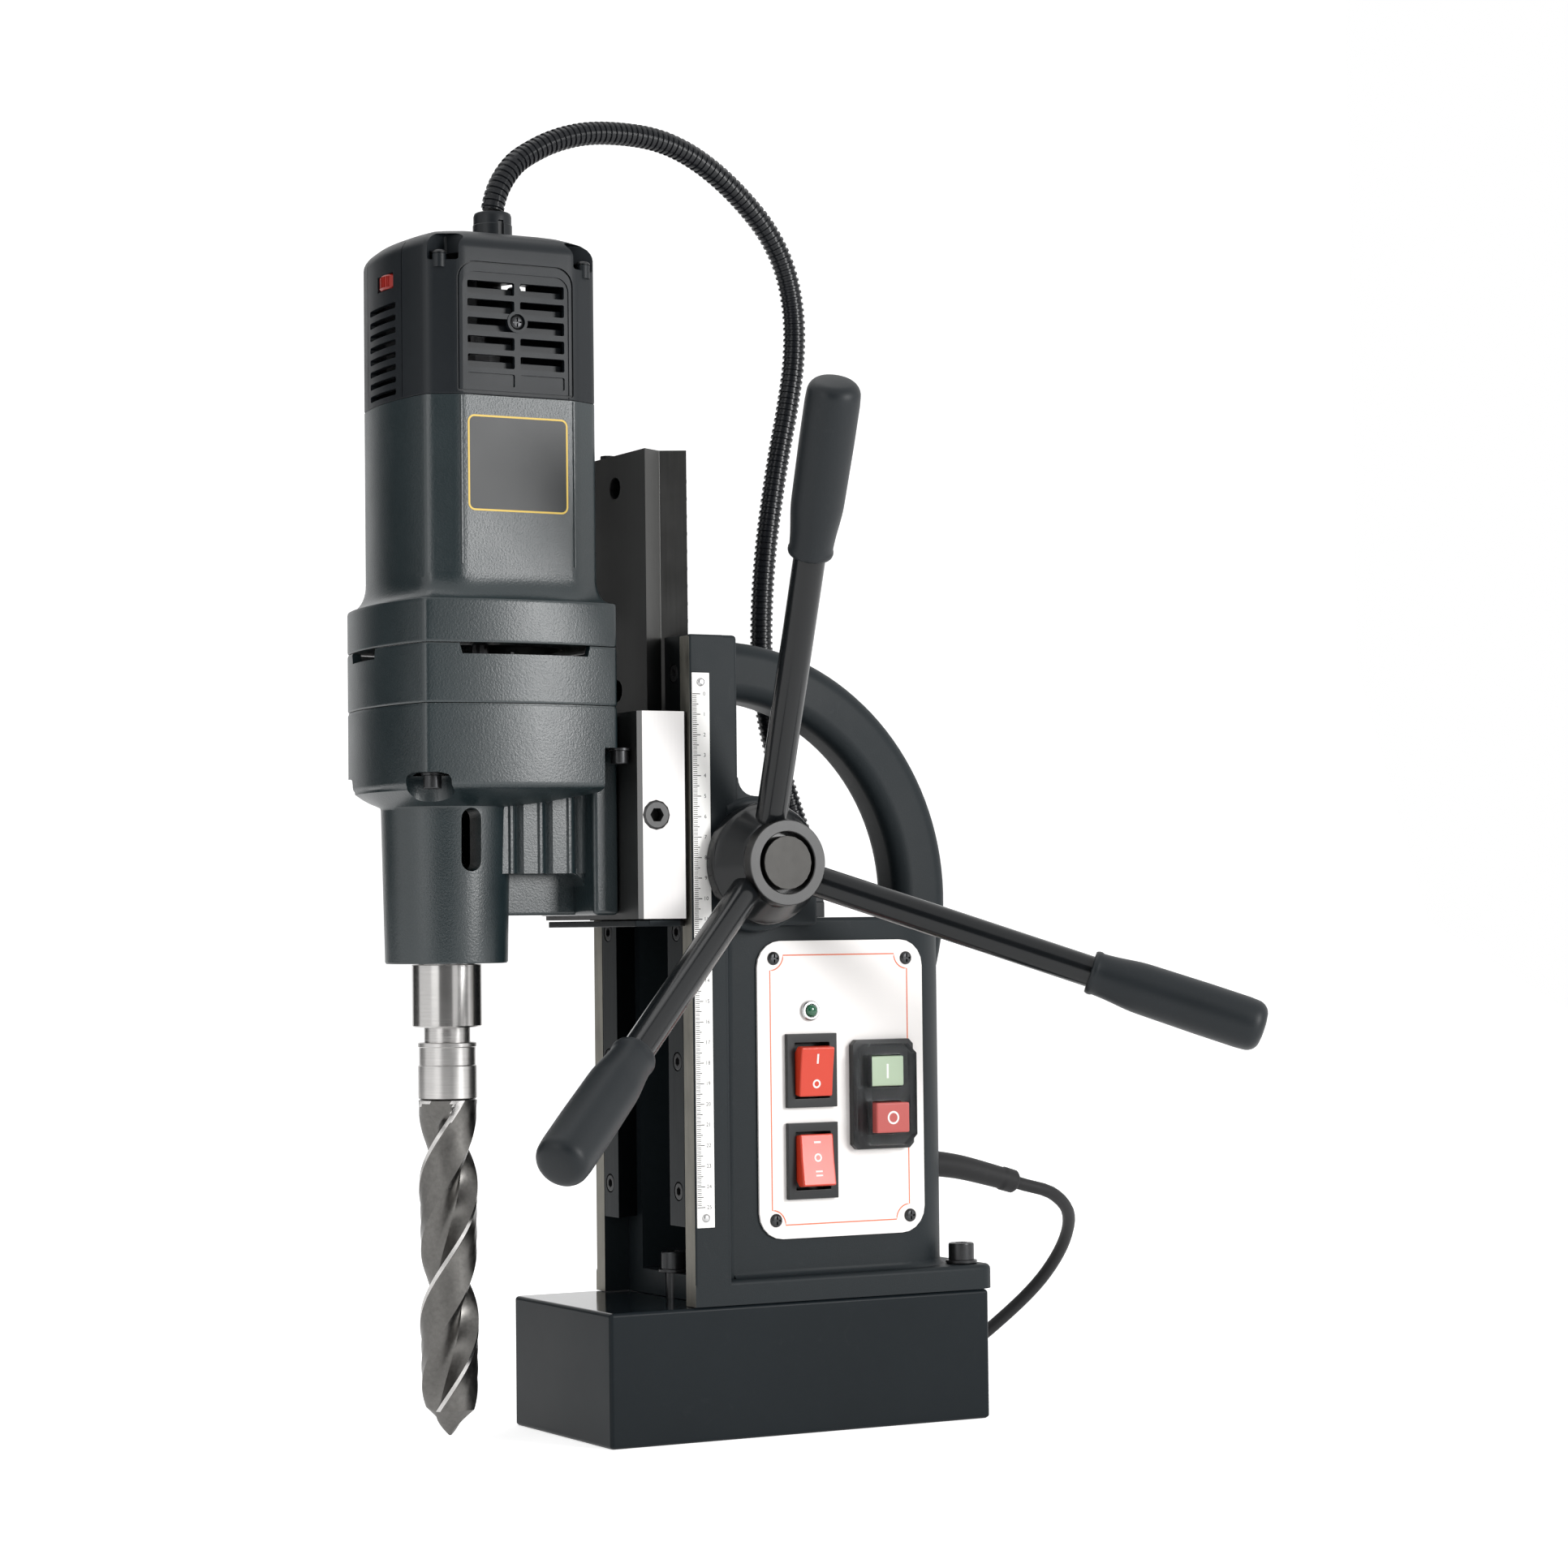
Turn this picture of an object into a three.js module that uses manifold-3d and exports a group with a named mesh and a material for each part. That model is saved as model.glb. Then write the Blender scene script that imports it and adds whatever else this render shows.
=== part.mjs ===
// A magnetic drill: an electromagnet, a cast stand with an arched handle, a rack-driven slide with its
// capstan, and a drill head with gearbox, motor, spindle and twist drill.
// Millimetres, +Z up. The origin is the centre of the magnet's bottom face. The drill is on the -Y side
// and the switch panel faces +X.
import * as THREE from "three";
import { mergeVertices } from "three/addons/utils/BufferGeometryUtils.js";
import Module from "manifold-3d";

const wasm = await Module();
wasm.setup();

// Clearances and cuts that every piece shares.
const FIT = 0.3; // gap between pieces that touch
const OVERRUN = 3; // how far a cut runs past its solid
const ROUND_STEPS = 20;
const SMALL_STEPS = 12;
const TINY_STEPS = 8;

// Magnet.
const MAGNET_WIDTH = 110;
const MAGNET_LENGTH = 213.4;
const MAGNET_HEIGHT = 65;
const MAGNET_CHAMFER = 1.2;
const CORE_WIDTH = 46;
const CORE_LENGTH = 148;
const CORE_CORNER = 16;
const GROOVE_WIDTH = 16;
const GROOVE_DEPTH = 40;
const COIL_RECESS = 2.5;
const WIRE_HOLE_RADIUS = 5;
const WIRE_HOLE_Y = 10;

// Stand casting. Its heights are above the magnet's top face.
const STAND_SETBACK = 46.2; // from the magnet's front to the stand's front face
const STAND_WIDTH = 110.4;
const FOOT_LENGTH = 172.5;
const FOOT_THICKNESS = 12.5;
const FOOT_CORNER = 10;
const COLUMN_HEIGHT = 328;
const COLUMN_DEPTH = 26.5;
const BAND_DEPTH = 19.5; // the wide band beside the panel
const GUIDE_WALL = 10.2;
const GIB_SEAT_DEPTH = 14;
const SEAT_INNER_WIDTH = 60;
const POCKET_LOW_DEPTH = 40.5;
const POCKET_HIGH_DEPTH = 25;
const SPINE_WIDTH = 72; // thicker middle of the column behind the pocket
const SPINE_DEPTH = 33.5;
const BOX_WIDTH = 98;
const BOX_LENGTH = 159.5;
const BOX_PLAN_CORNER = 40;
const BOX_HEIGHT = 189;
const BOX_TOP_CORNER = 12;
const BOX_WALL = 6;
const BOX_HOLLOW_FRONT = 46.5;
const PINION_HEIGHT = 215.5; // of the pinion's axis above the magnet
const BOSS_RADIUS = 33.5;
const BOSS_WIDTH = 114;
const ARCH_RADIUS = 115.1;
const ARCH_THICKNESS = 30;
const ARCH_WIDTH = 29;
const ARCH_ROUND = 9;
const ARCH_RISE = 1; // above the column's top
const ARCH_AXIS_RISE = 9.9; // of the arch's lower axis above the box
const ARCH_AXIS_BACK = 41.6; // from the stand's front to the arch's axis
const ARCH_SINK = 50; // how deep the arch runs into the box
const ARCH_LEAN = 9; // degrees that the arch runs on into the column
const ARCH_STEPS = 12;

// Gibs and ruler.
const GIB_BOTTOM = 38.5;
const GIB_RUNNING = 0.4; // between a gib and the bar's flank
const RULER_WIDTH = 9.5;
const RULER_THICKNESS = 0.7;
const RULER_INSET = 0.8;
const RULER_BOTTOM = 38.7;
const RULER_TOP = 309;

// Slide bar, a double dovetail, its rack and the plate and screw on its ends.
const BAR_STANDOFF = 1.3; // from the stand's front to the bar's waist
const BAR_WIDTH = 67;
const BAR_WAIST = 54.8;
const BAR_FRONT_DEPTH = 11;
const BAR_REAR_DEPTH = 12;
const BAR_BOTTOM = 188.6;
const BAR_LENGTH = 232.4;
const BAR_HOLE_RADIUS = 5.5;
const BAR_HOLE_DEPTH = 7;
const BAR_HOLE_HEIGHTS = [12.9, 114.4, 215.9]; // above the bar's bottom
const RACK_WIDTH = 20;
const RACK_DEPTH = 11.5; // from its back to the pitch line
const RACK_END_MARGIN = 1.5;
const STOP_PLATE_THICKNESS = 3;
const STOP_PLATE_CORNER = 5;
const STOP_SCREW_X = -24;
const STOP_SCREW_FORE = 3.2; // in front of the bar's waist
const STOP_SCREW_RADIUS = 4;
const STOP_SCREW_HEAD = 2.6;
const STOP_SCREW_SHANK = 2.4;
const STOP_SCREW_DEPTH = 9;

// Gears. The shares are of the module, the pitch and the tooth.
const FEED_MODULE = 2.8;
const FEED_TEETH = 10;
const FEED_WIDTH = 22;
const ADDENDUM_SHARE = 0.7;
const DEDENDUM_SHARE = 1;
const TOOTH_SHARE = 0.4;
const PRESSURE_ANGLE = 25;
const FIRST_MODULE = 1.65;
const ROTOR_TEETH = 8;
const LAY_WHEEL_TEETH = 24;
const LAST_MODULE = 2.6;
const LAY_PINION_TEETH = 10;
const SPINDLE_TEETH = 22;

// Pinion shaft, bushes and capstan. Places along X are from the stand's middle plane.
const PINION_ROOM = 1.8; // round the pinion's tips
const SHAFT_RADIUS = 11;
const SHAFT_INNER_END = -52;
const SHAFT_OUTER_END = 86.5;
const SHAFT_DISC_RADIUS = 12.9;
const SHAFT_DISC_LENGTH = 6;
const BUSH_RADIUS = 15;
const BUSH_LENGTH = 21;
const HUB_BASE_RADIUS = 30;
const HUB_BASE_LENGTH = 9;
const HUB_RING_RADIUS = 20.8;
const HUB_RING_LENGTH = 6.5;
const HUB_RUNNING = 0.6; // between the hub and the boss
const HUB_GROOVE_RADIUS = 15.1;
const HUB_GROOVE_DEPTH = 7.5;
const SPOKE_COUNT = 3;
const SPOKE_TILT = 30.3;
const SPOKE_FIRST_ANGLE = -7.85;
const SPOKE_MEET_BACK = 24; // from the ring's face to where the spokes' axes meet
const SPOKE_TIP = 256;
const SPOKE_JUNCTION = 88.5; // of the spoke and its grip, back from the tip
const SPOKE_RADIUS = 7.7;
const SPOKE_THREAD_RADIUS = 5;
const SPOKE_START = 17;
const SPOKE_SHOULDER = 24.5;
const SPOKE_END_IN_GRIP = 16; // back from the tip
const GRIP_ROOT_RADIUS = 10.5;
const GRIP_TIP_RADIUS = 12.9;
const GRIP_LIP_RADIUS = 11;
const GRIP_LIP_LENGTH = 4;
const GRIP_FLARE = 26; // length over which the grip widens
const GRIP_ROUND = 5;
const GRIP_FLARE_SHARE = 0.97; // of the tip's radius where the flare ends
const GRIP_ROUND_SHARES = [0.4, 0.2]; // of the rounding, inwards and down

// Clamp block and its locking screw. Heights of the head are above the block's bottom.
const BLOCK_REST_GAP = 0.4;
const BLOCK_WIDTH = 109;
const BLOCK_DEPTH = 26.9;
const BLOCK_HEIGHT = 101;
const BLOCK_CHAMFER = 2;
const BLOCK_REAR_GAP = 0.4; // between the block's rear and the bar's waist line
const BLOCK_RUNNING = 0.4;
const LOCK_FORE = 17.6; // in front of the block's rear face
const LOCK_HEIGHT = 50.4;
const LOCK_HEAD_RADIUS = 7;
const LOCK_HEAD_LENGTH = 9;
const LOCK_PROUD = 0.8;
const LOCK_SOCKET_RADIUS = 3.4;
const LOCK_SOCKET_DEPTH = 5;
const LOCK_SHANK_RADIUS = 4.5;
const LOCK_SHANK_END = -24;

// Gear housing with its flange, bracket and neck.
const MOTOR_REACH = 58.7; // from the block's front to the motor's axis
const SPINDLE_OFFSET = 19.4; // from the motor's axis to the spindle's
const CASE_HALF_X = 48.5;
const CASE_HALF_Y = 50.5;
const CASE_BULGE = 7;
const CASE_SIDE_STEPS = 6;
const CASE_WALL = 4;
const CASE_TOP = 103;
const CASE_BAND_BOTTOM = 65;
const CASE_FLOOR = 69;
const CASE_REAR_STEP_HEIGHT = 83;
const CASE_REAR_STEP_DEPTH = 8.5;
const NECK_TOP = 55;
const NECK_BOTTOM = -20.5;
const NECK_TOP_RADIUS = 31.35;
const NECK_BOTTOM_RADIUS = 29.8;
const NECK_BORE_RADIUS = 18;
const SLOT_WIDTH = 10.4;
const SLOT_BOTTOM = 23.7;
const SLOT_TOP = 54.2;
const FLANGE_WIDTH = 66;
const FLANGE_DEPTH = 13.7;
const FLANGE_BOTTOM = 2;
const BRACKET_WIDTH = 48;
const BRACKET_BOTTOM = 22.5;
const BRACKET_TOP = 66;
const WEB_WIDTH = 20;
const WEB_BOTTOM = 2.3;

// Gear case cover, with the fan's room above its partition.
const COVER_HEIGHT = 26;
const COVER_SPIGOT = 2.7;
const COVER_SPIGOT_INSET = 1.2;
const COVER_PARTITION_BOTTOM = 6; // above the case's top
const COVER_PARTITION_THICKNESS = 5;
const VENT_HEIGHT = 5.2;
const VENT_SIDE_LENGTH = 66;
const VENT_FRONT_LENGTH = 34;
const VENT_FRONT_X = -14;

// Motor housing and cap.
const SHOULDER_HEIGHT = 20.8;
const SHOULDER_SHARES = [[0, 1], [0.16, 0.93], [0.52, 0.87], [1, 0.83]];
const SHOULDER_FALL = 14;
const BARREL_HALF_X = 46;
const BARREL_HALF_Y = 44.7;
const BARREL_BEVEL_X = 7.25;
const BARREL_BEVEL_Y = 14.06;
const BARREL_FRONT_BULGE = 5;
const BARREL_HEIGHT = 119; // from the motor housing's bottom
const MOTOR_BORE_RADIUS = 40;
const SPIDER_THICKNESS = 5;
const SPIDER_DROP = 3;
const SPIDER_VENT_RADIUS = 6;
const SPIDER_VENT_ORBIT = 26;
const SPIDER_VENTS = 4;
const CAP_EDGE_HEIGHT = 72;
const CAP_HEIGHT = 82.7;
const CAP_WALL = 3;
const CAP_ROOF_SHARES = [[0, 1], [0.5, 0.9], [0.85, 0.66], [1, 0.36]];
const GRILLE_LENGTH = 57;
const GRILLE_AXIS_OFFSET = -1.5;
const GRILLE_BOTTOM = 1.6;
const GRILLE_HEIGHT = 57;
const GRILLE_RECESS = 1.5;
const GRILLE_ROWS = 8;
const GRILLE_RIB_SHARE = 0.45;
const GRILLE_MIDDLE = 6;
const GRILLE_MARGIN = 3;
const FRONT_SLOT_ROWS = 8;
const FRONT_SLOT_WIDTH = 34;
const FRONT_SLOT_X = -4.3;
const FRONT_SLOT_BOTTOM = 2;
const FRONT_SLOT_PITCH = 5.6;
const FRONT_SLOT_HEIGHT = 2.8;
const DIAL_RADIUS = 12.5;
const DIAL_THICKNESS = 7;
const DIAL_X = 1;
const DIAL_HEIGHT = 58.5;
const DIAL_PROUD = 1.6;
const DIAL_POCKET_WIDTH = 19;
const DIAL_BLOCK_WALL = 3;
const DIAL_PIN_RADIUS = 2;

// Spindle, drill, bearings and the gear train. Heights are above the clamp block's bottom.
const SPINDLE_NOSE_RADIUS = 17;
const SPINDLE_NOSE_BOTTOM = -51.3;
const SPINDLE_BODY_RADIUS = 14;
const SPINDLE_JOURNAL_RADIUS = 8;
const LOWER_BEARING_RADIUS = 22;
const LOWER_BEARING_LENGTH = 14;
const UPPER_BEARING_RADIUS = 12.6;
const UPPER_BEARING_LENGTH = 7;
const LAST_GEAR_BOTTOM = 72;
const LAST_GEAR_WIDTH = 15;
const FIRST_GEAR_BOTTOM = 91;
const FIRST_GEAR_WIDTH = 8;
const LAYSHAFT_RADIUS = 5;
const DRILL_SHANK_TOP = -12;
const DRILL_SHANK_TOP_RADIUS = 9;
const DRILL_SHANK_RADIUS = 11.2;
const DRILL_COLLAR_TOP = -58.7;
const DRILL_COLLAR_RADIUS = 14.2;
const DRILL_GROOVE_TOP = -61;
const DRILL_GROOVE_BOTTOM = -69.7;
const DRILL_GROOVE_RADIUS = 13.7;
const DRILL_FLUTE_TOP = -86.6;
const DRILL_FLUTE_FADE = 16;
const DRILL_CONE_TOP = -235.4;
const DRILL_TIP = -248.3;
const DRILL_TIP_RADIUS = 0.6;
const DRILL_LEAD = 118;
const DRILL_STEP = 13;
const DRILL_SECTION_SHARES = [1, 0.99, 0.97, 0.9, 0.62, 0.44, 0.5, 0.8];
const ROTOR_SHAFT_RADIUS = 4;
const ROTOR_CORE_RADIUS = 22;
const ROTOR_CORE_BOTTOM = 176;
const ROTOR_CORE_LENGTH = 58;
const COMMUTATOR_RADIUS = 13;
const COMMUTATOR_LENGTH = 22;
const COMMUTATOR_GAP = 6; // above the spider
const ROTOR_TOP_LENGTH = 14; // of shaft above the commutator
const STATOR_INNER_RADIUS = 24;
const FAN_RADIUS = 38;
const FAN_HUB_RADIUS = 10;
const FAN_DISC_THICKNESS = 2;
const FAN_HEIGHT = 13;
const FAN_FLOOR_GAP = 2;
const FAN_BLADES = 9;
const FAN_BLADE_THICKNESS = 1.6;

// Panel plate, switches and lamp. Heights are above the magnet, places along Y from the stand's front.
// The gap shares are of the free height in the panel's opening: below the switches, between them, under the lamp.
const PLATE_THICKNESS = 1.2;
const PLATE_FRONT_Y = 38.2;
const PLATE_REAR_Y = 132.6;
const PLATE_BOTTOM = 30.6;
const BOX_ABOVE_PLATE = 11.5;
const BOSS_ABOVE_PLATE = 4.5;
const PLATE_CORNER = 13;
const PANEL_OPENING_MARGIN = 11;
const LAMP_Y = 67.5;
const LAMP_RADIUS = 5;
const LAMP_LENS_RADIUS = 3.2;
const LAMP_BODY_RADIUS = 3.6;
const LAMP_BEZEL = 1.8;
const LAMP_DOME = 2;
const LAMP_DOME_SHARES = [0.7, 0.8]; // of the lens and the dome at its shoulder
const LAMP_DEPTH = 14;
const PANEL_GAP_SHARES = [0.2034314, 0.1838235, 0.1544118];
const MAGNET_SWITCH_Y = 67.15;
const MAGNET_SWITCH_LENGTH = 36.5;
const DIRECTION_SWITCH_Y = 67.25;
const DIRECTION_SWITCH_LENGTH = 37.6;
const ROCKER_BEZEL_WIDTH = 28.2;
const ROCKER_BEZEL_THICKNESS = 2.6;
const ROCKER_BEZEL_OVERLAP = 2.4;
const ROCKER_BODY_DEPTH = 20;
const ROCKER_WIDTH = 18.6;
const ROCKER_END_MARGIN = 6; // from the bezel's end to the rocker's
const ROCKER_WELL_DEPTH = 9;
const ROCKER_SIDE_GAP = 0.5;
const ROCKER_SWING = 7; // degrees to each side of the middle
const ROCKER_CREST = 4.6;
const ROCKER_END_RISE = 5.2;
const ROCKER_BELLY = 4.5;
const ROCKER_BELLY_SHARE = 0.55;
const DRILL_SWITCH_Y = 107;
const DRILL_SWITCH_SHARE = 0.4495021; // of the free height in the opening, below the switch
const DRILL_SWITCH_WIDTH = 35;
const DRILL_SWITCH_HEIGHT = 54.6;
const DRILL_SWITCH_BEZEL = 4;
const DRILL_SWITCH_OVERLAP = 4;
const DRILL_SWITCH_BODY_DEPTH = 22;
const BUTTON_WIDTH = 19;
const BUTTON_HEIGHT = 15;
const BUTTON_SPREAD = 23; // between the two buttons' middles
const BUTTON_ROOT = 14; // depth of a button below the bezel's face
const BUTTON_TRAVEL = 3;
const BUTTON_SIDE_GAP = 0.4;
const START_PROUD = 4.2;
const STOP_PROUD = 9.4;
const GUARD_THICKNESS = 6.4;
const GUARD_MARGIN = 2;
const GUARD_CORNER = 5;
const GUARD_WINDOW_GAP = 0.8;
const BOARD_LENGTH = 64;
const BOARD_HEIGHT = 70;
const BOARD_THICKNESS = 1.6;
const BOARD_Y = 23;
const BOARD_BOTTOM = 60;
const BOARD_POST_RADIUS = 3;
const BOARD_POST_LENGTH = 5;
const BOARD_POST_INSET = 7;

// Foot bolts and washers.
const BOLT_SHANK_RADIUS = 4;
const BOLT_DEPTH_IN_MAGNET = 14;
const BOLT_HEAD_RADIUS = 6.5;
const BOLT_HEAD_HEIGHT = 8.7;
const BOLT_SOCKET_RADIUS = 3.4;
const BOLT_SOCKET_DEPTH = 4.5;
const WASHER_RADIUS = 8;
const WASHER_THICKNESS = 1.6;
const FRONT_BOLT_BACK = 16.5; // from the stand's front
const FOOT_SLOT_GAP = 0.6;
const REAR_BOLT_X = 42;
const REAR_BOLT_IN = 13.5; // from the foot's rear end

// Conduit hose. Its route is given by hand; the ends follow the glands.
const HOSE_RADIUS = 6;
const HOSE_ROOT_RADIUS = 5.1;
const HOSE_BORE_RADIUS = 3.9;
const HOSE_RIBS = 96;
const HOSE_SIDES = 8;
const HOSE_RIBS_PER_BORE_RING = 5;
const HOSE_LEAN_GAP = 1.05; // clears the head gland, where the hose comes out leaning
const HEAD_GLAND_BACK = 8.2; // behind the motor's axis
const HEAD_GLAND_HEIGHT = 14.3;
const HEAD_GLAND_RADIUS = 9.7;
const HEAD_GLAND_NUT_SHARE = 0.55;
const STAND_GLAND_X = -28;
const STAND_GLAND_Y = 50;
const STAND_GLAND_HEIGHT = 14;
const STAND_GLAND_RADIUS = 10.4;
const GLAND_SPIGOT_RADIUS = 6;
const GLAND_SPIGOT_LENGTH = 12;
const HOSE_ROUTE = [
  [-0.07, -138.5, 605.5], [-0.45, -136.8, 611.5], [-1.1, -133.8, 618], [-1.95, -129.9, 623.8],
  [-2.95, -125.2, 629.1], [-3.9, -120.3, 633], [-5.7, -105.2, 641.7], [-7.6, -88.8, 647.7], [-9.5, -71.7, 650.7],
  [-12.4, -44.4, 650.9], [-14.6, -25.7, 646.8], [-17.1, -6.7, 638.1], [-19.9, 13.1, 624.3],
  [-22.5, 28.7, 609.2], [-25.1, 39.6, 591.5], [-27.2, 45.4, 569.4], [-28, 45.6, 545.1],
  [-28, 41.6, 520.1], [-28, 36.3, 495.6], [-28, 31.8, 471.2], [-28, 28.0, 446.4], [-28, 25.4, 418.8],
  [-28, 24.7, 394.3], [-28, 25.8, 372.4], [-28, 29.2, 351.4], [-28, 34.5, 332], [-28, 41, 312],
  [-28, 46.8, 296],
];

// Mains cord, its strain relief, coil and plug.
const RELIEF_HEIGHT = 61; // above the magnet
const RELIEF_COLLAR_RADIUS = 9;
const RELIEF_COLLAR_LENGTH = 3;
const RELIEF_RADIUS = 6.8;
const RELIEF_TIP_RADIUS = 5.6;
const RELIEF_SPIGOT_RADIUS = 6;
const RELIEF_SPIGOT_LENGTH = 9;
const RELIEF_REACH = 58.2;
const RELIEF_DROP = 12;
const RELIEF_SHARES = [[0, 0], [0.12, 0.02], [0.4, 0.22], [0.75, 0.65], [1, 1]];
const CORD_RADIUS = 3.5;
const CORD_SIDES = 8;
const CORD_STEPS = 30;
const CORD_ROUTE = [
  [0, 180, 107.5], [-7, 195, 97], [-24, 204, 80], [-44, 202, 58], [-62, 188, 36], [-74, 166, 17],
  [-80, 136, 6.2], [-80, 106, 3.8], [-78.5, 78, 3.7],
];
const COIL_X = -130.5;
const COIL_Y = 45;
const COIL_TAIL = 44; // straight cord between the last turn and the plug
const COIL_LOOPS_PER_LAYER = 3;
const COIL_INNER_RADIUS = 28.5;
const COIL_GAP = 0.8; // between turns side by side
const COIL_LAYER_GAP = 0.7;
const COIL_SIDES = 6;
const COIL_STEPS_PER_LOOP = 24;
const COIL_FLOOR_GAP = 0.2;
const PLUG_LENGTH = 44;
const PLUG_WIDTH = 33;
const PLUG_THICKNESS = 21;
const PLUG_CORNER = 5;
const PLUG_BLADE_LENGTH = 17;
const PLUG_BLADE_WIDTH = 6.4;
const PLUG_BLADE_THICKNESS = 1.6;
const PLUG_BLADE_SPREAD = 13;

// Places that follow from the sizes above.
const magnetTop = MAGNET_HEIGHT;
const standFront = -MAGNET_LENGTH / 2 + STAND_SETBACK;
const standHalf = STAND_WIDTH / 2;
const boxHalf = BOX_WIDTH / 2;
const columnRear = standFront + COLUMN_DEPTH;
const gibSeatY = standFront + GIB_SEAT_DEPTH;
const footRear = standFront + FOOT_LENGTH;
const boxRear = standFront + BOX_LENGTH;
const archY = standFront + ARCH_AXIS_BACK;
const archZ = COLUMN_HEIGHT + ARCH_RISE - ARCH_THICKNESS / 2 - ARCH_RADIUS;
const barWaistY = standFront - BAR_STANDOFF;
const barFrontY = barWaistY - BAR_FRONT_DEPTH;
const barRearY = barWaistY + BAR_REAR_DEPTH;
const barFrontSlope = (BAR_WIDTH - BAR_WAIST) / 2 / BAR_FRONT_DEPTH;
const barRearSlope = (BAR_WIDTH - BAR_WAIST) / 2 / BAR_REAR_DEPTH;
const barTop = BAR_BOTTOM + BAR_LENGTH;
const rackPitchY = barRearY + FIT + RACK_DEPTH;
const feedRadius = FEED_MODULE * FEED_TEETH / 2;
const pinionY = rackPitchY + feedRadius;
const boltSeat = FOOT_THICKNESS + FIT;
const ringFaceX = SHAFT_OUTER_END;
const spokeMeetX = ringFaceX - SPOKE_MEET_BACK;
const spokeJunction = SPOKE_TIP - SPOKE_JUNCTION;
const spokeEndInGrip = SPOKE_TIP - SPOKE_END_IN_GRIP;
const blockRearY = barWaistY + BLOCK_REAR_GAP;
const blockFrontY = blockRearY - BLOCK_DEPTH;
const motorY = blockFrontY - MOTOR_REACH;
const spindleY = motorY - SPINDLE_OFFSET;
const headBottom = BAR_BOTTOM + BLOCK_REST_GAP; // above the magnet
const coverBottom = CASE_TOP + COVER_SPIGOT + FIT;
const partitionBottom = CASE_TOP + COVER_PARTITION_BOTTOM;
const partitionTop = partitionBottom + COVER_PARTITION_THICKNESS;
const coverTop = coverBottom + COVER_HEIGHT - FIT;
const motorBottom = coverTop + FIT;
const motorTop = motorBottom + BARREL_HEIGHT;
const spiderTop = motorTop - SPIDER_DROP;
const capBottom = motorTop + FIT;
const capTop = capBottom + CAP_HEIGHT;
const firstDistance = FIRST_MODULE * (ROTOR_TEETH + LAY_WHEEL_TEETH) / 2;
const lastDistance = LAST_MODULE * (LAY_PINION_TEETH + SPINDLE_TEETH) / 2;
const layForward = (lastDistance ** 2 - firstDistance ** 2 - SPINDLE_OFFSET ** 2) / (2 * SPINDLE_OFFSET);
const layY = motorY + layForward;
const layX = -Math.sqrt(firstDistance ** 2 - layForward ** 2);
// A column higher above the box gives the arch a straight leg.
const archLeg = Math.max(0, archZ - BOX_HEIGHT - ARCH_AXIS_RISE);
const plateTop = Math.min(BOX_HEIGHT - BOX_ABOVE_PLATE, PINION_HEIGHT - BOSS_RADIUS - BOSS_ABOVE_PLATE);
const plateFrontY = standFront + PLATE_FRONT_Y;
const plateRearY = standFront + PLATE_REAR_Y;
const openingBottom = PLATE_BOTTOM + PANEL_OPENING_MARGIN;
const openingTop = plateTop - PANEL_OPENING_MARGIN;
const openingHeight = openingTop - openingBottom;
const panelRoom = openingHeight - DIRECTION_SWITCH_LENGTH - MAGNET_SWITCH_LENGTH - 2 * LAMP_RADIUS;
const directionSwitchTop = openingBottom + PANEL_GAP_SHARES[0] * panelRoom + DIRECTION_SWITCH_LENGTH;
const magnetSwitchTop = directionSwitchTop + PANEL_GAP_SHARES[1] * panelRoom + MAGNET_SWITCH_LENGTH;
const lampY = standFront + LAMP_Y;
const lampHeight = magnetSwitchTop + PANEL_GAP_SHARES[2] * panelRoom + LAMP_RADIUS;
const drillSwitchY = standFront + DRILL_SWITCH_Y;
const drillSwitchBottom = openingBottom + DRILL_SWITCH_SHARE * (openingHeight - DRILL_SWITCH_HEIGHT);
const drillSwitchZ = drillSwitchBottom + DRILL_SWITCH_HEIGHT / 2;
const rockerSwitches = [
  { switchName: "magnet_switch_body", rockerName: "magnet_rocker", y: standFront + MAGNET_SWITCH_Y,
    z: magnetSwitchTop - MAGNET_SWITCH_LENGTH / 2, length: MAGNET_SWITCH_LENGTH, rest: 1 },
  { switchName: "direction_switch_body", rockerName: "direction_rocker", y: standFront + DIRECTION_SWITCH_Y,
    z: directionSwitchTop - DIRECTION_SWITCH_LENGTH / 2, length: DIRECTION_SWITCH_LENGTH, rest: -1 },
];
const plateInner = boxHalf + FIT;
const plateOuter = plateInner + PLATE_THICKNESS;

// Turning geometry into solids and back

function closedSolid(geometry) {
  let bare = geometry.index ? geometry.clone() : geometry;
  bare.deleteAttribute("normal");
  bare.deleteAttribute("uv");
  bare = mergeVertices(bare);
  const place = bare.attributes.position;
  const corner = [new THREE.Vector3(), new THREE.Vector3(), new THREE.Vector3()];
  const faces = [];
  let volume = 0;
  for (let i = 0; i < bare.index.count; i += 3) {
    const ids = [bare.index.getX(i), bare.index.getX(i + 1), bare.index.getX(i + 2)];
    if (new Set(ids).size === 3) {
      ids.forEach((id, k) => corner[k].fromBufferAttribute(place, id));
      volume += corner[0].dot(corner[1].clone().cross(corner[2]));
      faces.push(ids);
    }
  }
  if (volume < 0) faces.forEach((ids) => ids.reverse());
  const mesh = new wasm.Mesh({
    numProp: 3,
    vertProperties: new Float32Array(place.array),
    triVerts: new Uint32Array(faces.flat()),
  });
  return new wasm.Manifold(mesh);
}

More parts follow.
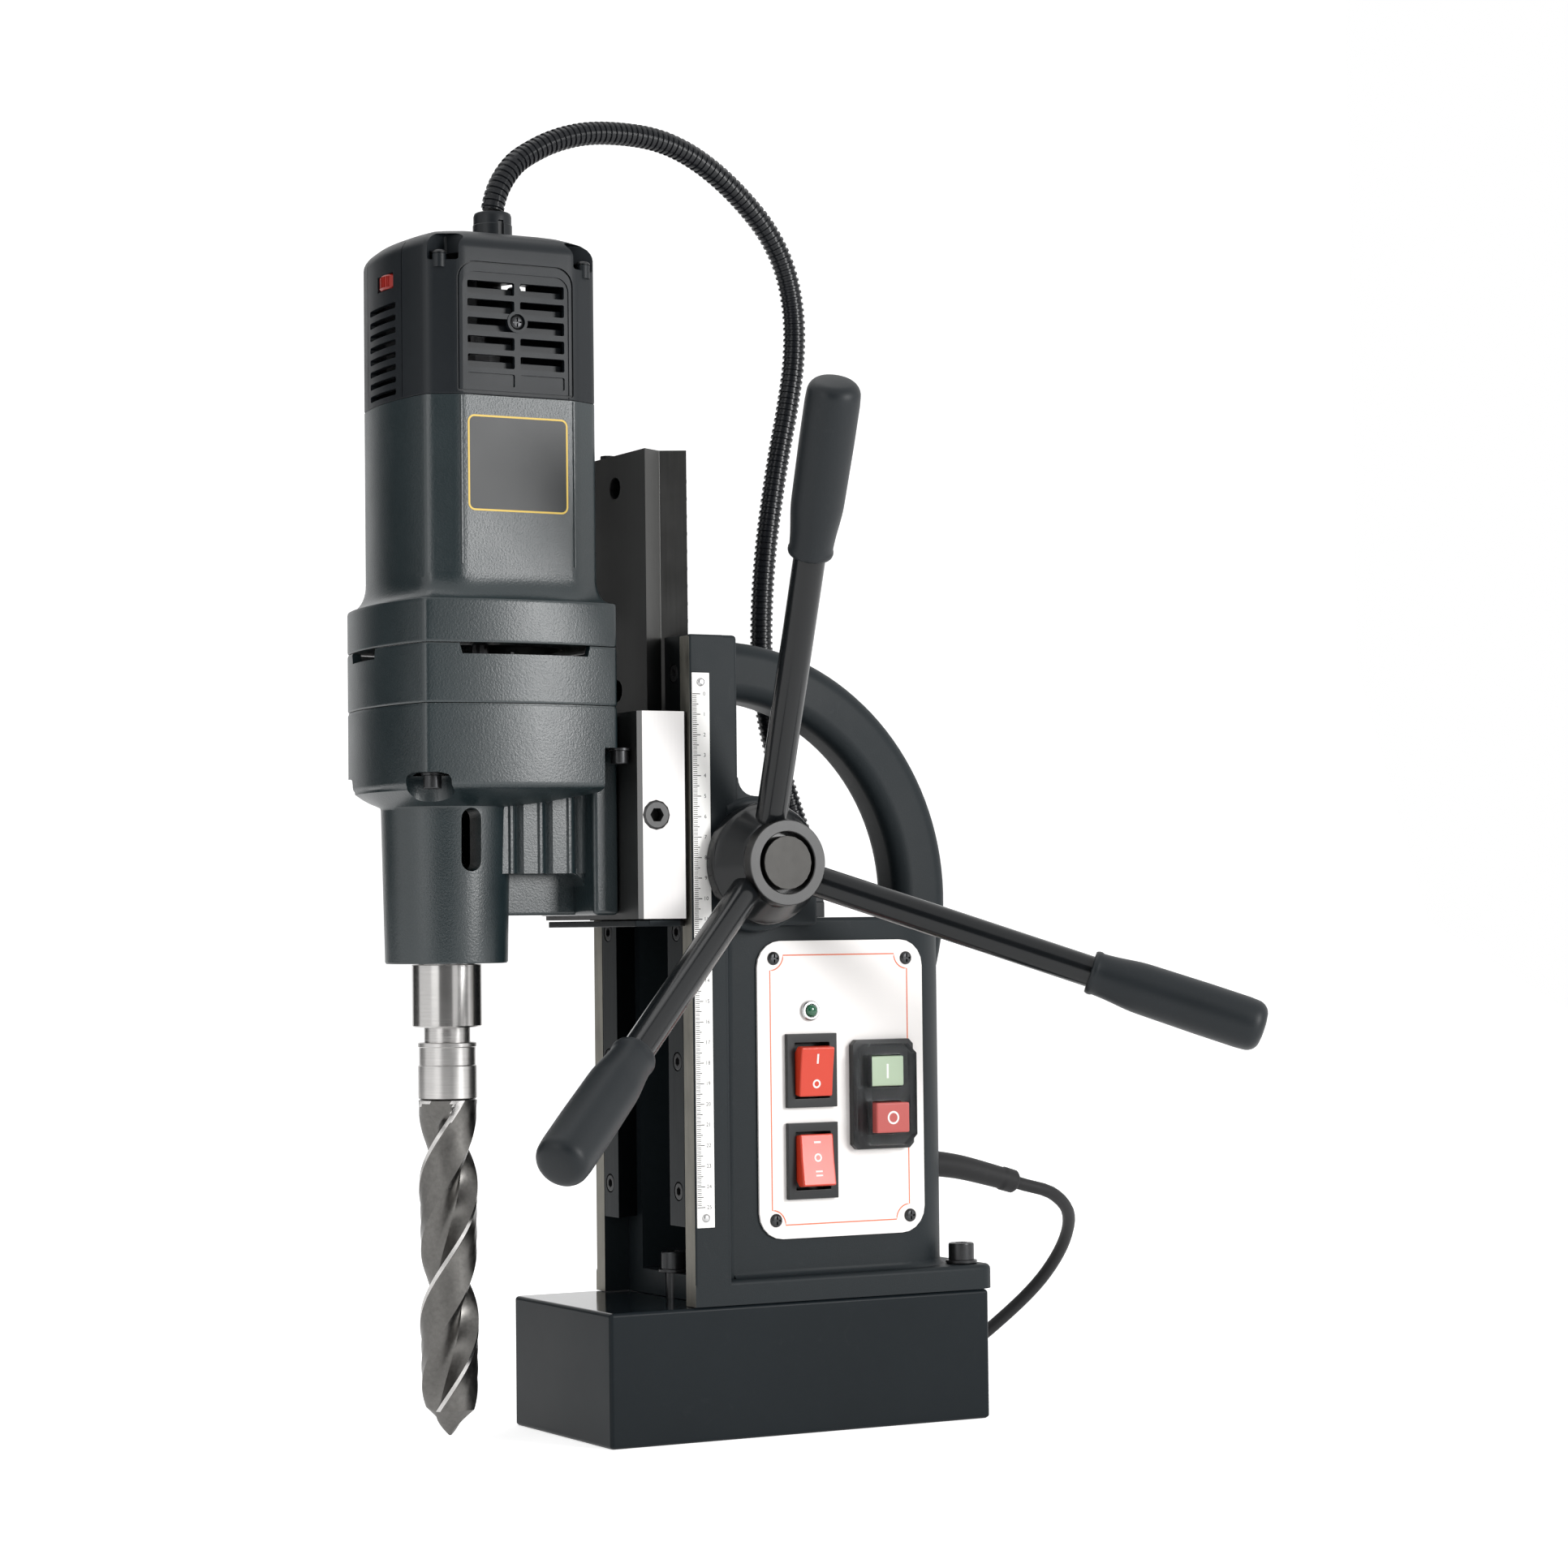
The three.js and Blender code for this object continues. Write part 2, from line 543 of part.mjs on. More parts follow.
function geometryOf(solid) {
  const mesh = solid.getMesh();
  const places = [];
  for (let i = 0; i < mesh.vertProperties.length; i += mesh.numProp) {
    places.push(mesh.vertProperties[i], mesh.vertProperties[i + 1], mesh.vertProperties[i + 2]);
  }
  const geometry = new THREE.BufferGeometry();
  geometry.setAttribute("position", new THREE.Float32BufferAttribute(places, 3));
  geometry.setIndex(Array.from(mesh.triVerts));
  geometry.computeVertexNormals();
  return geometry;
}

function joined(solids) {
  return solids.reduce((sum, solid) => sum.add(solid));
}

function cutBy(solid, cuts) {
  return cuts.reduce((rest, cut) => rest.subtract(cut), solid);
}

// Plain shapes

function box(x0, x1, y0, y1, z0, z1) {
  const geometry = new THREE.BoxGeometry(x1 - x0, y1 - y0, z1 - z0);
  geometry.translate((x0 + x1) / 2, (y0 + y1) / 2, (z0 + z1) / 2);
  return closedSolid(geometry);
}

function extruded(outline, depth) {
  const shape = new THREE.Shape(outline.map(([u, v]) => new THREE.Vector2(u, v)));
  return new THREE.ExtrudeGeometry(shape, { depth, bevelEnabled: false, steps: 1 });
}

function prismZ(outline, z0, z1) {
  const geometry = extruded(outline, z1 - z0);
  geometry.translate(0, 0, z0);
  return closedSolid(geometry);
}

// An outline of (y, z) points, drawn out along X.
function prismX(outline, x0, x1) {
  const geometry = extruded(outline, x1 - x0);
  const turn = new THREE.Matrix4().makeBasis(
    new THREE.Vector3(0, 1, 0), new THREE.Vector3(0, 0, 1), new THREE.Vector3(1, 0, 0));
  geometry.applyMatrix4(turn);
  geometry.translate(x0, 0, 0);
  return closedSolid(geometry);
}

// An outline of (x, z) points, drawn out along Y.
function prismY(outline, y0, y1) {
  const geometry = extruded(outline, y1 - y0);
  geometry.rotateX(Math.PI / 2);
  geometry.translate(0, y1, 0);
  return closedSolid(geometry);
}

// A turned piece about the Z axis, from (radius, height) points that start and end on the axis.
function turnedGeometry(profile, steps) {
  const points = profile.map(([r, h]) => new THREE.Vector2(r, h));
  const geometry = new THREE.LatheGeometry(points, steps);
  geometry.rotateX(Math.PI / 2);
  return geometry;
}

function turnedZ(x, y, profile, steps) {
  const geometry = turnedGeometry(profile, steps);
  geometry.translate(x, y, 0);
  return closedSolid(geometry);
}

function turnedX(y, z, profile, steps) {
  const geometry = turnedGeometry(profile, steps);
  geometry.rotateY(Math.PI / 2);
  geometry.translate(0, y, z);
  return closedSolid(geometry);
}

function rodProfile(radius, h0, h1) {
  return [[0, h0], [radius, h0], [radius, h1], [0, h1]];
}

function rodZ(x, y, z0, z1, radius, steps) {
  return turnedZ(x, y, rodProfile(radius, z0, z1), steps);
}

function rodX(y, z, x0, x1, radius, steps) {
  return turnedX(y, z, rodProfile(radius, x0, x1), steps);
}

function rodY(x, z, y0, y1, radius, steps) {
  const geometry = turnedGeometry(rodProfile(radius, -y1, -y0), steps);
  geometry.rotateX(Math.PI / 2);
  geometry.translate(x, 0, z);
  return closedSolid(geometry);
}

function roundedRectangle(u0, u1, v0, v1, radius, steps) {
  const centres = [[u1 - radius, v0 + radius], [u1 - radius, v1 - radius],
    [u0 + radius, v1 - radius], [u0 + radius, v0 + radius]];
  const points = [];
  centres.forEach(([u, v], quarter) => {
    for (let i = 0; i <= steps; i++) {
      const angle = (quarter - 1 + i / steps) * Math.PI / 2;
      points.push([u + radius * Math.cos(angle), v + radius * Math.sin(angle)]);
    }
  });
  return points;
}

// A rectangle with its corners cut off.
function bevelledRectangle(u0, u1, v0, v1, bevelU, bevelV) {
  return [[u0 + bevelU, v0], [u1 - bevelU, v0], [u1, v0 + bevelV], [u1, v1 - bevelV],
    [u1 - bevelU, v1], [u0 + bevelU, v1], [u0, v1 - bevelV], [u0, v0 + bevelV]];
}

// A solid through rings of points, closed at both ends by fans about the rings' middles.
function loftGeometry(rings) {
  const count = rings[0].length;
  const places = rings.flat(2);
  const faces = [];
  for (let j = 0; j + 1 < rings.length; j++) {
    for (let i = 0; i < count; i++) {
      const a = j * count + i;
      const b = j * count + (i + 1) % count;
      faces.push(a, b, b + count, a, b + count, a + count);
    }
  }
  [rings[0], rings[rings.length - 1]].forEach((ring, end) => {
    const middle = [0, 1, 2].map((axis) => ring.reduce((sum, p) => sum + p[axis], 0) / count);
    const tip = places.length / 3;
    const first = end ? (rings.length - 1) * count : 0;
    places.push(...middle);
    for (let i = 0; i < count; i++) {
      const a = first + i;
      const b = first + (i + 1) % count;
      faces.push(...(end ? [a, b, tip] : [b, a, tip]));
    }
  });
  const geometry = new THREE.BufferGeometry();
  geometry.setAttribute("position", new THREE.Float32BufferAttribute(places, 3));
  geometry.setIndex(faces);
  return geometry;
}

function loft(rings) {
  return closedSolid(loftGeometry(rings));
}

function level(outline, z) {
  return outline.map(([x, y]) => [x, y, z]);
}

// Gears

function involute(angle) {
  return Math.tan(angle) - angle;
}

// Half the angle that a tooth takes at a radius.
function toothHalfAngle(radius, pitchRadius, teeth) {
  const pressure = PRESSURE_ANGLE * Math.PI / 180;
  const baseRadius = pitchRadius * Math.cos(pressure);
  const there = Math.acos(baseRadius / Math.max(radius, baseRadius));
  return TOOTH_SHARE * Math.PI / teeth + involute(pressure) - involute(there);
}

// The outline of a spur gear about the origin, with a tooth's middle at the first angle.
function gearOutline(teeth, gearModule, firstAngle) {
  const pitchRadius = gearModule * teeth / 2;
  const radii = [pitchRadius - DEDENDUM_SHARE * gearModule, pitchRadius + ADDENDUM_SHARE * gearModule];
  const points = [];
  for (let tooth = 0; tooth < teeth; tooth++) {
    const middle = firstAngle + tooth * 2 * Math.PI / teeth;
    const rise = radii.map((r) => [r, middle - toothHalfAngle(r, pitchRadius, teeth)]);
    const fall = radii.map((r) => [r, middle + toothHalfAngle(r, pitchRadius, teeth)]).reverse();
    [...rise, ...fall].forEach(([r, a]) => points.push([r * Math.cos(a), r * Math.sin(a)]));
  }
  return points;
}

function gearZ(x, y, teeth, gearModule, firstAngle, z0, z1) {
  const outline = gearOutline(teeth, gearModule, firstAngle).map(([u, v]) => [u + x, v + y]);
  return prismZ(outline, z0, z1);
}

// Tubes along a route

function placesOnCurve(route) {
  return new THREE.CatmullRomCurve3(route.map((p) => new THREE.Vector3(...p)), false, "centripetal");
}

function ringAt(middle, across, over, radius, sides) {
  const ring = [];
  for (let i = 0; i < sides; i++) {
    const angle = 2 * Math.PI * i / sides;
    const p = middle.clone();
    p.addScaledVector(across, radius * Math.cos(angle));
    p.addScaledVector(over, radius * Math.sin(angle));
    ring.push([p.x, p.y, p.z]);
  }
  return ring;
}

function leastGapToItself(points, radius, stepsApart) {
  let least = Infinity;
  points.forEach((p, i) => {
    for (let j = i + stepsApart; j < points.length; j++) least = Math.min(least, p.distanceTo(points[j]));
  });
  return least - 2 * radius;
}

// The scene

const drill = new THREE.Group();
const stand = new THREE.Group();
const slide = new THREE.Group();
const head = new THREE.Group();
const capstan = new THREE.Group();
stand.position.z = magnetTop;
slide.position.z = BAR_BOTTOM;
head.position.z = BLOCK_REST_GAP;
capstan.position.set(0, pinionY, PINION_HEIGHT);
drill.add(stand);
stand.add(slide, capstan);
slide.add(head);

function addMesh(parent, name, shape, color, roughness, metalness) {
  const geometry = shape.isBufferGeometry ? shape : geometryOf(shape);
  const material = new THREE.MeshStandardMaterial({ color, roughness, metalness });
  const mesh = new THREE.Mesh(geometry, material);
  mesh.name = name;
  parent.add(mesh);
  return mesh;
}

// Magnet

function magnetOutline(inset) {
  const x = MAGNET_WIDTH / 2 - inset;
  const y = MAGNET_LENGTH / 2 - inset;
  return bevelledRectangle(-x, x, -y, y, MAGNET_CHAMFER, MAGNET_CHAMFER);
}

function racetrack(width, length, corner, z0, z1) {
  const outline = roundedRectangle(-width / 2, width / 2, -length / 2, length / 2, corner, 4);
  return prismZ(outline, z0, z1);
}

function racetrackRing(gap, z0, z1) {
  const outer = racetrack(CORE_WIDTH + 2 * (GROOVE_WIDTH - gap), CORE_LENGTH + 2 * (GROOVE_WIDTH - gap),
    CORE_CORNER + GROOVE_WIDTH - gap, z0, z1);
  const inner = racetrack(CORE_WIDTH + 2 * gap, CORE_LENGTH + 2 * gap, CORE_CORNER + gap, z0 - OVERRUN, z1 + OVERRUN);
  return outer.subtract(inner);
}

function boltPlaces() {
  return [
    { name: "front_foot_bolt", washer: "front_foot_washer", x: 0, y: standFront + FRONT_BOLT_BACK },
    { name: "right_foot_bolt", washer: "right_foot_washer", x: REAR_BOLT_X, y: footRear - REAR_BOLT_IN },
    { name: "left_foot_bolt", washer: "left_foot_washer", x: -REAR_BOLT_X, y: footRear - REAR_BOLT_IN },
  ];
}

function addMagnet() {
  const block = loft([
    level(magnetOutline(MAGNET_CHAMFER), 0),
    level(magnetOutline(0), MAGNET_CHAMFER),
    level(magnetOutline(0), magnetTop - MAGNET_CHAMFER),
    level(magnetOutline(MAGNET_CHAMFER), magnetTop),
  ]);
  const wireX = CORE_WIDTH / 2 + GROOVE_WIDTH / 2;
  const holes = boltPlaces().map(({ x, y }) => rodZ(x, y, magnetTop - BOLT_DEPTH_IN_MAGNET - 2 * FIT,
    magnetTop + OVERRUN, BOLT_SHANK_RADIUS + FIT, TINY_STEPS));
  const wireHole = rodZ(wireX, WIRE_HOLE_Y, GROOVE_DEPTH - OVERRUN, magnetTop + OVERRUN, WIRE_HOLE_RADIUS, TINY_STEPS);
  const body = cutBy(block, [racetrackRing(0, -OVERRUN, GROOVE_DEPTH), wireHole, ...holes]);
  addMesh(drill, "magnet_body", body, 0x1b1d20, 0.35, 0.6);
  const coil = racetrackRing(FIT, COIL_RECESS, GROOVE_DEPTH - FIT);
  addMesh(drill, "magnet_coil", coil, 0x5a3a1c, 0.7, 0.1);
}

// Stand

function archSolid() {
  const section = roundedRectangle(-ARCH_THICKNESS / 2, ARCH_THICKNESS / 2, -ARCH_WIDTH / 2, ARCH_WIDTH / 2,
    ARCH_ROUND, 2);
  const lowZ = archZ - archLeg;
  const from = Math.asin((BOX_HEIGHT - ARCH_SINK - lowZ) / ARCH_RADIUS);
  const to = Math.PI / 2 + ARCH_LEAN * Math.PI / 180;
  const rings = [];
  for (let i = 0; i <= ARCH_STEPS; i++) {
    const angle = from + (to - from) * i / ARCH_STEPS;
    const axisZ = angle < 0 ? lowZ : archZ;
    rings.push(section.map(([out, x]) => [x, archY + (ARCH_RADIUS + out) * Math.cos(angle),
      axisZ + (ARCH_RADIUS + out) * Math.sin(angle)]));
  }
  return loft(rings);
}

// The switch box: straight in front, with wide round corners behind and a rounded top edge at the rear.
function boxOutline(inset, front) {
  const half = boxHalf - inset;
  const rear = boxRear - inset;
  const radius = BOX_PLAN_CORNER - inset;
  const points = [[-half, front], [half, front]];
  for (let i = 0; i <= 6; i++) {
    const angle = i / 6 * Math.PI / 2;
    points.push([half - radius + radius * Math.cos(angle), rear - radius + radius * Math.sin(angle)]);
  }
  for (let i = 0; i <= 6; i++) {
    const angle = (1 + i / 6) * Math.PI / 2;
    points.push([-half + radius + radius * Math.cos(angle), rear - radius + radius * Math.sin(angle)]);
  }
  return points;
}

function boxSideOutline(inset) {
  const top = BOX_HEIGHT - inset;
  const rear = boxRear - inset;
  const radius = BOX_TOP_CORNER - inset;
  const points = [[standFront + BOX_TOP_CORNER, 0], [rear, 0]];
  for (let i = 0; i <= 4; i++) {
    const angle = i / 4 * Math.PI / 2;
    points.push([rear - radius + radius * Math.cos(angle), top - radius + radius * Math.sin(angle)]);
  }
  points.push([standFront + BOX_TOP_CORNER, top]);
  return points;
}

function switchBox() {
  const plan = prismZ(boxOutline(0, standFront + BAND_DEPTH - OVERRUN), 0, BOX_HEIGHT);
  return plan.intersect(prismX(boxSideOutline(0), -standHalf, standHalf));
}

function boxHollow() {
  const plan = prismZ(boxOutline(BOX_WALL, standFront + BOX_HOLLOW_FRONT), FOOT_THICKNESS, BOX_HEIGHT - BOX_WALL);
  return plan.intersect(prismX(boxSideOutline(BOX_WALL), -standHalf, standHalf));
}

function footSlab() {
  const outline = [[-standHalf, standFront], [standHalf, standFront]];
  for (let i = 0; i <= 4; i++) {
    const angle = i / 4 * Math.PI / 2;
    outline.push([standHalf - FOOT_CORNER * (1 - Math.cos(angle)), footRear - FOOT_CORNER * (1 - Math.sin(angle))]);
  }
  for (let i = 0; i <= 4; i++) {
    const angle = i / 4 * Math.PI / 2;
    outline.push([-standHalf + FOOT_CORNER * (1 - Math.sin(angle)), footRear - FOOT_CORNER * (1 - Math.cos(angle))]);
  }
  return prismZ(outline, FIT, FOOT_THICKNESS);
}

function column() {
  const wide = box(-standHalf, standHalf, standFront, standFront + BAND_DEPTH, FOOT_THICKNESS / 2, COLUMN_HEIGHT);
  const rail = box(-standHalf, standHalf, standFront + OVERRUN, columnRear, BOX_HEIGHT, COLUMN_HEIGHT);
  const spine = box(-SPINE_WIDTH / 2, SPINE_WIDTH / 2, standFront + OVERRUN, standFront + SPINE_DEPTH,
    FOOT_THICKNESS, COLUMN_HEIGHT);
  return joined([wide, rail, spine]);
}

function boss() {
  const half = BOSS_WIDTH / 2;
  const barrel = rodX(pinionY, PINION_HEIGHT, -half, half, BOSS_RADIUS, ROUND_STEPS + TINY_STEPS);
  const skirt = box(-half, half, pinionY - BOSS_RADIUS / 2, pinionY + BOSS_RADIUS, BOX_HEIGHT - OVERRUN, PINION_HEIGHT);
  const front = standFront + BAND_DEPTH;
  const beside = [1, -1].map((side) => box(Math.min(side * standHalf, side * (half + OVERRUN)),
    Math.max(side * standHalf, side * (half + OVERRUN)), standFront - OVERRUN, front, 0, COLUMN_HEIGHT));
  return cutBy(barrel.add(skirt), beside);
}

function guideCuts() {
  const inner = standHalf - GUIDE_WALL;
  const seat = SEAT_INNER_WIDTH / 2;
  const top = COLUMN_HEIGHT + OVERRUN;
  const front = standFront - OVERRUN;
  const clearUp = FEED_MODULE * ADDENDUM_SHARE + feedRadius + PINION_ROOM;
  return [
    box(-inner, inner, front, gibSeatY, -OVERRUN, top),
    box(-seat, seat, front, standFront + POCKET_HIGH_DEPTH, FOOT_THICKNESS, top),
    box(-seat, seat, front, standFront + POCKET_LOW_DEPTH, FOOT_THICKNESS, BOX_HEIGHT - OVERRUN),
    rodX(pinionY, PINION_HEIGHT, -seat, seat, clearUp, ROUND_STEPS),
  ];
}

function footSlot() {
  const radius = BOLT_SHANK_RADIUS + FOOT_SLOT_GAP;
  const y = standFront + FRONT_BOLT_BACK;
  const channel = box(-radius, radius, standFront - OVERRUN, y, -OVERRUN, FOOT_THICKNESS + OVERRUN);
  return channel.add(rodZ(0, y, -OVERRUN, FOOT_THICKNESS + OVERRUN, radius, TINY_STEPS));
}

function standHoles() {
  const half = BOSS_WIDTH / 2;
  const bushHole = rodX(pinionY, PINION_HEIGHT, -half - OVERRUN, half + OVERRUN, BUSH_RADIUS + FIT, ROUND_STEPS);
  const rearHoles = boltPlaces().slice(1).map(({ x, y }) => rodZ(x, y, -OVERRUN, FOOT_THICKNESS + OVERRUN,
    BOLT_SHANK_RADIUS + FIT, TINY_STEPS));
  const wireX = CORE_WIDTH / 2 + GROOVE_WIDTH / 2;
  const wireHole = rodZ(wireX, WIRE_HOLE_Y, -OVERRUN, FOOT_THICKNESS + OVERRUN, WIRE_HOLE_RADIUS, TINY_STEPS);
  const reliefHole = rodY(0, RELIEF_HEIGHT, boxRear - BOX_WALL - OVERRUN, boxRear + OVERRUN,
    RELIEF_SPIGOT_RADIUS + FIT, SMALL_STEPS);
  const glandHole = rodZ(STAND_GLAND_X, STAND_GLAND_Y, BOX_HEIGHT - BOX_WALL - OVERRUN, BOX_HEIGHT + OVERRUN,
    GLAND_SPIGOT_RADIUS + FIT, SMALL_STEPS);
  const margin = PANEL_OPENING_MARGIN;
  const panel = box(boxHalf - BOX_WALL - OVERRUN, boxHalf + FIT, plateFrontY + margin, plateRearY - margin,
    openingBottom, openingTop);
  return [bushHole, ...rearHoles, wireHole, reliefHole, glandHole, panel];
}

function addStandCasting() {
  const outer = joined([footSlab(), column(), switchBox(), boss(), archSolid()]);
  const casting = cutBy(outer, [boxHollow(), ...guideCuts(), footSlot(), ...standHoles()]);
  addMesh(stand, "stand_casting", casting, 0x17191c, 0.55, 0.3);
}

// Gibs, ruler, bolts

function gibFlankX(y) {
  return BAR_WAIST / 2 + (y - barWaistY) * barRearSlope + GIB_RUNNING;
}

function addGibs() {
  const outer = standHalf - GUIDE_WALL - FIT;
  const rear = gibSeatY - FIT;
  const outline = [[gibFlankX(standFront), standFront], [outer, standFront], [outer, rear], [gibFlankX(rear), rear]];
  const mirrored = outline.map(([x, y]) => [-x, y]).reverse();
  addMesh(stand, "right_gib", prismZ(outline, GIB_BOTTOM, COLUMN_HEIGHT), 0x1d1f22, 0.5, 0.7);
  addMesh(stand, "left_gib", prismZ(mirrored, GIB_BOTTOM, COLUMN_HEIGHT), 0x1d1f22, 0.5, 0.7);
}

function addRuler() {
  const inner = standHalf + FIT;
  const front = standFront + RULER_INSET;
  const plate = box(inner, inner + RULER_THICKNESS, front, front + RULER_WIDTH, RULER_BOTTOM, RULER_TOP);
  addMesh(stand, "ruler", plate, 0xc9cacb, 0.35, 0.9);
}

function addFootBolts() {
  boltPlaces().forEach(({ name, washer, x, y }) => {
    const washerTop = boltSeat + WASHER_THICKNESS;
    const headBase = washerTop + FIT;
    const headTop = headBase + BOLT_HEAD_HEIGHT;
    const profile = [[0, -BOLT_DEPTH_IN_MAGNET], [BOLT_SHANK_RADIUS, -BOLT_DEPTH_IN_MAGNET],
      [BOLT_SHANK_RADIUS, headBase], [BOLT_HEAD_RADIUS, headBase], [BOLT_HEAD_RADIUS, headTop], [0, headTop]];
    const socket = rodZ(x, y, headTop - BOLT_SOCKET_DEPTH, headTop + OVERRUN, BOLT_SOCKET_RADIUS, 6);
    addMesh(stand, name, turnedZ(x, y, profile, TINY_STEPS).subtract(socket), 0x1a1a1b, 0.45, 0.8);
    const disc = rodZ(x, y, boltSeat, washerTop, WASHER_RADIUS, SMALL_STEPS);
    const hole = rodZ(x, y, boltSeat - OVERRUN, washerTop + OVERRUN, BOLT_SHANK_RADIUS + FIT, TINY_STEPS);
    addMesh(stand, washer, disc.subtract(hole), 0x2a2b2d, 0.4, 0.8);
  });
}

// Panel

function plateCuts() {
  const x0 = plateInner - OVERRUN;
  const x1 = plateOuter + OVERRUN;
  const cuts = rockerSwitches.map(({ y, z, length }) => {
    const halfY = ROCKER_BEZEL_WIDTH / 2 - ROCKER_BEZEL_OVERLAP + FIT;
    const halfZ = length / 2 - ROCKER_BEZEL_OVERLAP + FIT;
    return box(x0, x1, y - halfY, y + halfY, z - halfZ, z + halfZ);
  });
  const halfY = DRILL_SWITCH_WIDTH / 2 - DRILL_SWITCH_OVERLAP + FIT;
  const halfZ = DRILL_SWITCH_HEIGHT / 2 - DRILL_SWITCH_OVERLAP + FIT;
  cuts.push(box(x0, x1, drillSwitchY - halfY, drillSwitchY + halfY, drillSwitchZ - halfZ, drillSwitchZ + halfZ));
  cuts.push(rodX(lampY, lampHeight, x0, x1, LAMP_BODY_RADIUS + FIT, TINY_STEPS));
  return cuts;
}

function addPanelPlate() {
  const outline = roundedRectangle(plateFrontY, plateRearY, PLATE_BOTTOM, plateTop, PLATE_CORNER, 5);
  addMesh(stand, "panel_plate", cutBy(prismX(outline, plateInner, plateOuter), plateCuts()), 0xe9e4da, 0.45, 0.1);
}

function addLamp() {
  const seat = plateOuter + FIT;
  const profile = [[0, seat - LAMP_DEPTH], [LAMP_BODY_RADIUS, seat - LAMP_DEPTH], [LAMP_BODY_RADIUS, seat],
    [LAMP_RADIUS, seat], [LAMP_RADIUS, seat + LAMP_BEZEL], [LAMP_LENS_RADIUS, seat + LAMP_BEZEL],
    [LAMP_LENS_RADIUS * LAMP_DOME_SHARES[0], seat + LAMP_BEZEL + LAMP_DOME * LAMP_DOME_SHARES[1]],
    [0, seat + LAMP_BEZEL + LAMP_DOME]];
  addMesh(stand, "indicator_lamp", turnedX(lampY, lampHeight, profile, SMALL_STEPS), 0x1f6b3c, 0.3, 0.1);
}

// The pivot of a rocker lies at the bezel's front face.
function rockerPivotX() {
  return plateOuter + FIT + ROCKER_BEZEL_THICKNESS;
}

function rockerHalf(length) {
  return length / 2 - ROCKER_END_MARGIN;
}

function rockerWell(y, z, length) {
  const reach = Math.hypot(rockerHalf(length), ROCKER_END_RISE) + ROCKER_SIDE_GAP;
  const halfY = ROCKER_WIDTH / 2 + ROCKER_SIDE_GAP;
  const front = rockerPivotX();
  return box(front - ROCKER_WELL_DEPTH, front + OVERRUN, y - halfY, y + halfY, z - reach, z + reach);
}

function rockerSwitchBody(y, z, length) {
  const seat = plateOuter + FIT;
  const front = rockerPivotX();
  const halfY = ROCKER_BEZEL_WIDTH / 2;
  const halfZ = length / 2;
  const inset = ROCKER_BEZEL_OVERLAP;
  const bezel = box(seat, front, y - halfY, y + halfY, z - halfZ, z + halfZ);
  const body = box(front - ROCKER_BODY_DEPTH, front - ROCKER_BEZEL_THICKNESS / 2, y - halfY + inset, y + halfY - inset,
    z - halfZ + inset, z + halfZ - inset);
  return bezel.add(body).subtract(rockerWell(y, z, length));
}

function rockerSolid(length) {
  const half = rockerHalf(length);
  const belly = half * ROCKER_BELLY_SHARE;
  const bow = ROCKER_END_RISE - half * Math.tan(ROCKER_SWING * Math.PI / 180) + ROCKER_CREST / 4;
  const outline = [[-half, 0], [-belly, -ROCKER_BELLY], [belly, -ROCKER_BELLY], [half, 0], [half, ROCKER_END_RISE],
    [0, bow], [-half, ROCKER_END_RISE]];
  const turned = outline.map(([z, x]) => [x, z]).reverse();
  return prismY(turned, -ROCKER_WIDTH / 2, ROCKER_WIDTH / 2);
}

function addRockerSwitches() {
  rockerSwitches.forEach(({ switchName, rockerName, y, z, length, rest }) => {
    addMesh(stand, switchName, rockerSwitchBody(y, z, length), 0x161616, 0.5, 0);
    const rocker = addMesh(stand, rockerName, rockerSolid(length), 0xd83a1c, 0.35, 0);
    rocker.position.set(rockerPivotX(), y, z);
    rocker.rotation.y = rest * ROCKER_SWING * Math.PI / 180;
  });
}

function buttonZ(side) {
  return drillSwitchZ + side * BUTTON_SPREAD / 2;
}

function buttonBox(side, gap, x0, x1) {
  const halfY = BUTTON_WIDTH / 2 + gap;
  const halfZ = BUTTON_HEIGHT / 2 + gap;
  const z = buttonZ(side);
  return box(x0, x1, drillSwitchY - halfY, drillSwitchY + halfY, z - halfZ, z + halfZ);
}

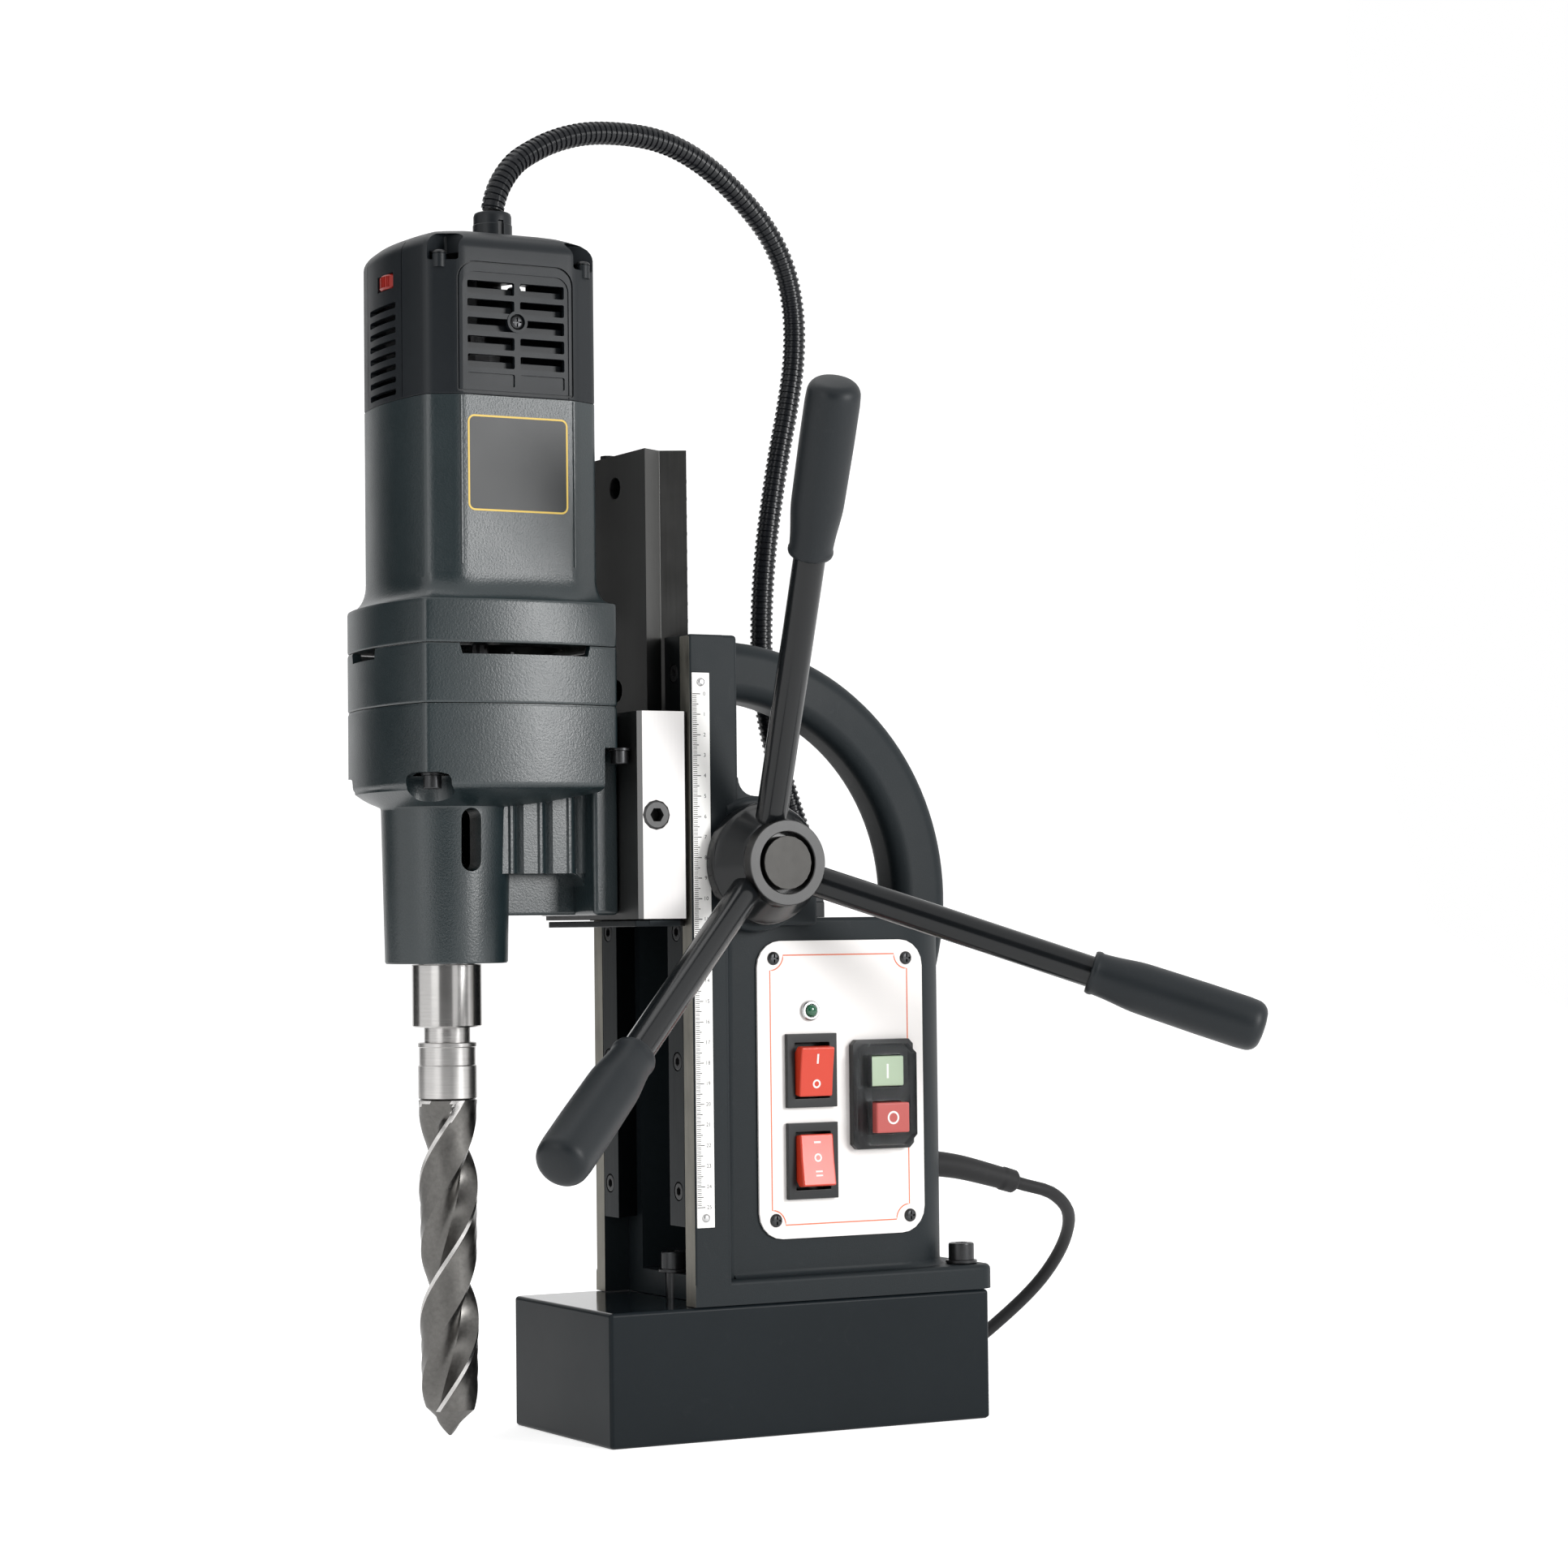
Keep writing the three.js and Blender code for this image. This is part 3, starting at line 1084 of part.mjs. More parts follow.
function addDrillSwitch() {
  const seat = plateOuter + FIT;
  const front = seat + DRILL_SWITCH_BEZEL;
  const root = front - BUTTON_ROOT;
  const halfY = DRILL_SWITCH_WIDTH / 2;
  const halfZ = DRILL_SWITCH_HEIGHT / 2;
  const inset = DRILL_SWITCH_OVERLAP;
  const bezel = prismX(bevelledRectangle(drillSwitchY - halfY, drillSwitchY + halfY, drillSwitchZ - halfZ,
    drillSwitchZ + halfZ, GUARD_CORNER / 2, GUARD_CORNER / 2), seat, front);
  const body = box(front - DRILL_SWITCH_BODY_DEPTH, front - DRILL_SWITCH_BEZEL / 2, drillSwitchY - halfY + inset,
    drillSwitchY + halfY - inset, drillSwitchZ - halfZ + inset, drillSwitchZ + halfZ - inset);
  const wells = [1, -1].map((side) => buttonBox(side, BUTTON_SIDE_GAP, root - BUTTON_TRAVEL - FIT, front + OVERRUN));
  addMesh(stand, "drill_switch_body", cutBy(bezel.add(body), wells), 0x2b2c2f, 0.5, 0);
  addMesh(stand, "start_button", buttonBox(1, 0, root, front + START_PROUD), 0x9cb58f, 0.4, 0);
  addMesh(stand, "stop_button", buttonBox(-1, 0, root, front + STOP_PROUD), 0xc4433a, 0.4, 0);
  const guardSeat = front + FIT;
  const trim = GUARD_MARGIN;
  const shell = prismX(bevelledRectangle(drillSwitchY - halfY + trim, drillSwitchY + halfY - trim,
    drillSwitchZ - halfZ + trim, drillSwitchZ + halfZ - trim, GUARD_CORNER, GUARD_CORNER), guardSeat,
    guardSeat + GUARD_THICKNESS);
  const windows = [1, -1].map((side) => buttonBox(side, GUARD_WINDOW_GAP, guardSeat - OVERRUN,
    guardSeat + GUARD_THICKNESS + OVERRUN));
  addMesh(stand, "drill_switch_guard", cutBy(shell, windows), 0xc8cdd0, 0.15, 0);
}

function addBoard() {
  const wall = -boxHalf + BOX_WALL + FIT;
  const inner = wall + BOARD_POST_LENGTH;
  const y0 = BOARD_Y - BOARD_LENGTH / 2;
  const y1 = BOARD_Y + BOARD_LENGTH / 2;
  const z1 = BOARD_BOTTOM + BOARD_HEIGHT;
  const plate = box(inner, inner + BOARD_THICKNESS, y0, y1, BOARD_BOTTOM, z1);
  const posts = [];
  [y0 + BOARD_POST_INSET, y1 - BOARD_POST_INSET].forEach((y) => {
    [BOARD_BOTTOM + BOARD_POST_INSET, z1 - BOARD_POST_INSET].forEach((z) => {
      posts.push(rodX(y, z, wall, inner + BOARD_THICKNESS / 2, BOARD_POST_RADIUS, 8));
    });
  });
  addMesh(stand, "circuit_board", joined([plate, ...posts]), 0x2c5a34, 0.6, 0.1);
}

// Slide, in a frame whose height starts at the bar's bottom

function barOutline() {
  const wide = BAR_WIDTH / 2;
  const waist = BAR_WAIST / 2;
  return [[-wide, barFrontY], [wide, barFrontY], [waist, barWaistY], [wide, barRearY], [-wide, barRearY],
    [-waist, barWaistY]];
}

function addSlideBar() {
  const bar = prismZ(barOutline(), 0, BAR_LENGTH);
  const screwY = barWaistY - STOP_SCREW_FORE;
  const cuts = BAR_HOLE_HEIGHTS.map((height) => rodY(0, height, barFrontY - OVERRUN, barFrontY + BAR_HOLE_DEPTH,
    BAR_HOLE_RADIUS, SMALL_STEPS));
  cuts.push(rodZ(STOP_SCREW_X, screwY, BAR_LENGTH - STOP_SCREW_DEPTH - FIT, BAR_LENGTH + OVERRUN,
    STOP_SCREW_SHANK + FIT, TINY_STEPS));
  addMesh(slide, "slide_bar", cutBy(bar, cuts), 0x3b3e42, 0.35, 0.9);
}

function addRack() {
  const pitch = Math.PI * FEED_MODULE;
  const slope = Math.tan(PRESSURE_ANGLE * Math.PI / 180);
  const tip = rackPitchY + ADDENDUM_SHARE * FEED_MODULE;
  const root = rackPitchY - DEDENDUM_SHARE * FEED_MODULE;
  const bottom = RACK_END_MARGIN;
  const top = BAR_LENGTH - RACK_END_MARGIN;
  const meshHeight = PINION_HEIGHT - BAR_BOTTOM; // a tooth's middle lies at the pinion's axis
  const half = TOOTH_SHARE * pitch / 2;
  const tipHalf = half - ADDENDUM_SHARE * FEED_MODULE * slope;
  const rootHalf = half + DEDENDUM_SHARE * FEED_MODULE * slope;
  const first = Math.ceil((bottom + rootHalf - meshHeight) / pitch);
  const last = Math.floor((top - rootHalf - meshHeight) / pitch);
  const outline = [[barRearY + FIT, bottom], [root, bottom]];
  for (let tooth = first; tooth <= last; tooth++) {
    const z = meshHeight + tooth * pitch;
    outline.push([root, z - rootHalf], [tip, z - tipHalf], [tip, z + tipHalf], [root, z + rootHalf]);
  }
  outline.push([root, top], [barRearY + FIT, top]);
  addMesh(slide, "feed_rack", prismX(outline, -RACK_WIDTH / 2, RACK_WIDTH / 2), 0x4a4d52, 0.4, 0.9);
}

function addSlideEnds() {
  const half = BLOCK_WIDTH / 2;
  const outline = bevelledRectangle(-half, half, blockFrontY, blockRearY, STOP_PLATE_CORNER, STOP_PLATE_CORNER);
  addMesh(slide, "stop_plate", prismZ(outline, -FIT - STOP_PLATE_THICKNESS, -FIT), 0x2a2c2f, 0.4, 0.8);
  const seat = BAR_LENGTH + FIT;
  const profile = [[0, BAR_LENGTH - STOP_SCREW_DEPTH], [STOP_SCREW_SHANK, BAR_LENGTH - STOP_SCREW_DEPTH],
    [STOP_SCREW_SHANK, seat], [STOP_SCREW_RADIUS, seat], [STOP_SCREW_RADIUS, seat + STOP_SCREW_HEAD],
    [0, seat + STOP_SCREW_HEAD]];
  const screw = turnedZ(STOP_SCREW_X, barWaistY - STOP_SCREW_FORE, profile, TINY_STEPS);
  addMesh(slide, "slide_stop_screw", screw, 0x1a1a1b, 0.4, 0.8);
}

// Capstan, in a frame on the pinion's axis

function addPinionShaft() {
  const half = FEED_WIDTH / 2;
  const gap = Math.PI + Math.PI / FEED_TEETH; // a gap's middle faces the rack
  const teeth = prismX(gearOutline(FEED_TEETH, FEED_MODULE, gap), -half, half);
  const discStart = SHAFT_OUTER_END - SHAFT_DISC_LENGTH;
  const profile = [[0, SHAFT_INNER_END], [SHAFT_RADIUS, SHAFT_INNER_END], [SHAFT_RADIUS, discStart],
    [SHAFT_DISC_RADIUS, discStart], [SHAFT_DISC_RADIUS, SHAFT_OUTER_END], [0, SHAFT_OUTER_END]];
  addMesh(capstan, "pinion_shaft", turnedX(0, 0, profile, ROUND_STEPS).add(teeth), 0x8b8d90, 0.3, 1);
}

function addBushes() {
  const outer = BOSS_WIDTH / 2;
  [["outer_bush", outer - BUSH_LENGTH, outer], ["inner_bush", -outer, -outer + BUSH_LENGTH]].forEach(([name, x0, x1]) => {
    const ring = rodX(pinionY, PINION_HEIGHT, x0, x1, BUSH_RADIUS, ROUND_STEPS);
    const bore = rodX(pinionY, PINION_HEIGHT, x0 - OVERRUN, x1 + OVERRUN, SHAFT_RADIUS + FIT, ROUND_STEPS);
    addMesh(stand, name, ring.subtract(bore), 0xb08d4a, 0.4, 0.9);
  });
}

// A group whose Z axis runs along one spoke, from the point where the spokes' axes meet.
function spokeFrame(index) {
  const around = (SPOKE_FIRST_ANGLE + index * 360 / SPOKE_COUNT) * Math.PI / 180;
  const tilt = SPOKE_TILT * Math.PI / 180;
  const along = new THREE.Vector3(Math.sin(tilt), Math.cos(tilt) * Math.sin(around), Math.cos(tilt) * Math.cos(around));
  const frame = new THREE.Group();
  frame.position.x = spokeMeetX;
  frame.quaternion.setFromUnitVectors(new THREE.Vector3(0, 0, 1), along);
  return frame;
}

function hubHole(frame) {
  const profile = [[0, SPOKE_START - FIT], [SPOKE_THREAD_RADIUS + FIT, SPOKE_START - FIT],
    [SPOKE_THREAD_RADIUS + FIT, SPOKE_SHOULDER - FIT], [SPOKE_RADIUS + FIT, SPOKE_SHOULDER - FIT],
    [SPOKE_RADIUS + FIT, spokeJunction / 2], [0, spokeJunction / 2]];
  const geometry = turnedGeometry(profile, SMALL_STEPS);
  frame.updateMatrix();
  geometry.applyMatrix4(frame.matrix);
  return closedSolid(geometry);
}

function addHub(frames) {
  const start = BOSS_WIDTH / 2 + HUB_RUNNING;
  const baseEnd = start + HUB_BASE_LENGTH;
  const ringStart = ringFaceX - HUB_RING_LENGTH;
  const profile = [[0, start], [HUB_BASE_RADIUS, start], [HUB_BASE_RADIUS, baseEnd], [HUB_RING_RADIUS, ringStart],
    [HUB_RING_RADIUS, ringFaceX], [0, ringFaceX]];
  const bore = rodX(0, 0, start - OVERRUN, ringFaceX + OVERRUN, SHAFT_RADIUS + FIT, ROUND_STEPS);
  const groove = rodX(0, 0, ringFaceX - HUB_GROOVE_DEPTH, ringFaceX + OVERRUN, HUB_GROOVE_RADIUS, ROUND_STEPS);
  const hub = cutBy(turnedX(0, 0, profile, ROUND_STEPS), [bore, groove, ...frames.map(hubHole)]);
  addMesh(capstan, "capstan_hub", hub, 0x97999c, 0.3, 1);
}

function gripProfile() {
  const flareEnd = spokeJunction + GRIP_FLARE;
  const round = SPOKE_TIP - GRIP_ROUND;
  return [[0, spokeJunction], [GRIP_LIP_RADIUS, spokeJunction], [GRIP_LIP_RADIUS, spokeJunction + GRIP_LIP_LENGTH],
    [GRIP_ROOT_RADIUS, spokeJunction + GRIP_LIP_LENGTH], [GRIP_TIP_RADIUS * GRIP_FLARE_SHARE, flareEnd], [GRIP_TIP_RADIUS, round],
    [GRIP_TIP_RADIUS - GRIP_ROUND * GRIP_ROUND_SHARES[0], SPOKE_TIP - GRIP_ROUND * GRIP_ROUND_SHARES[1]],
    [GRIP_TIP_RADIUS - GRIP_ROUND, SPOKE_TIP], [0, SPOKE_TIP]];
}

function addSpokes() {
  const frames = [];
  for (let index = 0; index < SPOKE_COUNT; index++) frames.push(spokeFrame(index));
  addHub(frames);
  const rodProfileHere = [[0, SPOKE_START], [SPOKE_THREAD_RADIUS, SPOKE_START], [SPOKE_THREAD_RADIUS, SPOKE_SHOULDER],
    [SPOKE_RADIUS, SPOKE_SHOULDER], [SPOKE_RADIUS, spokeEndInGrip], [0, spokeEndInGrip]];
  const bore = rodZ(0, 0, spokeJunction - OVERRUN, spokeEndInGrip + FIT, SPOKE_RADIUS + FIT, SMALL_STEPS);
  frames.forEach((frame, index) => {
    capstan.add(frame);
    addMesh(frame, `spoke_${index + 1}`, turnedZ(0, 0, rodProfileHere, SMALL_STEPS), 0x121314, 0.25, 0.7);
    addMesh(frame, `grip_${index + 1}`, turnedZ(0, 0, gripProfile(), SMALL_STEPS).subtract(bore), 0x151617, 0.6, 0);
  });
}

// Drill head, in a frame whose height starts at the clamp block's bottom

function blockGrooveX(y) {
  return BAR_WAIST / 2 + (barWaistY - y) * barFrontSlope + BLOCK_RUNNING;
}

function lockY() {
  return blockRearY - LOCK_FORE;
}

function addClampBlock() {
  const half = BLOCK_WIDTH / 2;
  const block = prismZ(bevelledRectangle(-half, half, blockFrontY, blockRearY, BLOCK_CHAMFER, BLOCK_CHAMFER), 0,
    BLOCK_HEIGHT);
  const floor = barFrontY - BLOCK_RUNNING;
  const dovetail = prismZ([[-blockGrooveX(barWaistY), barWaistY], [-blockGrooveX(floor), floor],
    [blockGrooveX(floor), floor], [blockGrooveX(barWaistY), barWaistY]], -OVERRUN, BLOCK_HEIGHT + OVERRUN);
  const mouthHalf = BAR_WAIST / 2 + 2 * BLOCK_RUNNING;
  const mouth = box(-mouthHalf, mouthHalf, barWaistY - BLOCK_RUNNING, blockRearY + OVERRUN, -OVERRUN,
    BLOCK_HEIGHT + OVERRUN);
  const groove = dovetail.add(mouth);
  const seat = half - LOCK_HEAD_LENGTH + LOCK_PROUD - FIT;
  const lockHoles = [rodX(lockY(), LOCK_HEIGHT, seat, half + OVERRUN, LOCK_HEAD_RADIUS + FIT, SMALL_STEPS),
    rodX(lockY(), LOCK_HEIGHT, LOCK_SHANK_END - FIT, half, LOCK_SHANK_RADIUS + FIT, SMALL_STEPS)];
  addMesh(head, "clamp_block", cutBy(block, [groove, ...lockHoles]), 0xa9abae, 0.3, 1);
}

function addLockScrew() {
  const end = BLOCK_WIDTH / 2 + LOCK_PROUD;
  const shoulder = end - LOCK_HEAD_LENGTH;
  const profile = [[0, LOCK_SHANK_END], [LOCK_SHANK_RADIUS, LOCK_SHANK_END], [LOCK_SHANK_RADIUS, shoulder],
    [LOCK_HEAD_RADIUS, shoulder], [LOCK_HEAD_RADIUS, end], [0, end]];
  const socket = rodX(0, 0, end - LOCK_SOCKET_DEPTH, end + OVERRUN, LOCK_SOCKET_RADIUS, 6);
  const screw = addMesh(head, "lock_screw", turnedX(0, 0, profile, SMALL_STEPS).subtract(socket), 0x77797c, 0.35, 1);
  screw.position.set(0, lockY(), LOCK_HEIGHT);
}

// The rounded square of the gear case: four bowed sides between four corners, shrunk by an inset.
function caseOutline(inset, bulge) {
  const corners = [[1, -1], [1, 1], [-1, 1], [-1, -1]];
  const halfX = CASE_HALF_X - inset;
  const halfY = CASE_HALF_Y - inset;
  const points = [];
  corners.forEach(([sx, sy], k) => {
    const [nx, ny] = corners[(k + 1) % 4];
    for (let i = 0; i < CASE_SIDE_STEPS; i++) {
      const t = i / CASE_SIDE_STEPS;
      const bow = bulge * 4 * t * (1 - t);
      const outX = (sx + nx) / 2 * bow;
      const outY = (sy + ny) / 2 * bow;
      points.push([halfX * (sx + (nx - sx) * t) + outX, motorY + halfY * (sy + (ny - sy) * t) + outY]);
    }
  });
  return points;
}

// Points on a circle about the spindle, one for each point of the case's outline.
function neckRing(radius, z) {
  return caseOutline(0, CASE_BULGE).map(([x, y]) => {
    const angle = Math.atan2(y - motorY, x);
    return [radius * Math.cos(angle), spindleY + radius * Math.sin(angle), z];
  });
}

function caseShell() {
  const outer = caseOutline(0, CASE_BULGE);
  const shell = loft([neckRing(NECK_BOTTOM_RADIUS, NECK_BOTTOM), neckRing(NECK_TOP_RADIUS, NECK_TOP),
    level(outer, CASE_BAND_BOTTOM), level(outer, CASE_TOP)]);
  const rear = motorY + CASE_HALF_Y;
  const step = box(-CASE_HALF_X - CASE_BULGE, CASE_HALF_X + CASE_BULGE, rear + CASE_BULGE - CASE_REAR_STEP_DEPTH,
    rear + CASE_BULGE + OVERRUN, CASE_BAND_BOTTOM - OVERRUN, CASE_REAR_STEP_HEIGHT);
  return shell.subtract(step);
}

function caseHollow() {
  const inner = caseOutline(CASE_WALL, CASE_BULGE);
  const full = prismZ(inner, CASE_FLOOR, CASE_TOP + OVERRUN);
  const rear = motorY + CASE_HALF_Y + CASE_BULGE - CASE_REAR_STEP_DEPTH - CASE_WALL;
  const kept = box(-CASE_HALF_X, CASE_HALF_X, rear, rear + CASE_HALF_Y, CASE_FLOOR - OVERRUN,
    CASE_REAR_STEP_HEIGHT + CASE_WALL);
  return full.subtract(kept);
}

function addGearHousing() {
  const flangeRear = blockFrontY - FIT;
  const flangeFront = flangeRear - FLANGE_DEPTH;
  const half = FLANGE_WIDTH / 2;
  const flange = box(-half, half, flangeFront, flangeRear, FLANGE_BOTTOM, BLOCK_HEIGHT);
  const bracket = box(-BRACKET_WIDTH / 2, BRACKET_WIDTH / 2, spindleY, flangeFront + FIT, BRACKET_BOTTOM, BRACKET_TOP);
  const web = box(-WEB_WIDTH / 2, WEB_WIDTH / 2, spindleY, flangeFront + FIT, WEB_BOTTOM, BRACKET_TOP);
  const bore = rodZ(0, spindleY, NECK_BOTTOM - OVERRUN, CASE_FLOOR + OVERRUN, NECK_BORE_RADIUS, ROUND_STEPS);
  const bearingTop = NECK_BOTTOM + LOWER_BEARING_LENGTH + 2 * FIT;
  const bearingBore = rodZ(0, spindleY, NECK_BOTTOM - OVERRUN, bearingTop, LOWER_BEARING_RADIUS + FIT, ROUND_STEPS);
  const slotHalf = SLOT_WIDTH / 2;
  const slot = prismX(roundedRectangle(spindleY - slotHalf, spindleY + slotHalf, SLOT_BOTTOM, SLOT_TOP, slotHalf, 3),
    0, NECK_TOP_RADIUS + OVERRUN);
  const body = joined([caseShell(), flange, bracket, web]);
  addMesh(head, "gear_housing", cutBy(body, [caseHollow(), bore, bearingBore, slot]), 0x1d2a2b, 0.5, 0.35);
}

function ventCuts() {
  const z0 = coverTop - VENT_HEIGHT;
  const z1 = coverTop + OVERRUN;
  const side = VENT_SIDE_LENGTH / 2;
  const reach = CASE_HALF_X + CASE_BULGE + OVERRUN;
  const front = VENT_FRONT_LENGTH / 2;
  return [
    box(CASE_HALF_X - CASE_WALL, reach, motorY - side, motorY + side, z0, z1),
    box(-reach, -CASE_HALF_X + CASE_WALL, motorY - side, motorY + side, z0, z1),
    box(VENT_FRONT_X - front, VENT_FRONT_X + front, motorY - CASE_HALF_Y - CASE_BULGE - OVERRUN, motorY - CASE_HALF_Y
      + CASE_WALL, z0, z1),
  ];
}

function addCover() {
  const ring = prismZ(caseOutline(0, CASE_BULGE), coverBottom, coverTop);
  const spigot = prismZ(caseOutline(COVER_SPIGOT_INSET, CASE_BULGE), CASE_TOP + FIT, coverTop - CASE_WALL);
  const inner = caseOutline(CASE_WALL, CASE_BULGE);
  const room = prismZ(inner, partitionTop, coverTop + OVERRUN);
  const below = prismZ(inner, CASE_TOP - OVERRUN, partitionBottom);
  const shaftHole = rodZ(0, motorY, CASE_TOP, coverTop, ROTOR_SHAFT_RADIUS + FIT, SMALL_STEPS);
  const layHole = rodZ(layX, layY, CASE_TOP, coverTop, LAYSHAFT_RADIUS + FIT, SMALL_STEPS);
  const cover = cutBy(ring.add(spigot), [room, below, shaftHole, layHole, ...ventCuts()]);
  addMesh(head, "gear_case_cover", cover, 0x1d2a2b, 0.5, 0.35);
}

// The motor's barrel: flat sides with bevelled corners, bowed in front and behind.
function barrelOutline(inset) {
  const x = BARREL_HALF_X - inset;
  const y = BARREL_HALF_Y - inset;
  const flat = BARREL_HALF_Y - BARREL_BEVEL_Y;
  const shoulder = BARREL_HALF_X - BARREL_BEVEL_X;
  const bows = [-1, -0.5, 0, 0.5, 1];
  const front = bows.map((s) => [s * shoulder, -y - BARREL_FRONT_BULGE * (1 - s * s)]);
  const rear = bows.map((s) => [-s * shoulder, y + BARREL_FRONT_BULGE * (1 - s * s)]);
  return [...front, [x, -flat], [x, flat], ...rear, [-x, flat], [-x, -flat]].map(([u, v]) => [u, v + motorY]);
}

function scaledOutline(outline, share) {
  return outline.map(([x, y]) => [x * share, motorY + (y - motorY) * share]);
}

function addMotorHousing() {
  const outline = caseOutline(0, CASE_BULGE);
  const shoulderTop = motorBottom + SHOULDER_HEIGHT;
  const rings = [level(outline, motorBottom)];
  SHOULDER_SHARES.forEach(([rise, size]) => rings.push(level(scaledOutline(outline, size),
    shoulderTop + rise * SHOULDER_FALL)));
  const barrel = prismZ(barrelOutline(0), shoulderTop, motorTop);
  const spiderBottom = spiderTop - SPIDER_THICKNESS;
  const bore = rodZ(0, motorY, motorBottom - OVERRUN, spiderBottom, MOTOR_BORE_RADIUS, ROUND_STEPS);
  const rim = rodZ(0, motorY, spiderTop, motorTop + OVERRUN, MOTOR_BORE_RADIUS, ROUND_STEPS);
  const holes = [rodZ(0, motorY, spiderBottom - OVERRUN, motorTop, ROTOR_SHAFT_RADIUS + FIT, SMALL_STEPS)];
  for (let i = 0; i < SPIDER_VENTS; i++) {
    const angle = (i + 0.5) * 2 * Math.PI / SPIDER_VENTS;
    holes.push(rodZ(SPIDER_VENT_ORBIT * Math.cos(angle), motorY + SPIDER_VENT_ORBIT * Math.sin(angle),
      spiderBottom - OVERRUN, motorTop, SPIDER_VENT_RADIUS, 8));
  }
  addMesh(head, "motor_housing", cutBy(loft(rings).add(barrel), [bore, rim, ...holes]), 0x1d2a2b, 0.5, 0.35);
}

function capShell() {
  const edge = capBottom + CAP_EDGE_HEIGHT;
  const rings = [level(barrelOutline(0), capBottom)];
  CAP_ROOF_SHARES.forEach(([rise, size]) => rings.push(level(scaledOutline(barrelOutline(0), size),
    edge + rise * (capTop - edge))));
  const hollow = prismZ(barrelOutline(CAP_WALL), capBottom - OVERRUN, edge - CAP_WALL);
  return loft(rings).subtract(hollow);
}

function grilleCuts(side) {
  const y0 = motorY + GRILLE_AXIS_OFFSET - GRILLE_LENGTH / 2;
  const y1 = y0 + GRILLE_LENGTH;
  const z0 = capBottom + GRILLE_BOTTOM;
  const face = BARREL_HALF_X;
  const near = Math.min(side * (face - GRILLE_RECESS), side * (face + OVERRUN));
  const far = Math.max(side * (face - GRILLE_RECESS), side * (face + OVERRUN));
  const deep0 = Math.min(side * (face - CAP_WALL - OVERRUN), side * (face + OVERRUN));
  const deep1 = Math.max(side * (face - CAP_WALL - OVERRUN), side * (face + OVERRUN));
  const cuts = [box(near, far, y0, y1, z0, z0 + GRILLE_HEIGHT)];
  const pitch = (GRILLE_HEIGHT - GRILLE_MARGIN) / GRILLE_ROWS;
  const middle = (y0 + y1) / 2;
  for (let row = 0; row < GRILLE_ROWS; row++) {
    const bottom = z0 + GRILLE_MARGIN + row * pitch;
    const top = bottom + pitch * (1 - GRILLE_RIB_SHARE);
    cuts.push(box(deep0, deep1, y0 + GRILLE_MARGIN, middle - GRILLE_MIDDLE / 2, bottom, top));
    cuts.push(box(deep0, deep1, middle + GRILLE_MIDDLE / 2, y1 - GRILLE_MARGIN, bottom, top));
  }
  return cuts;
}

function frontSlotCuts() {
  const half = FRONT_SLOT_WIDTH / 2;
  const front = motorY - BARREL_HALF_Y - BARREL_FRONT_BULGE - OVERRUN;
  const inner = motorY - BARREL_HALF_Y + CAP_WALL + OVERRUN;
  const cuts = [];
  for (let row = 0; row < FRONT_SLOT_ROWS; row++) {
    const z = capBottom + FRONT_SLOT_BOTTOM + row * FRONT_SLOT_PITCH;
    cuts.push(box(FRONT_SLOT_X - half, FRONT_SLOT_X + half, front, inner, z, z + FRONT_SLOT_HEIGHT));
  }
  return cuts;
}

function dialY() {
  return motorY - BARREL_HALF_Y - BARREL_FRONT_BULGE + DIAL_RADIUS - DIAL_PROUD;
}

function addCap() {
  const z0 = capBottom + DIAL_HEIGHT - DIAL_THICKNESS / 2;
  const z1 = z0 + DIAL_THICKNESS;
  const half = DIAL_POCKET_WIDTH / 2;
  const pocketRear = dialY() + DIAL_RADIUS + FIT;
  const wall = DIAL_BLOCK_WALL;
  const front = motorY - BARREL_HALF_Y - FIT;
  const block = box(DIAL_X - DIAL_RADIUS - wall, DIAL_X + DIAL_RADIUS + wall, front, pocketRear + wall, z0 - wall,
    capBottom + CAP_EDGE_HEIGHT - CAP_WALL / 2);
  const pocket = rodZ(DIAL_X, dialY(), z0 - FIT, z1 + FIT, DIAL_RADIUS + FIT, ROUND_STEPS);
  const window = box(DIAL_X - half, DIAL_X + half, front - BARREL_FRONT_BULGE - OVERRUN, dialY(), z0 - FIT, z1 + FIT);
  const gland = rodZ(0, motorY + HEAD_GLAND_BACK, capBottom + CAP_EDGE_HEIGHT - CAP_WALL - OVERRUN, capTop + OVERRUN,
    GLAND_SPIGOT_RADIUS + FIT, SMALL_STEPS);
  const cuts = [...grilleCuts(1), ...grilleCuts(-1).slice(0, 1), ...frontSlotCuts(), pocket, window, gland];
  addMesh(head, "motor_cap", cutBy(capShell().add(block), cuts), 0x141516, 0.6, 0);
  const dial = addMesh(head, "speed_dial", rodZ(0, 0, 0, DIAL_THICKNESS, DIAL_RADIUS, ROUND_STEPS), 0x8a1d16, 0.5, 0);
  dial.position.set(DIAL_X, dialY(), z0);
}

// Spindle, drill and gear train

function angleTo(x0, y0, x1, y1) {
  return Math.atan2(y1 - y0, x1 - x0);
}

function drillShankTop() {
  return NECK_BOTTOM - FIT;
}

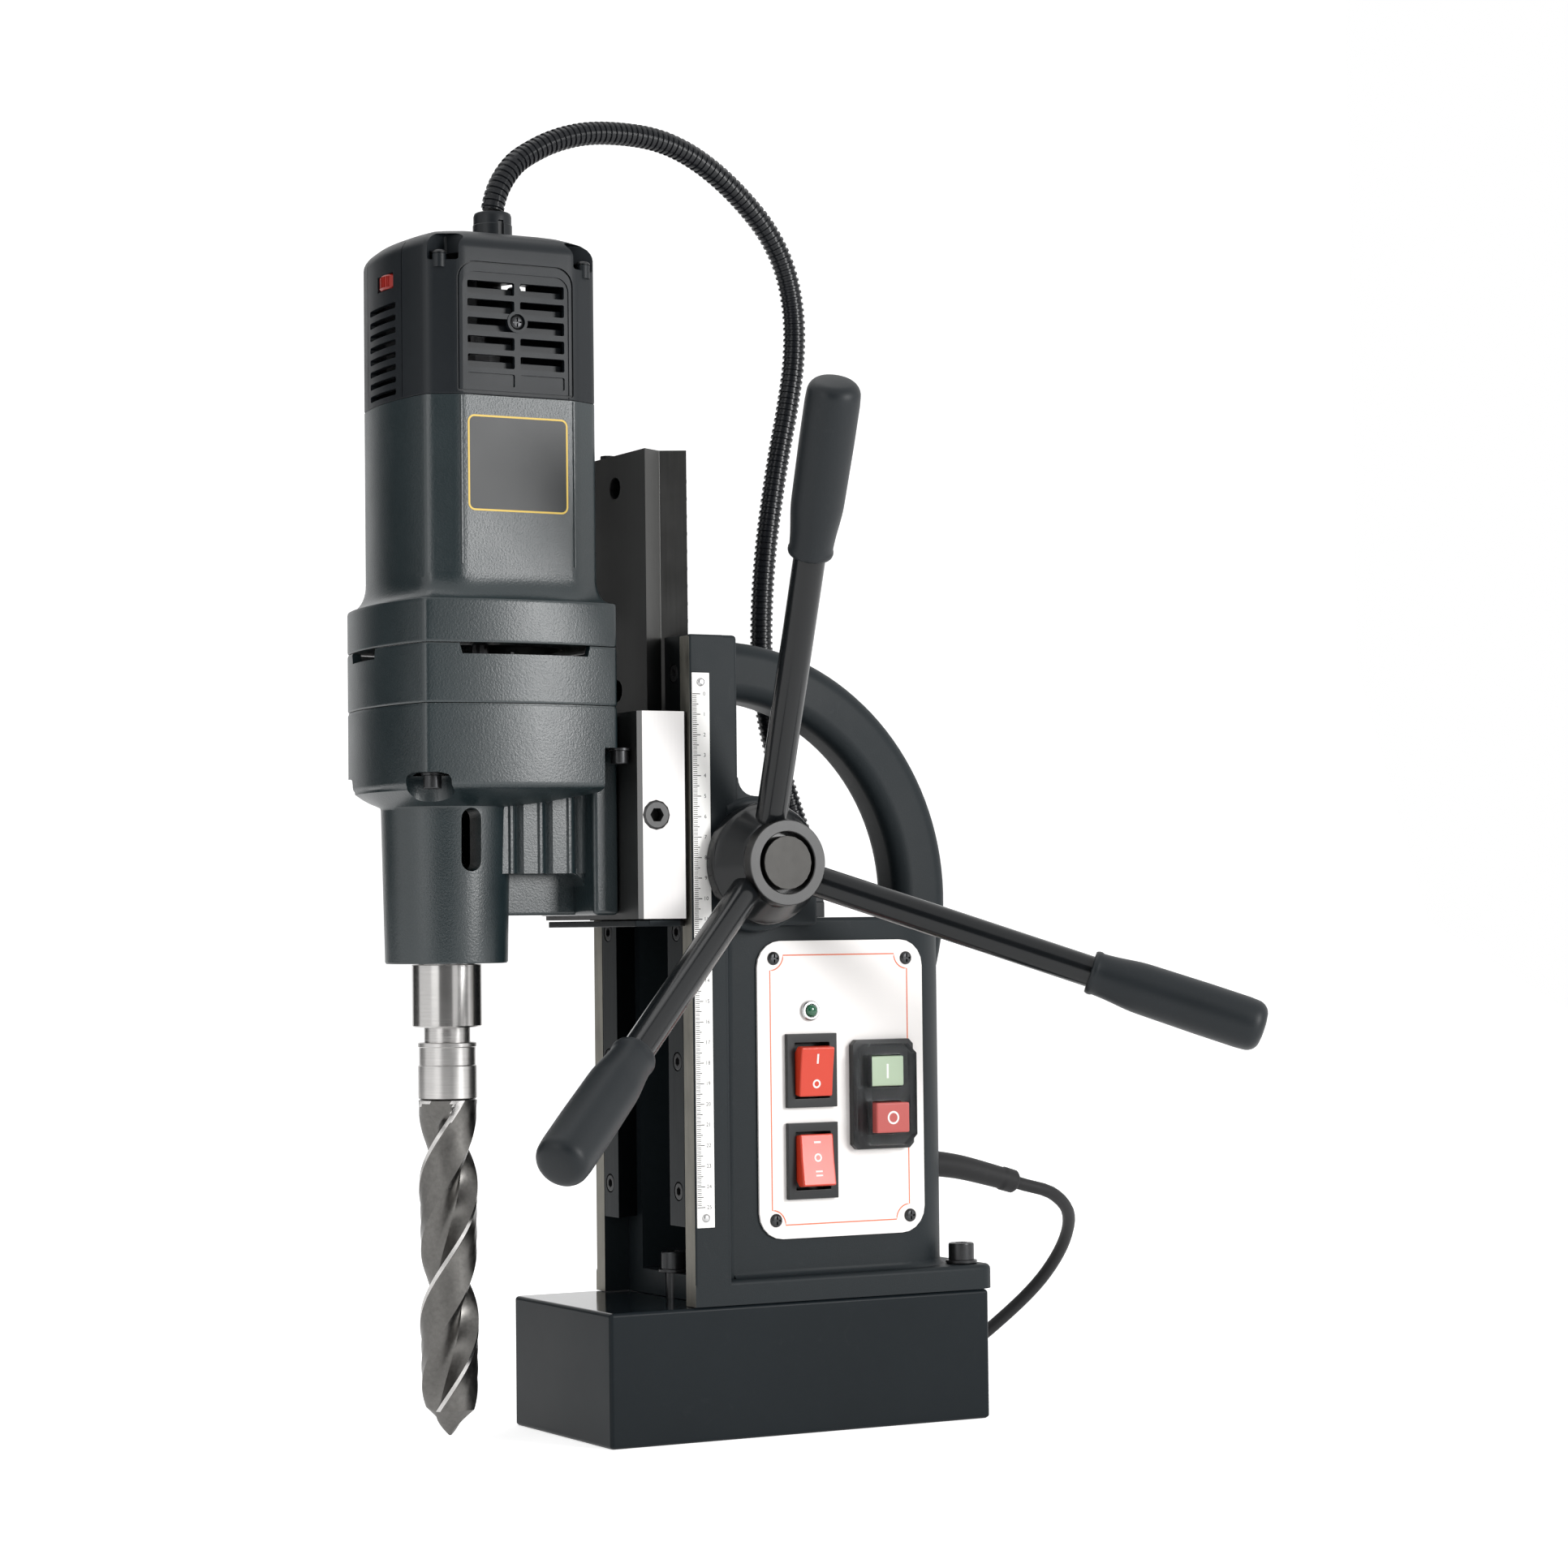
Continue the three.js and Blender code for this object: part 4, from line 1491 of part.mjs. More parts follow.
function addSpindle() {
  const gearTop = LAST_GEAR_BOTTOM + LAST_GEAR_WIDTH;
  const top = partitionBottom - FIT;
  const nose = drillShankTop();
  const profile = [[0, SPINDLE_NOSE_BOTTOM], [SPINDLE_NOSE_RADIUS, SPINDLE_NOSE_BOTTOM], [SPINDLE_NOSE_RADIUS, nose],
    [SPINDLE_BODY_RADIUS, nose], [SPINDLE_BODY_RADIUS, gearTop], [SPINDLE_JOURNAL_RADIUS, gearTop],
    [SPINDLE_JOURNAL_RADIUS, top], [0, top]];
  const toLay = angleTo(0, spindleY, layX, layY);
  const gear = gearZ(0, spindleY, SPINDLE_TEETH, LAST_MODULE, toLay, LAST_GEAR_BOTTOM, gearTop);
  const taper = turnedZ(0, spindleY, [[0, SPINDLE_NOSE_BOTTOM - OVERRUN], [DRILL_SHANK_RADIUS + FIT,
    SPINDLE_NOSE_BOTTOM - OVERRUN], [DRILL_SHANK_RADIUS + FIT, SPINDLE_NOSE_BOTTOM], [DRILL_SHANK_TOP_RADIUS + FIT,
    DRILL_SHANK_TOP + FIT], [0, DRILL_SHANK_TOP + FIT]], ROUND_STEPS);
  const spindle = turnedZ(0, spindleY, profile, ROUND_STEPS).add(gear).subtract(taper);
  addMesh(head, "spindle", spindle, 0xb9bbbe, 0.2, 1);
}

function addBearings() {
  const lower = rodZ(0, spindleY, NECK_BOTTOM, NECK_BOTTOM + LOWER_BEARING_LENGTH, LOWER_BEARING_RADIUS, ROUND_STEPS);
  const lowerBore = rodZ(0, spindleY, NECK_BOTTOM - OVERRUN, NECK_BOTTOM + LOWER_BEARING_LENGTH + OVERRUN,
    SPINDLE_BODY_RADIUS + FIT, ROUND_STEPS);
  addMesh(head, "lower_bearing", lower.subtract(lowerBore), 0x8d9094, 0.3, 1);
  const top = partitionBottom - FIT;
  const bottom = top - UPPER_BEARING_LENGTH;
  const upper = rodZ(0, spindleY, bottom, top, UPPER_BEARING_RADIUS, ROUND_STEPS);
  const upperBore = rodZ(0, spindleY, bottom - OVERRUN, top + OVERRUN, SPINDLE_JOURNAL_RADIUS + FIT, ROUND_STEPS);
  addMesh(head, "upper_bearing", upper.subtract(upperBore), 0x8d9094, 0.3, 1);
}

// Half of the drill's section as shares of its radius: land, heel and flute; the other half repeats it.
function drillRing(radius, z, depth, turn) {
  const shares = [...DRILL_SECTION_SHARES, ...DRILL_SECTION_SHARES];
  return shares.map((share, i) => {
    const r = radius * (1 - depth * (1 - share));
    const angle = turn + 2 * Math.PI * i / shares.length;
    return [r * Math.cos(angle), spindleY + r * Math.sin(angle), z];
  });
}

function drillFlutes() {
  const rings = [];
  const length = DRILL_FLUTE_TOP - DRILL_CONE_TOP;
  const steps = Math.ceil(length / DRILL_STEP);
  for (let i = 0; i <= steps; i++) {
    const down = length * i / steps;
    const depth = Math.min(1, down / DRILL_FLUTE_FADE);
    rings.push(drillRing(DRILL_COLLAR_RADIUS, DRILL_FLUTE_TOP - down, depth, -2 * Math.PI * down / DRILL_LEAD));
  }
  const turn = -2 * Math.PI * (DRILL_FLUTE_TOP - DRILL_TIP) / DRILL_LEAD;
  rings.push(drillRing(DRILL_TIP_RADIUS, DRILL_TIP, 1, turn));
  return loft(rings);
}

function addDrillBit() {
  const profile = [[0, DRILL_FLUTE_TOP - FIT], [DRILL_COLLAR_RADIUS, DRILL_FLUTE_TOP - FIT],
    [DRILL_COLLAR_RADIUS, DRILL_GROOVE_BOTTOM], [DRILL_GROOVE_RADIUS, DRILL_GROOVE_BOTTOM],
    [DRILL_GROOVE_RADIUS, DRILL_GROOVE_TOP], [DRILL_COLLAR_RADIUS, DRILL_GROOVE_TOP],
    [DRILL_COLLAR_RADIUS, DRILL_COLLAR_TOP], [DRILL_SHANK_RADIUS, DRILL_COLLAR_TOP],
    [DRILL_SHANK_RADIUS, SPINDLE_NOSE_BOTTOM], [DRILL_SHANK_TOP_RADIUS, DRILL_SHANK_TOP], [0, DRILL_SHANK_TOP]];
  const shank = turnedZ(0, spindleY, profile, ROUND_STEPS);
  addMesh(head, "drill_bit", shank.add(drillFlutes()), 0x6a6660, 0.35, 0.95);
}

function addLayshaft() {
  const toSpindle = angleTo(layX, layY, 0, spindleY);
  const toRotor = angleTo(layX, layY, 0, motorY);
  const shaft = rodZ(layX, layY, CASE_FLOOR + FIT, partitionTop - FIT, LAYSHAFT_RADIUS, TINY_STEPS);
  const pinion = gearZ(layX, layY, LAY_PINION_TEETH, LAST_MODULE, toSpindle + Math.PI / LAY_PINION_TEETH,
    LAST_GEAR_BOTTOM, FIRST_GEAR_BOTTOM);
  const wheel = gearZ(layX, layY, LAY_WHEEL_TEETH, FIRST_MODULE, toRotor, FIRST_GEAR_BOTTOM,
    FIRST_GEAR_BOTTOM + FIRST_GEAR_WIDTH);
  addMesh(head, "layshaft", joined([shaft, pinion, wheel]), 0x7d8084, 0.3, 1);
}

function addRotor() {
  const toLay = angleTo(0, motorY, layX, layY) + Math.PI / ROTOR_TEETH;
  const pinionTop = FIRST_GEAR_BOTTOM + FIRST_GEAR_WIDTH + FIT;
  const pinion = gearZ(0, motorY, ROTOR_TEETH, FIRST_MODULE, toLay, FIRST_GEAR_BOTTOM - FIT, pinionTop + FIT);
  const coreTop = ROTOR_CORE_BOTTOM + ROTOR_CORE_LENGTH;
  const ringBottom = spiderTop + COMMUTATOR_GAP;
  const ringTop = ringBottom + COMMUTATOR_LENGTH;
  const top = ringTop + ROTOR_TOP_LENGTH;
  const profile = [[0, pinionTop], [ROTOR_SHAFT_RADIUS, pinionTop],
    [ROTOR_SHAFT_RADIUS, ROTOR_CORE_BOTTOM], [ROTOR_CORE_RADIUS, ROTOR_CORE_BOTTOM], [ROTOR_CORE_RADIUS, coreTop],
    [ROTOR_SHAFT_RADIUS, coreTop], [ROTOR_SHAFT_RADIUS, ringBottom], [COMMUTATOR_RADIUS, ringBottom],
    [COMMUTATOR_RADIUS, ringTop], [ROTOR_SHAFT_RADIUS, ringTop], [ROTOR_SHAFT_RADIUS, top], [0, top]];
  addMesh(head, "rotor", turnedZ(0, motorY, profile, SMALL_STEPS).add(pinion), 0x8a6a4a, 0.4, 0.8);
}

function addStator() {
  const bottom = ROTOR_CORE_BOTTOM;
  const top = bottom + ROTOR_CORE_LENGTH;
  const ring = rodZ(0, motorY, bottom, top, MOTOR_BORE_RADIUS - FIT, ROUND_STEPS);
  const bore = rodZ(0, motorY, bottom - OVERRUN, top + OVERRUN, STATOR_INNER_RADIUS, ROUND_STEPS);
  addMesh(head, "stator", ring.subtract(bore), 0x7a5a34, 0.5, 0.6);
}

function addFan() {
  const bottom = partitionTop + FAN_FLOOR_GAP;
  const top = bottom + FAN_HEIGHT;
  const disc = rodZ(0, motorY, bottom, bottom + FAN_DISC_THICKNESS, FAN_RADIUS, ROUND_STEPS);
  const hub = rodZ(0, motorY, bottom, top, FAN_HUB_RADIUS, SMALL_STEPS);
  const blades = [];
  for (let i = 0; i < FAN_BLADES; i++) {
    const half = FAN_BLADE_THICKNESS / 2;
    const blade = new THREE.BoxGeometry(FAN_RADIUS - FAN_HUB_RADIUS / 2 - half, FAN_BLADE_THICKNESS, top - bottom - half);
    blade.translate((FAN_RADIUS + FAN_HUB_RADIUS / 2 - half) / 2, 0, (bottom + half + top) / 2);
    blade.rotateZ(2 * Math.PI * i / FAN_BLADES);
    blade.translate(0, motorY, 0);
    blades.push(closedSolid(blade));
  }
  const bore = rodZ(0, motorY, bottom - OVERRUN, top + OVERRUN, ROTOR_SHAFT_RADIUS + FIT, TINY_STEPS);
  addMesh(head, "cooling_fan", joined([disc, hub, ...blades]).subtract(bore), 0x2a2a2c, 0.6, 0.1);
}

// Conduit hose and its glands

function glandProfile(seat, height, radius, nutShare) {
  const nut = seat + height * nutShare;
  return [[0, seat - GLAND_SPIGOT_LENGTH], [GLAND_SPIGOT_RADIUS, seat - GLAND_SPIGOT_LENGTH],
    [GLAND_SPIGOT_RADIUS, seat], [radius, seat], [radius, nut], [HOSE_RADIUS + 2 * FIT, nut + FIT],
    [HOSE_RADIUS + 2 * FIT, seat + height], [0, seat + height]];
}

function gland(x, y, seat, height, radius, nutShare) {
  const body = turnedZ(x, y, glandProfile(seat, height, radius, nutShare), SMALL_STEPS);
  const bore = rodZ(x, y, seat - GLAND_SPIGOT_LENGTH - OVERRUN, seat + height + OVERRUN, HOSE_BORE_RADIUS, TINY_STEPS);
  return body.subtract(bore);
}

function addGlands() {
  addMesh(head, "head_gland", gland(0, motorY + HEAD_GLAND_BACK, capTop + FIT, HEAD_GLAND_HEIGHT, HEAD_GLAND_RADIUS,
    HEAD_GLAND_NUT_SHARE), 0x141516, 0.5, 0);
  addMesh(stand, "stand_gland", gland(STAND_GLAND_X, STAND_GLAND_Y, BOX_HEIGHT + FIT, STAND_GLAND_HEIGHT,
    STAND_GLAND_RADIUS, HEAD_GLAND_NUT_SHARE), 0x141516, 0.5, 0);
}

function hoseRoute() {
  const headEnd = magnetTop + headBottom + capTop + 2 * FIT + HEAD_GLAND_HEIGHT;
  const standEnd = magnetTop + BOX_HEIGHT + 2 * FIT + STAND_GLAND_HEIGHT;
  const straight = 2 * HOSE_RADIUS;
  const headY = motorY + HEAD_GLAND_BACK;
  return [[0, headY, headEnd + HOSE_LEAN_GAP], ...HOSE_ROUTE,
    [STAND_GLAND_X, STAND_GLAND_Y, standEnd + straight], [STAND_GLAND_X, STAND_GLAND_Y, standEnd]];
}

function hoseGeometry() {
  const curve = placesOnCurve(hoseRoute());
  const rings = 2 * HOSE_RIBS + 1;
  const frames = curve.computeFrenetFrames(rings - 1, false);
  const outer = [];
  const bore = [];
  for (let i = 0; i < rings; i++) {
    const middle = curve.getPointAt(i / (rings - 1));
    const radius = i % 2 ? HOSE_RADIUS : HOSE_ROOT_RADIUS;
    outer.push(ringAt(middle, frames.normals[i], frames.binormals[i], radius, HOSE_SIDES));
    if (i % (2 * HOSE_RIBS_PER_BORE_RING) === 0) {
      bore.push(ringAt(middle, frames.normals[i], frames.binormals[i], HOSE_BORE_RADIUS, HOSE_SIDES));
    }
  }
  return closedTube(outer, bore);
}

// A tube's wall from its outer rings and its bore rings, closed by a flat ring at each end.
function closedTube(outer, bore) {
  const sides = outer[0].length;
  const places = [...outer, ...bore].flat(2);
  const boreStart = outer.length * sides;
  const faces = [];
  const strip = (first, second, flip) => {
    for (let i = 0; i < sides; i++) {
      const j = (i + 1) % sides;
      const quad = [first + i, first + j, second + j, first + i, second + j, second + i];
      faces.push(...(flip ? quad.reverse() : quad));
    }
  };
  for (let k = 0; k + 1 < outer.length; k++) strip(k * sides, (k + 1) * sides, false);
  for (let k = 0; k + 1 < bore.length; k++) strip(boreStart + k * sides, boreStart + (k + 1) * sides, true);
  strip(0, boreStart, true);
  strip((outer.length - 1) * sides, boreStart + (bore.length - 1) * sides, false);
  const geometry = new THREE.BufferGeometry();
  geometry.setAttribute("position", new THREE.Float32BufferAttribute(places, 3));
  geometry.setIndex(faces);
  return geometry;
}

function addHose() {
  addMesh(drill, "conduit_hose", closedSolid(hoseGeometry()), 0x1a1b1c, 0.4, 0.3);
}

// Mains cord

function reliefPath() {
  const start = boxRear + FIT;
  const height = magnetTop + RELIEF_HEIGHT;
  return RELIEF_SHARES.map(([along, down]) => [0, start + along * RELIEF_REACH, height - down * RELIEF_DROP]);
}

function addStrainRelief() {
  const path = reliefPath().map((p) => new THREE.Vector3(...p));
  const aside = new THREE.Vector3(1, 0, 0);
  const rings = [];
  const start = path[0];
  const level0 = [[-RELIEF_SPIGOT_LENGTH, RELIEF_SPIGOT_RADIUS], [0, RELIEF_SPIGOT_RADIUS], [0, RELIEF_COLLAR_RADIUS],
    [RELIEF_COLLAR_LENGTH, RELIEF_COLLAR_RADIUS], [RELIEF_COLLAR_LENGTH, RELIEF_RADIUS]];
  level0.forEach(([along, radius]) => {
    const middle = start.clone().add(new THREE.Vector3(0, along, 0));
    rings.push(ringAt(middle, aside, new THREE.Vector3(0, 0, 1), radius, TINY_STEPS));
  });
  for (let i = 1; i < path.length; i++) {
    const next = path[Math.min(i + 1, path.length - 1)];
    const tangent = next.clone().sub(path[i - 1]).normalize();
    const over = aside.clone().cross(tangent);
    const share = i / (path.length - 1);
    const radius = RELIEF_RADIUS + (RELIEF_TIP_RADIUS - RELIEF_RADIUS) * share;
    rings.push(ringAt(path[i], aside, over, radius, TINY_STEPS));
  }
  addMesh(drill, "strain_relief", loft(rings), 0x151617, 0.6, 0);
}

function coilLayers() {
  const pitch = 2 * CORD_RADIUS + COIL_GAP;
  const outerRadius = COIL_INNER_RADIUS + pitch * COIL_LOOPS_PER_LAYER;
  return { pitch, outerRadius, low: CORD_RADIUS + COIL_FLOOR_GAP, rise: 2 * CORD_RADIUS + COIL_LAYER_GAP };
}

// One unbroken tube: in along the floor, up a layer in the half turn where it reverses, and out again.
function coilPoints() {
  const { pitch, low, rise } = coilLayers();
  const total = 2 * COIL_LOOPS_PER_LAYER * COIL_STEPS_PER_LOOP;
  const points = [];
  for (let i = 0; i <= total; i++) {
    const loops = i / COIL_STEPS_PER_LOOP;
    const fromReversal = loops - COIL_LOOPS_PER_LAYER;
    const radius = COIL_INNER_RADIUS + pitch * Math.abs(fromReversal);
    const climb = Math.min(1, Math.max(0, 2 * fromReversal + 0.5));
    const angle = -2 * Math.PI * loops;
    points.push(new THREE.Vector3(COIL_X + radius * Math.cos(angle), COIL_Y + radius * Math.sin(angle),
      low + rise * climb));
  }
  const { outerRadius } = coilLayers();
  const straight = 2 * CORD_RADIUS;
  points.unshift(new THREE.Vector3(COIL_X + outerRadius, COIL_Y + straight, low));
  points.push(new THREE.Vector3(COIL_X + outerRadius, COIL_Y - COIL_TAIL, low + rise));
  return points;
}

function addCoil() {
  const points = coilPoints();
  const gap = leastGapToItself(points, CORD_RADIUS, COIL_STEPS_PER_LOOP / 2);
  console.log(`cord_coil least gap to itself ${gap.toFixed(2)} mm`);
  const up = new THREE.Vector3(0, 0, 1);
  const rings = points.map((p, i) => {
    const before = points[Math.max(i - 1, 0)];
    const after = points[Math.min(i + 1, points.length - 1)];
    const tangent = after.clone().sub(before).normalize();
    const across = tangent.clone().cross(up).normalize();
    return ringAt(p, across, across.clone().cross(tangent), CORD_RADIUS, COIL_SIDES);
  });
  addMesh(drill, "cord_coil", loft(rings), 0x121313, 0.55, 0);
}

function addMainsCord() {
  const path = reliefPath();
  const tip = new THREE.Vector3(...path[path.length - 1]);
  const before = new THREE.Vector3(...path[path.length - 2]);
  const along = tip.clone().sub(before).normalize();
  const { outerRadius, low } = coilLayers();
  const end = new THREE.Vector3(COIL_X + outerRadius, COIL_Y + 2 * CORD_RADIUS + FIT, low);
  const start = tip.clone().addScaledVector(along, FIT);
  const next = tip.clone().addScaledVector(along, FIT + 2 * CORD_RADIUS);
  const route = [start.toArray(), next.toArray(), ...CORD_ROUTE, end.toArray()];
  const section = new THREE.Shape(Array.from({ length: CORD_SIDES }, (_, i) => {
    const angle = 2 * Math.PI * (i + 0.5) / CORD_SIDES;
    return new THREE.Vector2(CORD_RADIUS * Math.cos(angle), CORD_RADIUS * Math.sin(angle));
  }));
  const tube = new THREE.ExtrudeGeometry(section, { steps: CORD_STEPS, extrudePath: placesOnCurve(route),
    bevelEnabled: false });
  addMesh(drill, "mains_cord", closedSolid(tube), 0x121313, 0.55, 0);
}

function addPlug() {
  const { outerRadius, low, rise } = coilLayers();
  const x = COIL_X + outerRadius;
  const z = low + rise;
  const y1 = COIL_Y - COIL_TAIL - FIT;
  const y0 = y1 - PLUG_LENGTH;
  const half = PLUG_WIDTH / 2;
  const body = prismZ(bevelledRectangle(x - half, x + half, y0, y1, PLUG_CORNER, PLUG_CORNER), z - PLUG_THICKNESS / 2,
    z + PLUG_THICKNESS / 2);
  const blades = [-1, 0, 1].map((side) => {
    const middle = x + side * PLUG_BLADE_SPREAD / 2;
    const width = side ? PLUG_BLADE_THICKNESS / 2 : PLUG_BLADE_WIDTH / 2;
    const rise2 = side ? PLUG_BLADE_WIDTH / 2 : PLUG_BLADE_THICKNESS / 2;
    return box(middle - width, middle + width, y0 - PLUG_BLADE_LENGTH, y0 + OVERRUN, z - rise2, z + rise2);
  });
  addMesh(drill, "mains_plug", joined([body, ...blades]), 0x141516, 0.5, 0);
}

addMagnet();
addStandCasting();
addGibs();
addRuler();
addFootBolts();
addPanelPlate();
addLamp();
addRockerSwitches();
addDrillSwitch();
addBoard();
addSlideBar();
addRack();
addSlideEnds();
addPinionShaft();
addBushes();
addSpokes();
addClampBlock();
addLockScrew();
addGearHousing();
addCover();
addMotorHousing();
addCap();
addSpindle();
addBearings();
addDrillBit();
addLayshaft();
addRotor();
addStator();
addFan();
addGlands();
addHose();
addStrainRelief();
addCoil();
addMainsCord();
addPlug();

export default drill;
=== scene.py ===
"""The looks of a magnetic drill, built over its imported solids: stand, slide, drill head, capstan, panel and cords.
Every size that the functions take is in millimetres; the meshes are in metres, in the solids' own frame."""
import math

import bmesh
import bpy
from bpy.props import FloatProperty, FloatVectorProperty, PointerProperty
from mathutils import Matrix, Vector


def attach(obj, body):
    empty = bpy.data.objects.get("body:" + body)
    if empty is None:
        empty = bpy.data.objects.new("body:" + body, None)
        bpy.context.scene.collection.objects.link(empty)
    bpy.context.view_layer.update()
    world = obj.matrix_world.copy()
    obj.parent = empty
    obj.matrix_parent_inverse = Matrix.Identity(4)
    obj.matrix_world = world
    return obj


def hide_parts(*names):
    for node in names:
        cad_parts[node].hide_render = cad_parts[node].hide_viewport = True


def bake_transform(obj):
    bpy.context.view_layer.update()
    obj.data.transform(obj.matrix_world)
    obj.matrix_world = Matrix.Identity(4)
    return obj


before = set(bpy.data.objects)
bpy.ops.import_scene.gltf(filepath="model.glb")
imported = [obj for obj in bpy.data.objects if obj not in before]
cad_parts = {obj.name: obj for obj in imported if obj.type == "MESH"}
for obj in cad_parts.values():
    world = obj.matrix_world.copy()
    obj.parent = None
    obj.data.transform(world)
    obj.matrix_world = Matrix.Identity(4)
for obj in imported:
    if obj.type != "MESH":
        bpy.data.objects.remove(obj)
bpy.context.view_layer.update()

bl_info = {
    "name": "Magnetic drill",
    "version": (1, 0, 0),
    "blender": (4, 5, 0),
    "location": "View3D > Sidebar > Magnetic drill",
    "description": "Models a magnetic drill piece by piece over its solids",
    "category": "Add Mesh",
}

MM = 0.001
AXIS_TURNS = {"X": (0, math.pi / 2, 0), "Y": (-math.pi / 2, 0, 0), "Z": (0, 0, 0)}


# Selecting, placing and finishing

def deselect_all():
    if bpy.context.mode != "OBJECT":
        bpy.ops.object.mode_set(mode="OBJECT")
    bpy.ops.object.select_all(action="DESELECT")


def activate(obj):
    deselect_all()
    obj.select_set(True)
    bpy.context.view_layer.objects.active = obj
    return obj


def settle(obj):
    """Puts an object's place, turn and scale into its mesh."""
    activate(obj)
    bpy.ops.object.transform_apply(location=True, rotation=True, scale=True)
    return obj


def named(name):
    obj = bpy.context.object
    obj.name = obj.data.name = name
    return settle(obj)


def edit(obj, mode="VERT"):
    activate(obj)
    bpy.ops.object.mode_set(mode="EDIT")
    bpy.ops.mesh.select_mode(type=mode)


def pick(obj, wanted, kind="FACE"):
    """Goes into edit mode with the faces or edges selected that wanted() accepts.
    It gets a face's middle, in mm, and normal, or an edge's two ends, in mm."""
    edit(obj, kind)
    bpy.ops.mesh.select_all(action="DESELECT")
    mesh = bmesh.from_edit_mesh(obj.data)
    if kind == "FACE":
        for face in mesh.faces:
            face.select_set(bool(wanted(face.calc_center_median() / MM, face.normal)))
    else:
        for edge in mesh.edges:
            edge.select_set(bool(wanted(edge.verts[0].co / MM, edge.verts[1].co / MM)))
    bmesh.update_edit_mesh(obj.data)


def apply_modifier(obj, kind, **settings):
    activate(obj)
    modifier = obj.modifiers.new(kind.title(), kind)
    for key, value in settings.items():
        setattr(modifier, key, value)
    bpy.ops.object.modifier_apply(modifier=modifier.name)
    return obj


def rounded(obj, width, segments=2, angle=32):
    """Rounds every edge that is sharper than the angle."""
    return apply_modifier(obj, "BEVEL", width=width * MM, segments=segments, limit_method="ANGLE",
        angle_limit=math.radians(angle), use_clamp_overlap=True, miter_outer="MITER_ARC")


def outward(obj):
    """Turns a closed shell's faces outwards."""
    edit(obj)
    bpy.ops.mesh.select_all(action="SELECT")
    bpy.ops.mesh.normals_make_consistent(inside=False)
    if bmesh.from_edit_mesh(obj.data).calc_volume(signed=True) < 0:
        bpy.ops.mesh.flip_normals()
    bpy.ops.object.mode_set(mode="OBJECT")
    return obj


def combine(obj, tools, operation):
    outward(obj)
    for tool in tools:
        outward(tool)
        apply_modifier(obj, "BOOLEAN", operation=operation, solver="MANIFOLD", object=tool)
        drop(tool)
    return obj


def drop(obj):
    bpy.data.objects.remove(obj, do_unlink=True)


def cut(obj, *tools):
    return combine(obj, tools, "DIFFERENCE")


def unite(obj, *tools):
    return combine(obj, tools, "UNION")


def join(name, pieces):
    """Several pieces as one object."""
    activate(pieces[0])
    for piece in pieces:
        piece.select_set(True)
    bpy.ops.object.join()
    return named(name)


def twin(obj, name, shift=(0, 0, 0), turn=0, about=(0, 0, 0)):
    """A copy with its own mesh, turned about an upright axis through a point and then shifted, in mm."""
    activate(obj)
    bpy.ops.object.duplicate()
    copy = bpy.context.object
    centre = Matrix.Translation(Vector(about) * MM)
    copy.matrix_world = (Matrix.Translation(Vector(shift) * MM) @ centre @ Matrix.Rotation(math.radians(turn), 4, "Z")
        @ centre.inverted() @ copy.matrix_world)
    return named(name)


def complete(obj, look, body, slot, *replaced, smooth=34, weighted=True):
    """Merges doubles, turns the faces outwards, shades, gives the piece its finish and body, and hides the solids it
    replaces; the slot is not used.
    """
    edit(obj)
    bpy.ops.mesh.select_all(action="SELECT")
    bpy.ops.mesh.remove_doubles(threshold=0.002 * MM)
    bpy.ops.object.mode_set(mode="OBJECT")
    outward(obj)
    bpy.ops.object.shade_smooth_by_angle(angle=math.radians(smooth))
    if weighted:
        apply_modifier(obj, "WEIGHTED_NORMAL", keep_sharp=True, weight=80)
    obj.data.materials.clear()
    obj.data.materials.append(FINISHES[look])
    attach(obj, body)
    if replaced:
        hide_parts(*replaced)
    return obj


def paint_faces(obj, look, wanted):
    """Gives the chosen faces a second finish."""
    obj.data.materials.append(FINISHES[look])
    index = len(obj.data.materials) - 1
    for face in obj.data.polygons:
        if wanted(face.center / MM, face.normal):
            face.material_index = index


# Shapes

def block(name, low, high):
    deselect_all()
    low, high = Vector(low), Vector(high)
    bpy.ops.mesh.primitive_cube_add(size=1, location=(low + high) / 2 * MM, scale=(high - low) * MM)
    return named(name)


def soft_block(name, low, high, edge, segments=3):
    return rounded(block(name, low, high), edge, segments)


def rod(name, axis, start, length, radius, sides=32):
    deselect_all()
    along = Vector([float(axis == letter) for letter in "XYZ"])
    bpy.ops.mesh.primitive_cylinder_add(vertices=sides, radius=radius * MM, depth=length * MM,
        location=(Vector(start) + along * length / 2) * MM, rotation=AXIS_TURNS[axis])
    return named(name)


def turned(name, profile, place=(0, 0, 0), axis="Z", sides=48, frame_matrix=None):
    """A turned piece: a disc is drawn out ring by ring through (radius, height) points."""
    deselect_all()
    radius, height = profile[0]
    bpy.ops.mesh.primitive_circle_add(vertices=sides, radius=radius * MM, fill_type="NGON",
        location=(0, 0, height * MM))
    obj = named(name)
    edit(obj, "FACE")
    bpy.ops.mesh.select_all(action="SELECT")
    for next_radius, next_height in profile[1:]:
        bpy.ops.mesh.extrude_region_move(TRANSFORM_OT_translate={"value": (0, 0, (next_height - height) * MM)})
        share = next_radius / radius
        bpy.ops.transform.resize(value=(share, share, 1), center_override=(0, 0, next_height * MM))
        radius, height = next_radius, next_height
    bpy.ops.object.mode_set(mode="OBJECT")
    obj.rotation_euler = AXIS_TURNS[axis]
    obj.location = Vector(place) * MM
    settle(obj)
    if frame_matrix is not None:
        obj.matrix_world = frame_matrix
        settle(obj)
    return obj


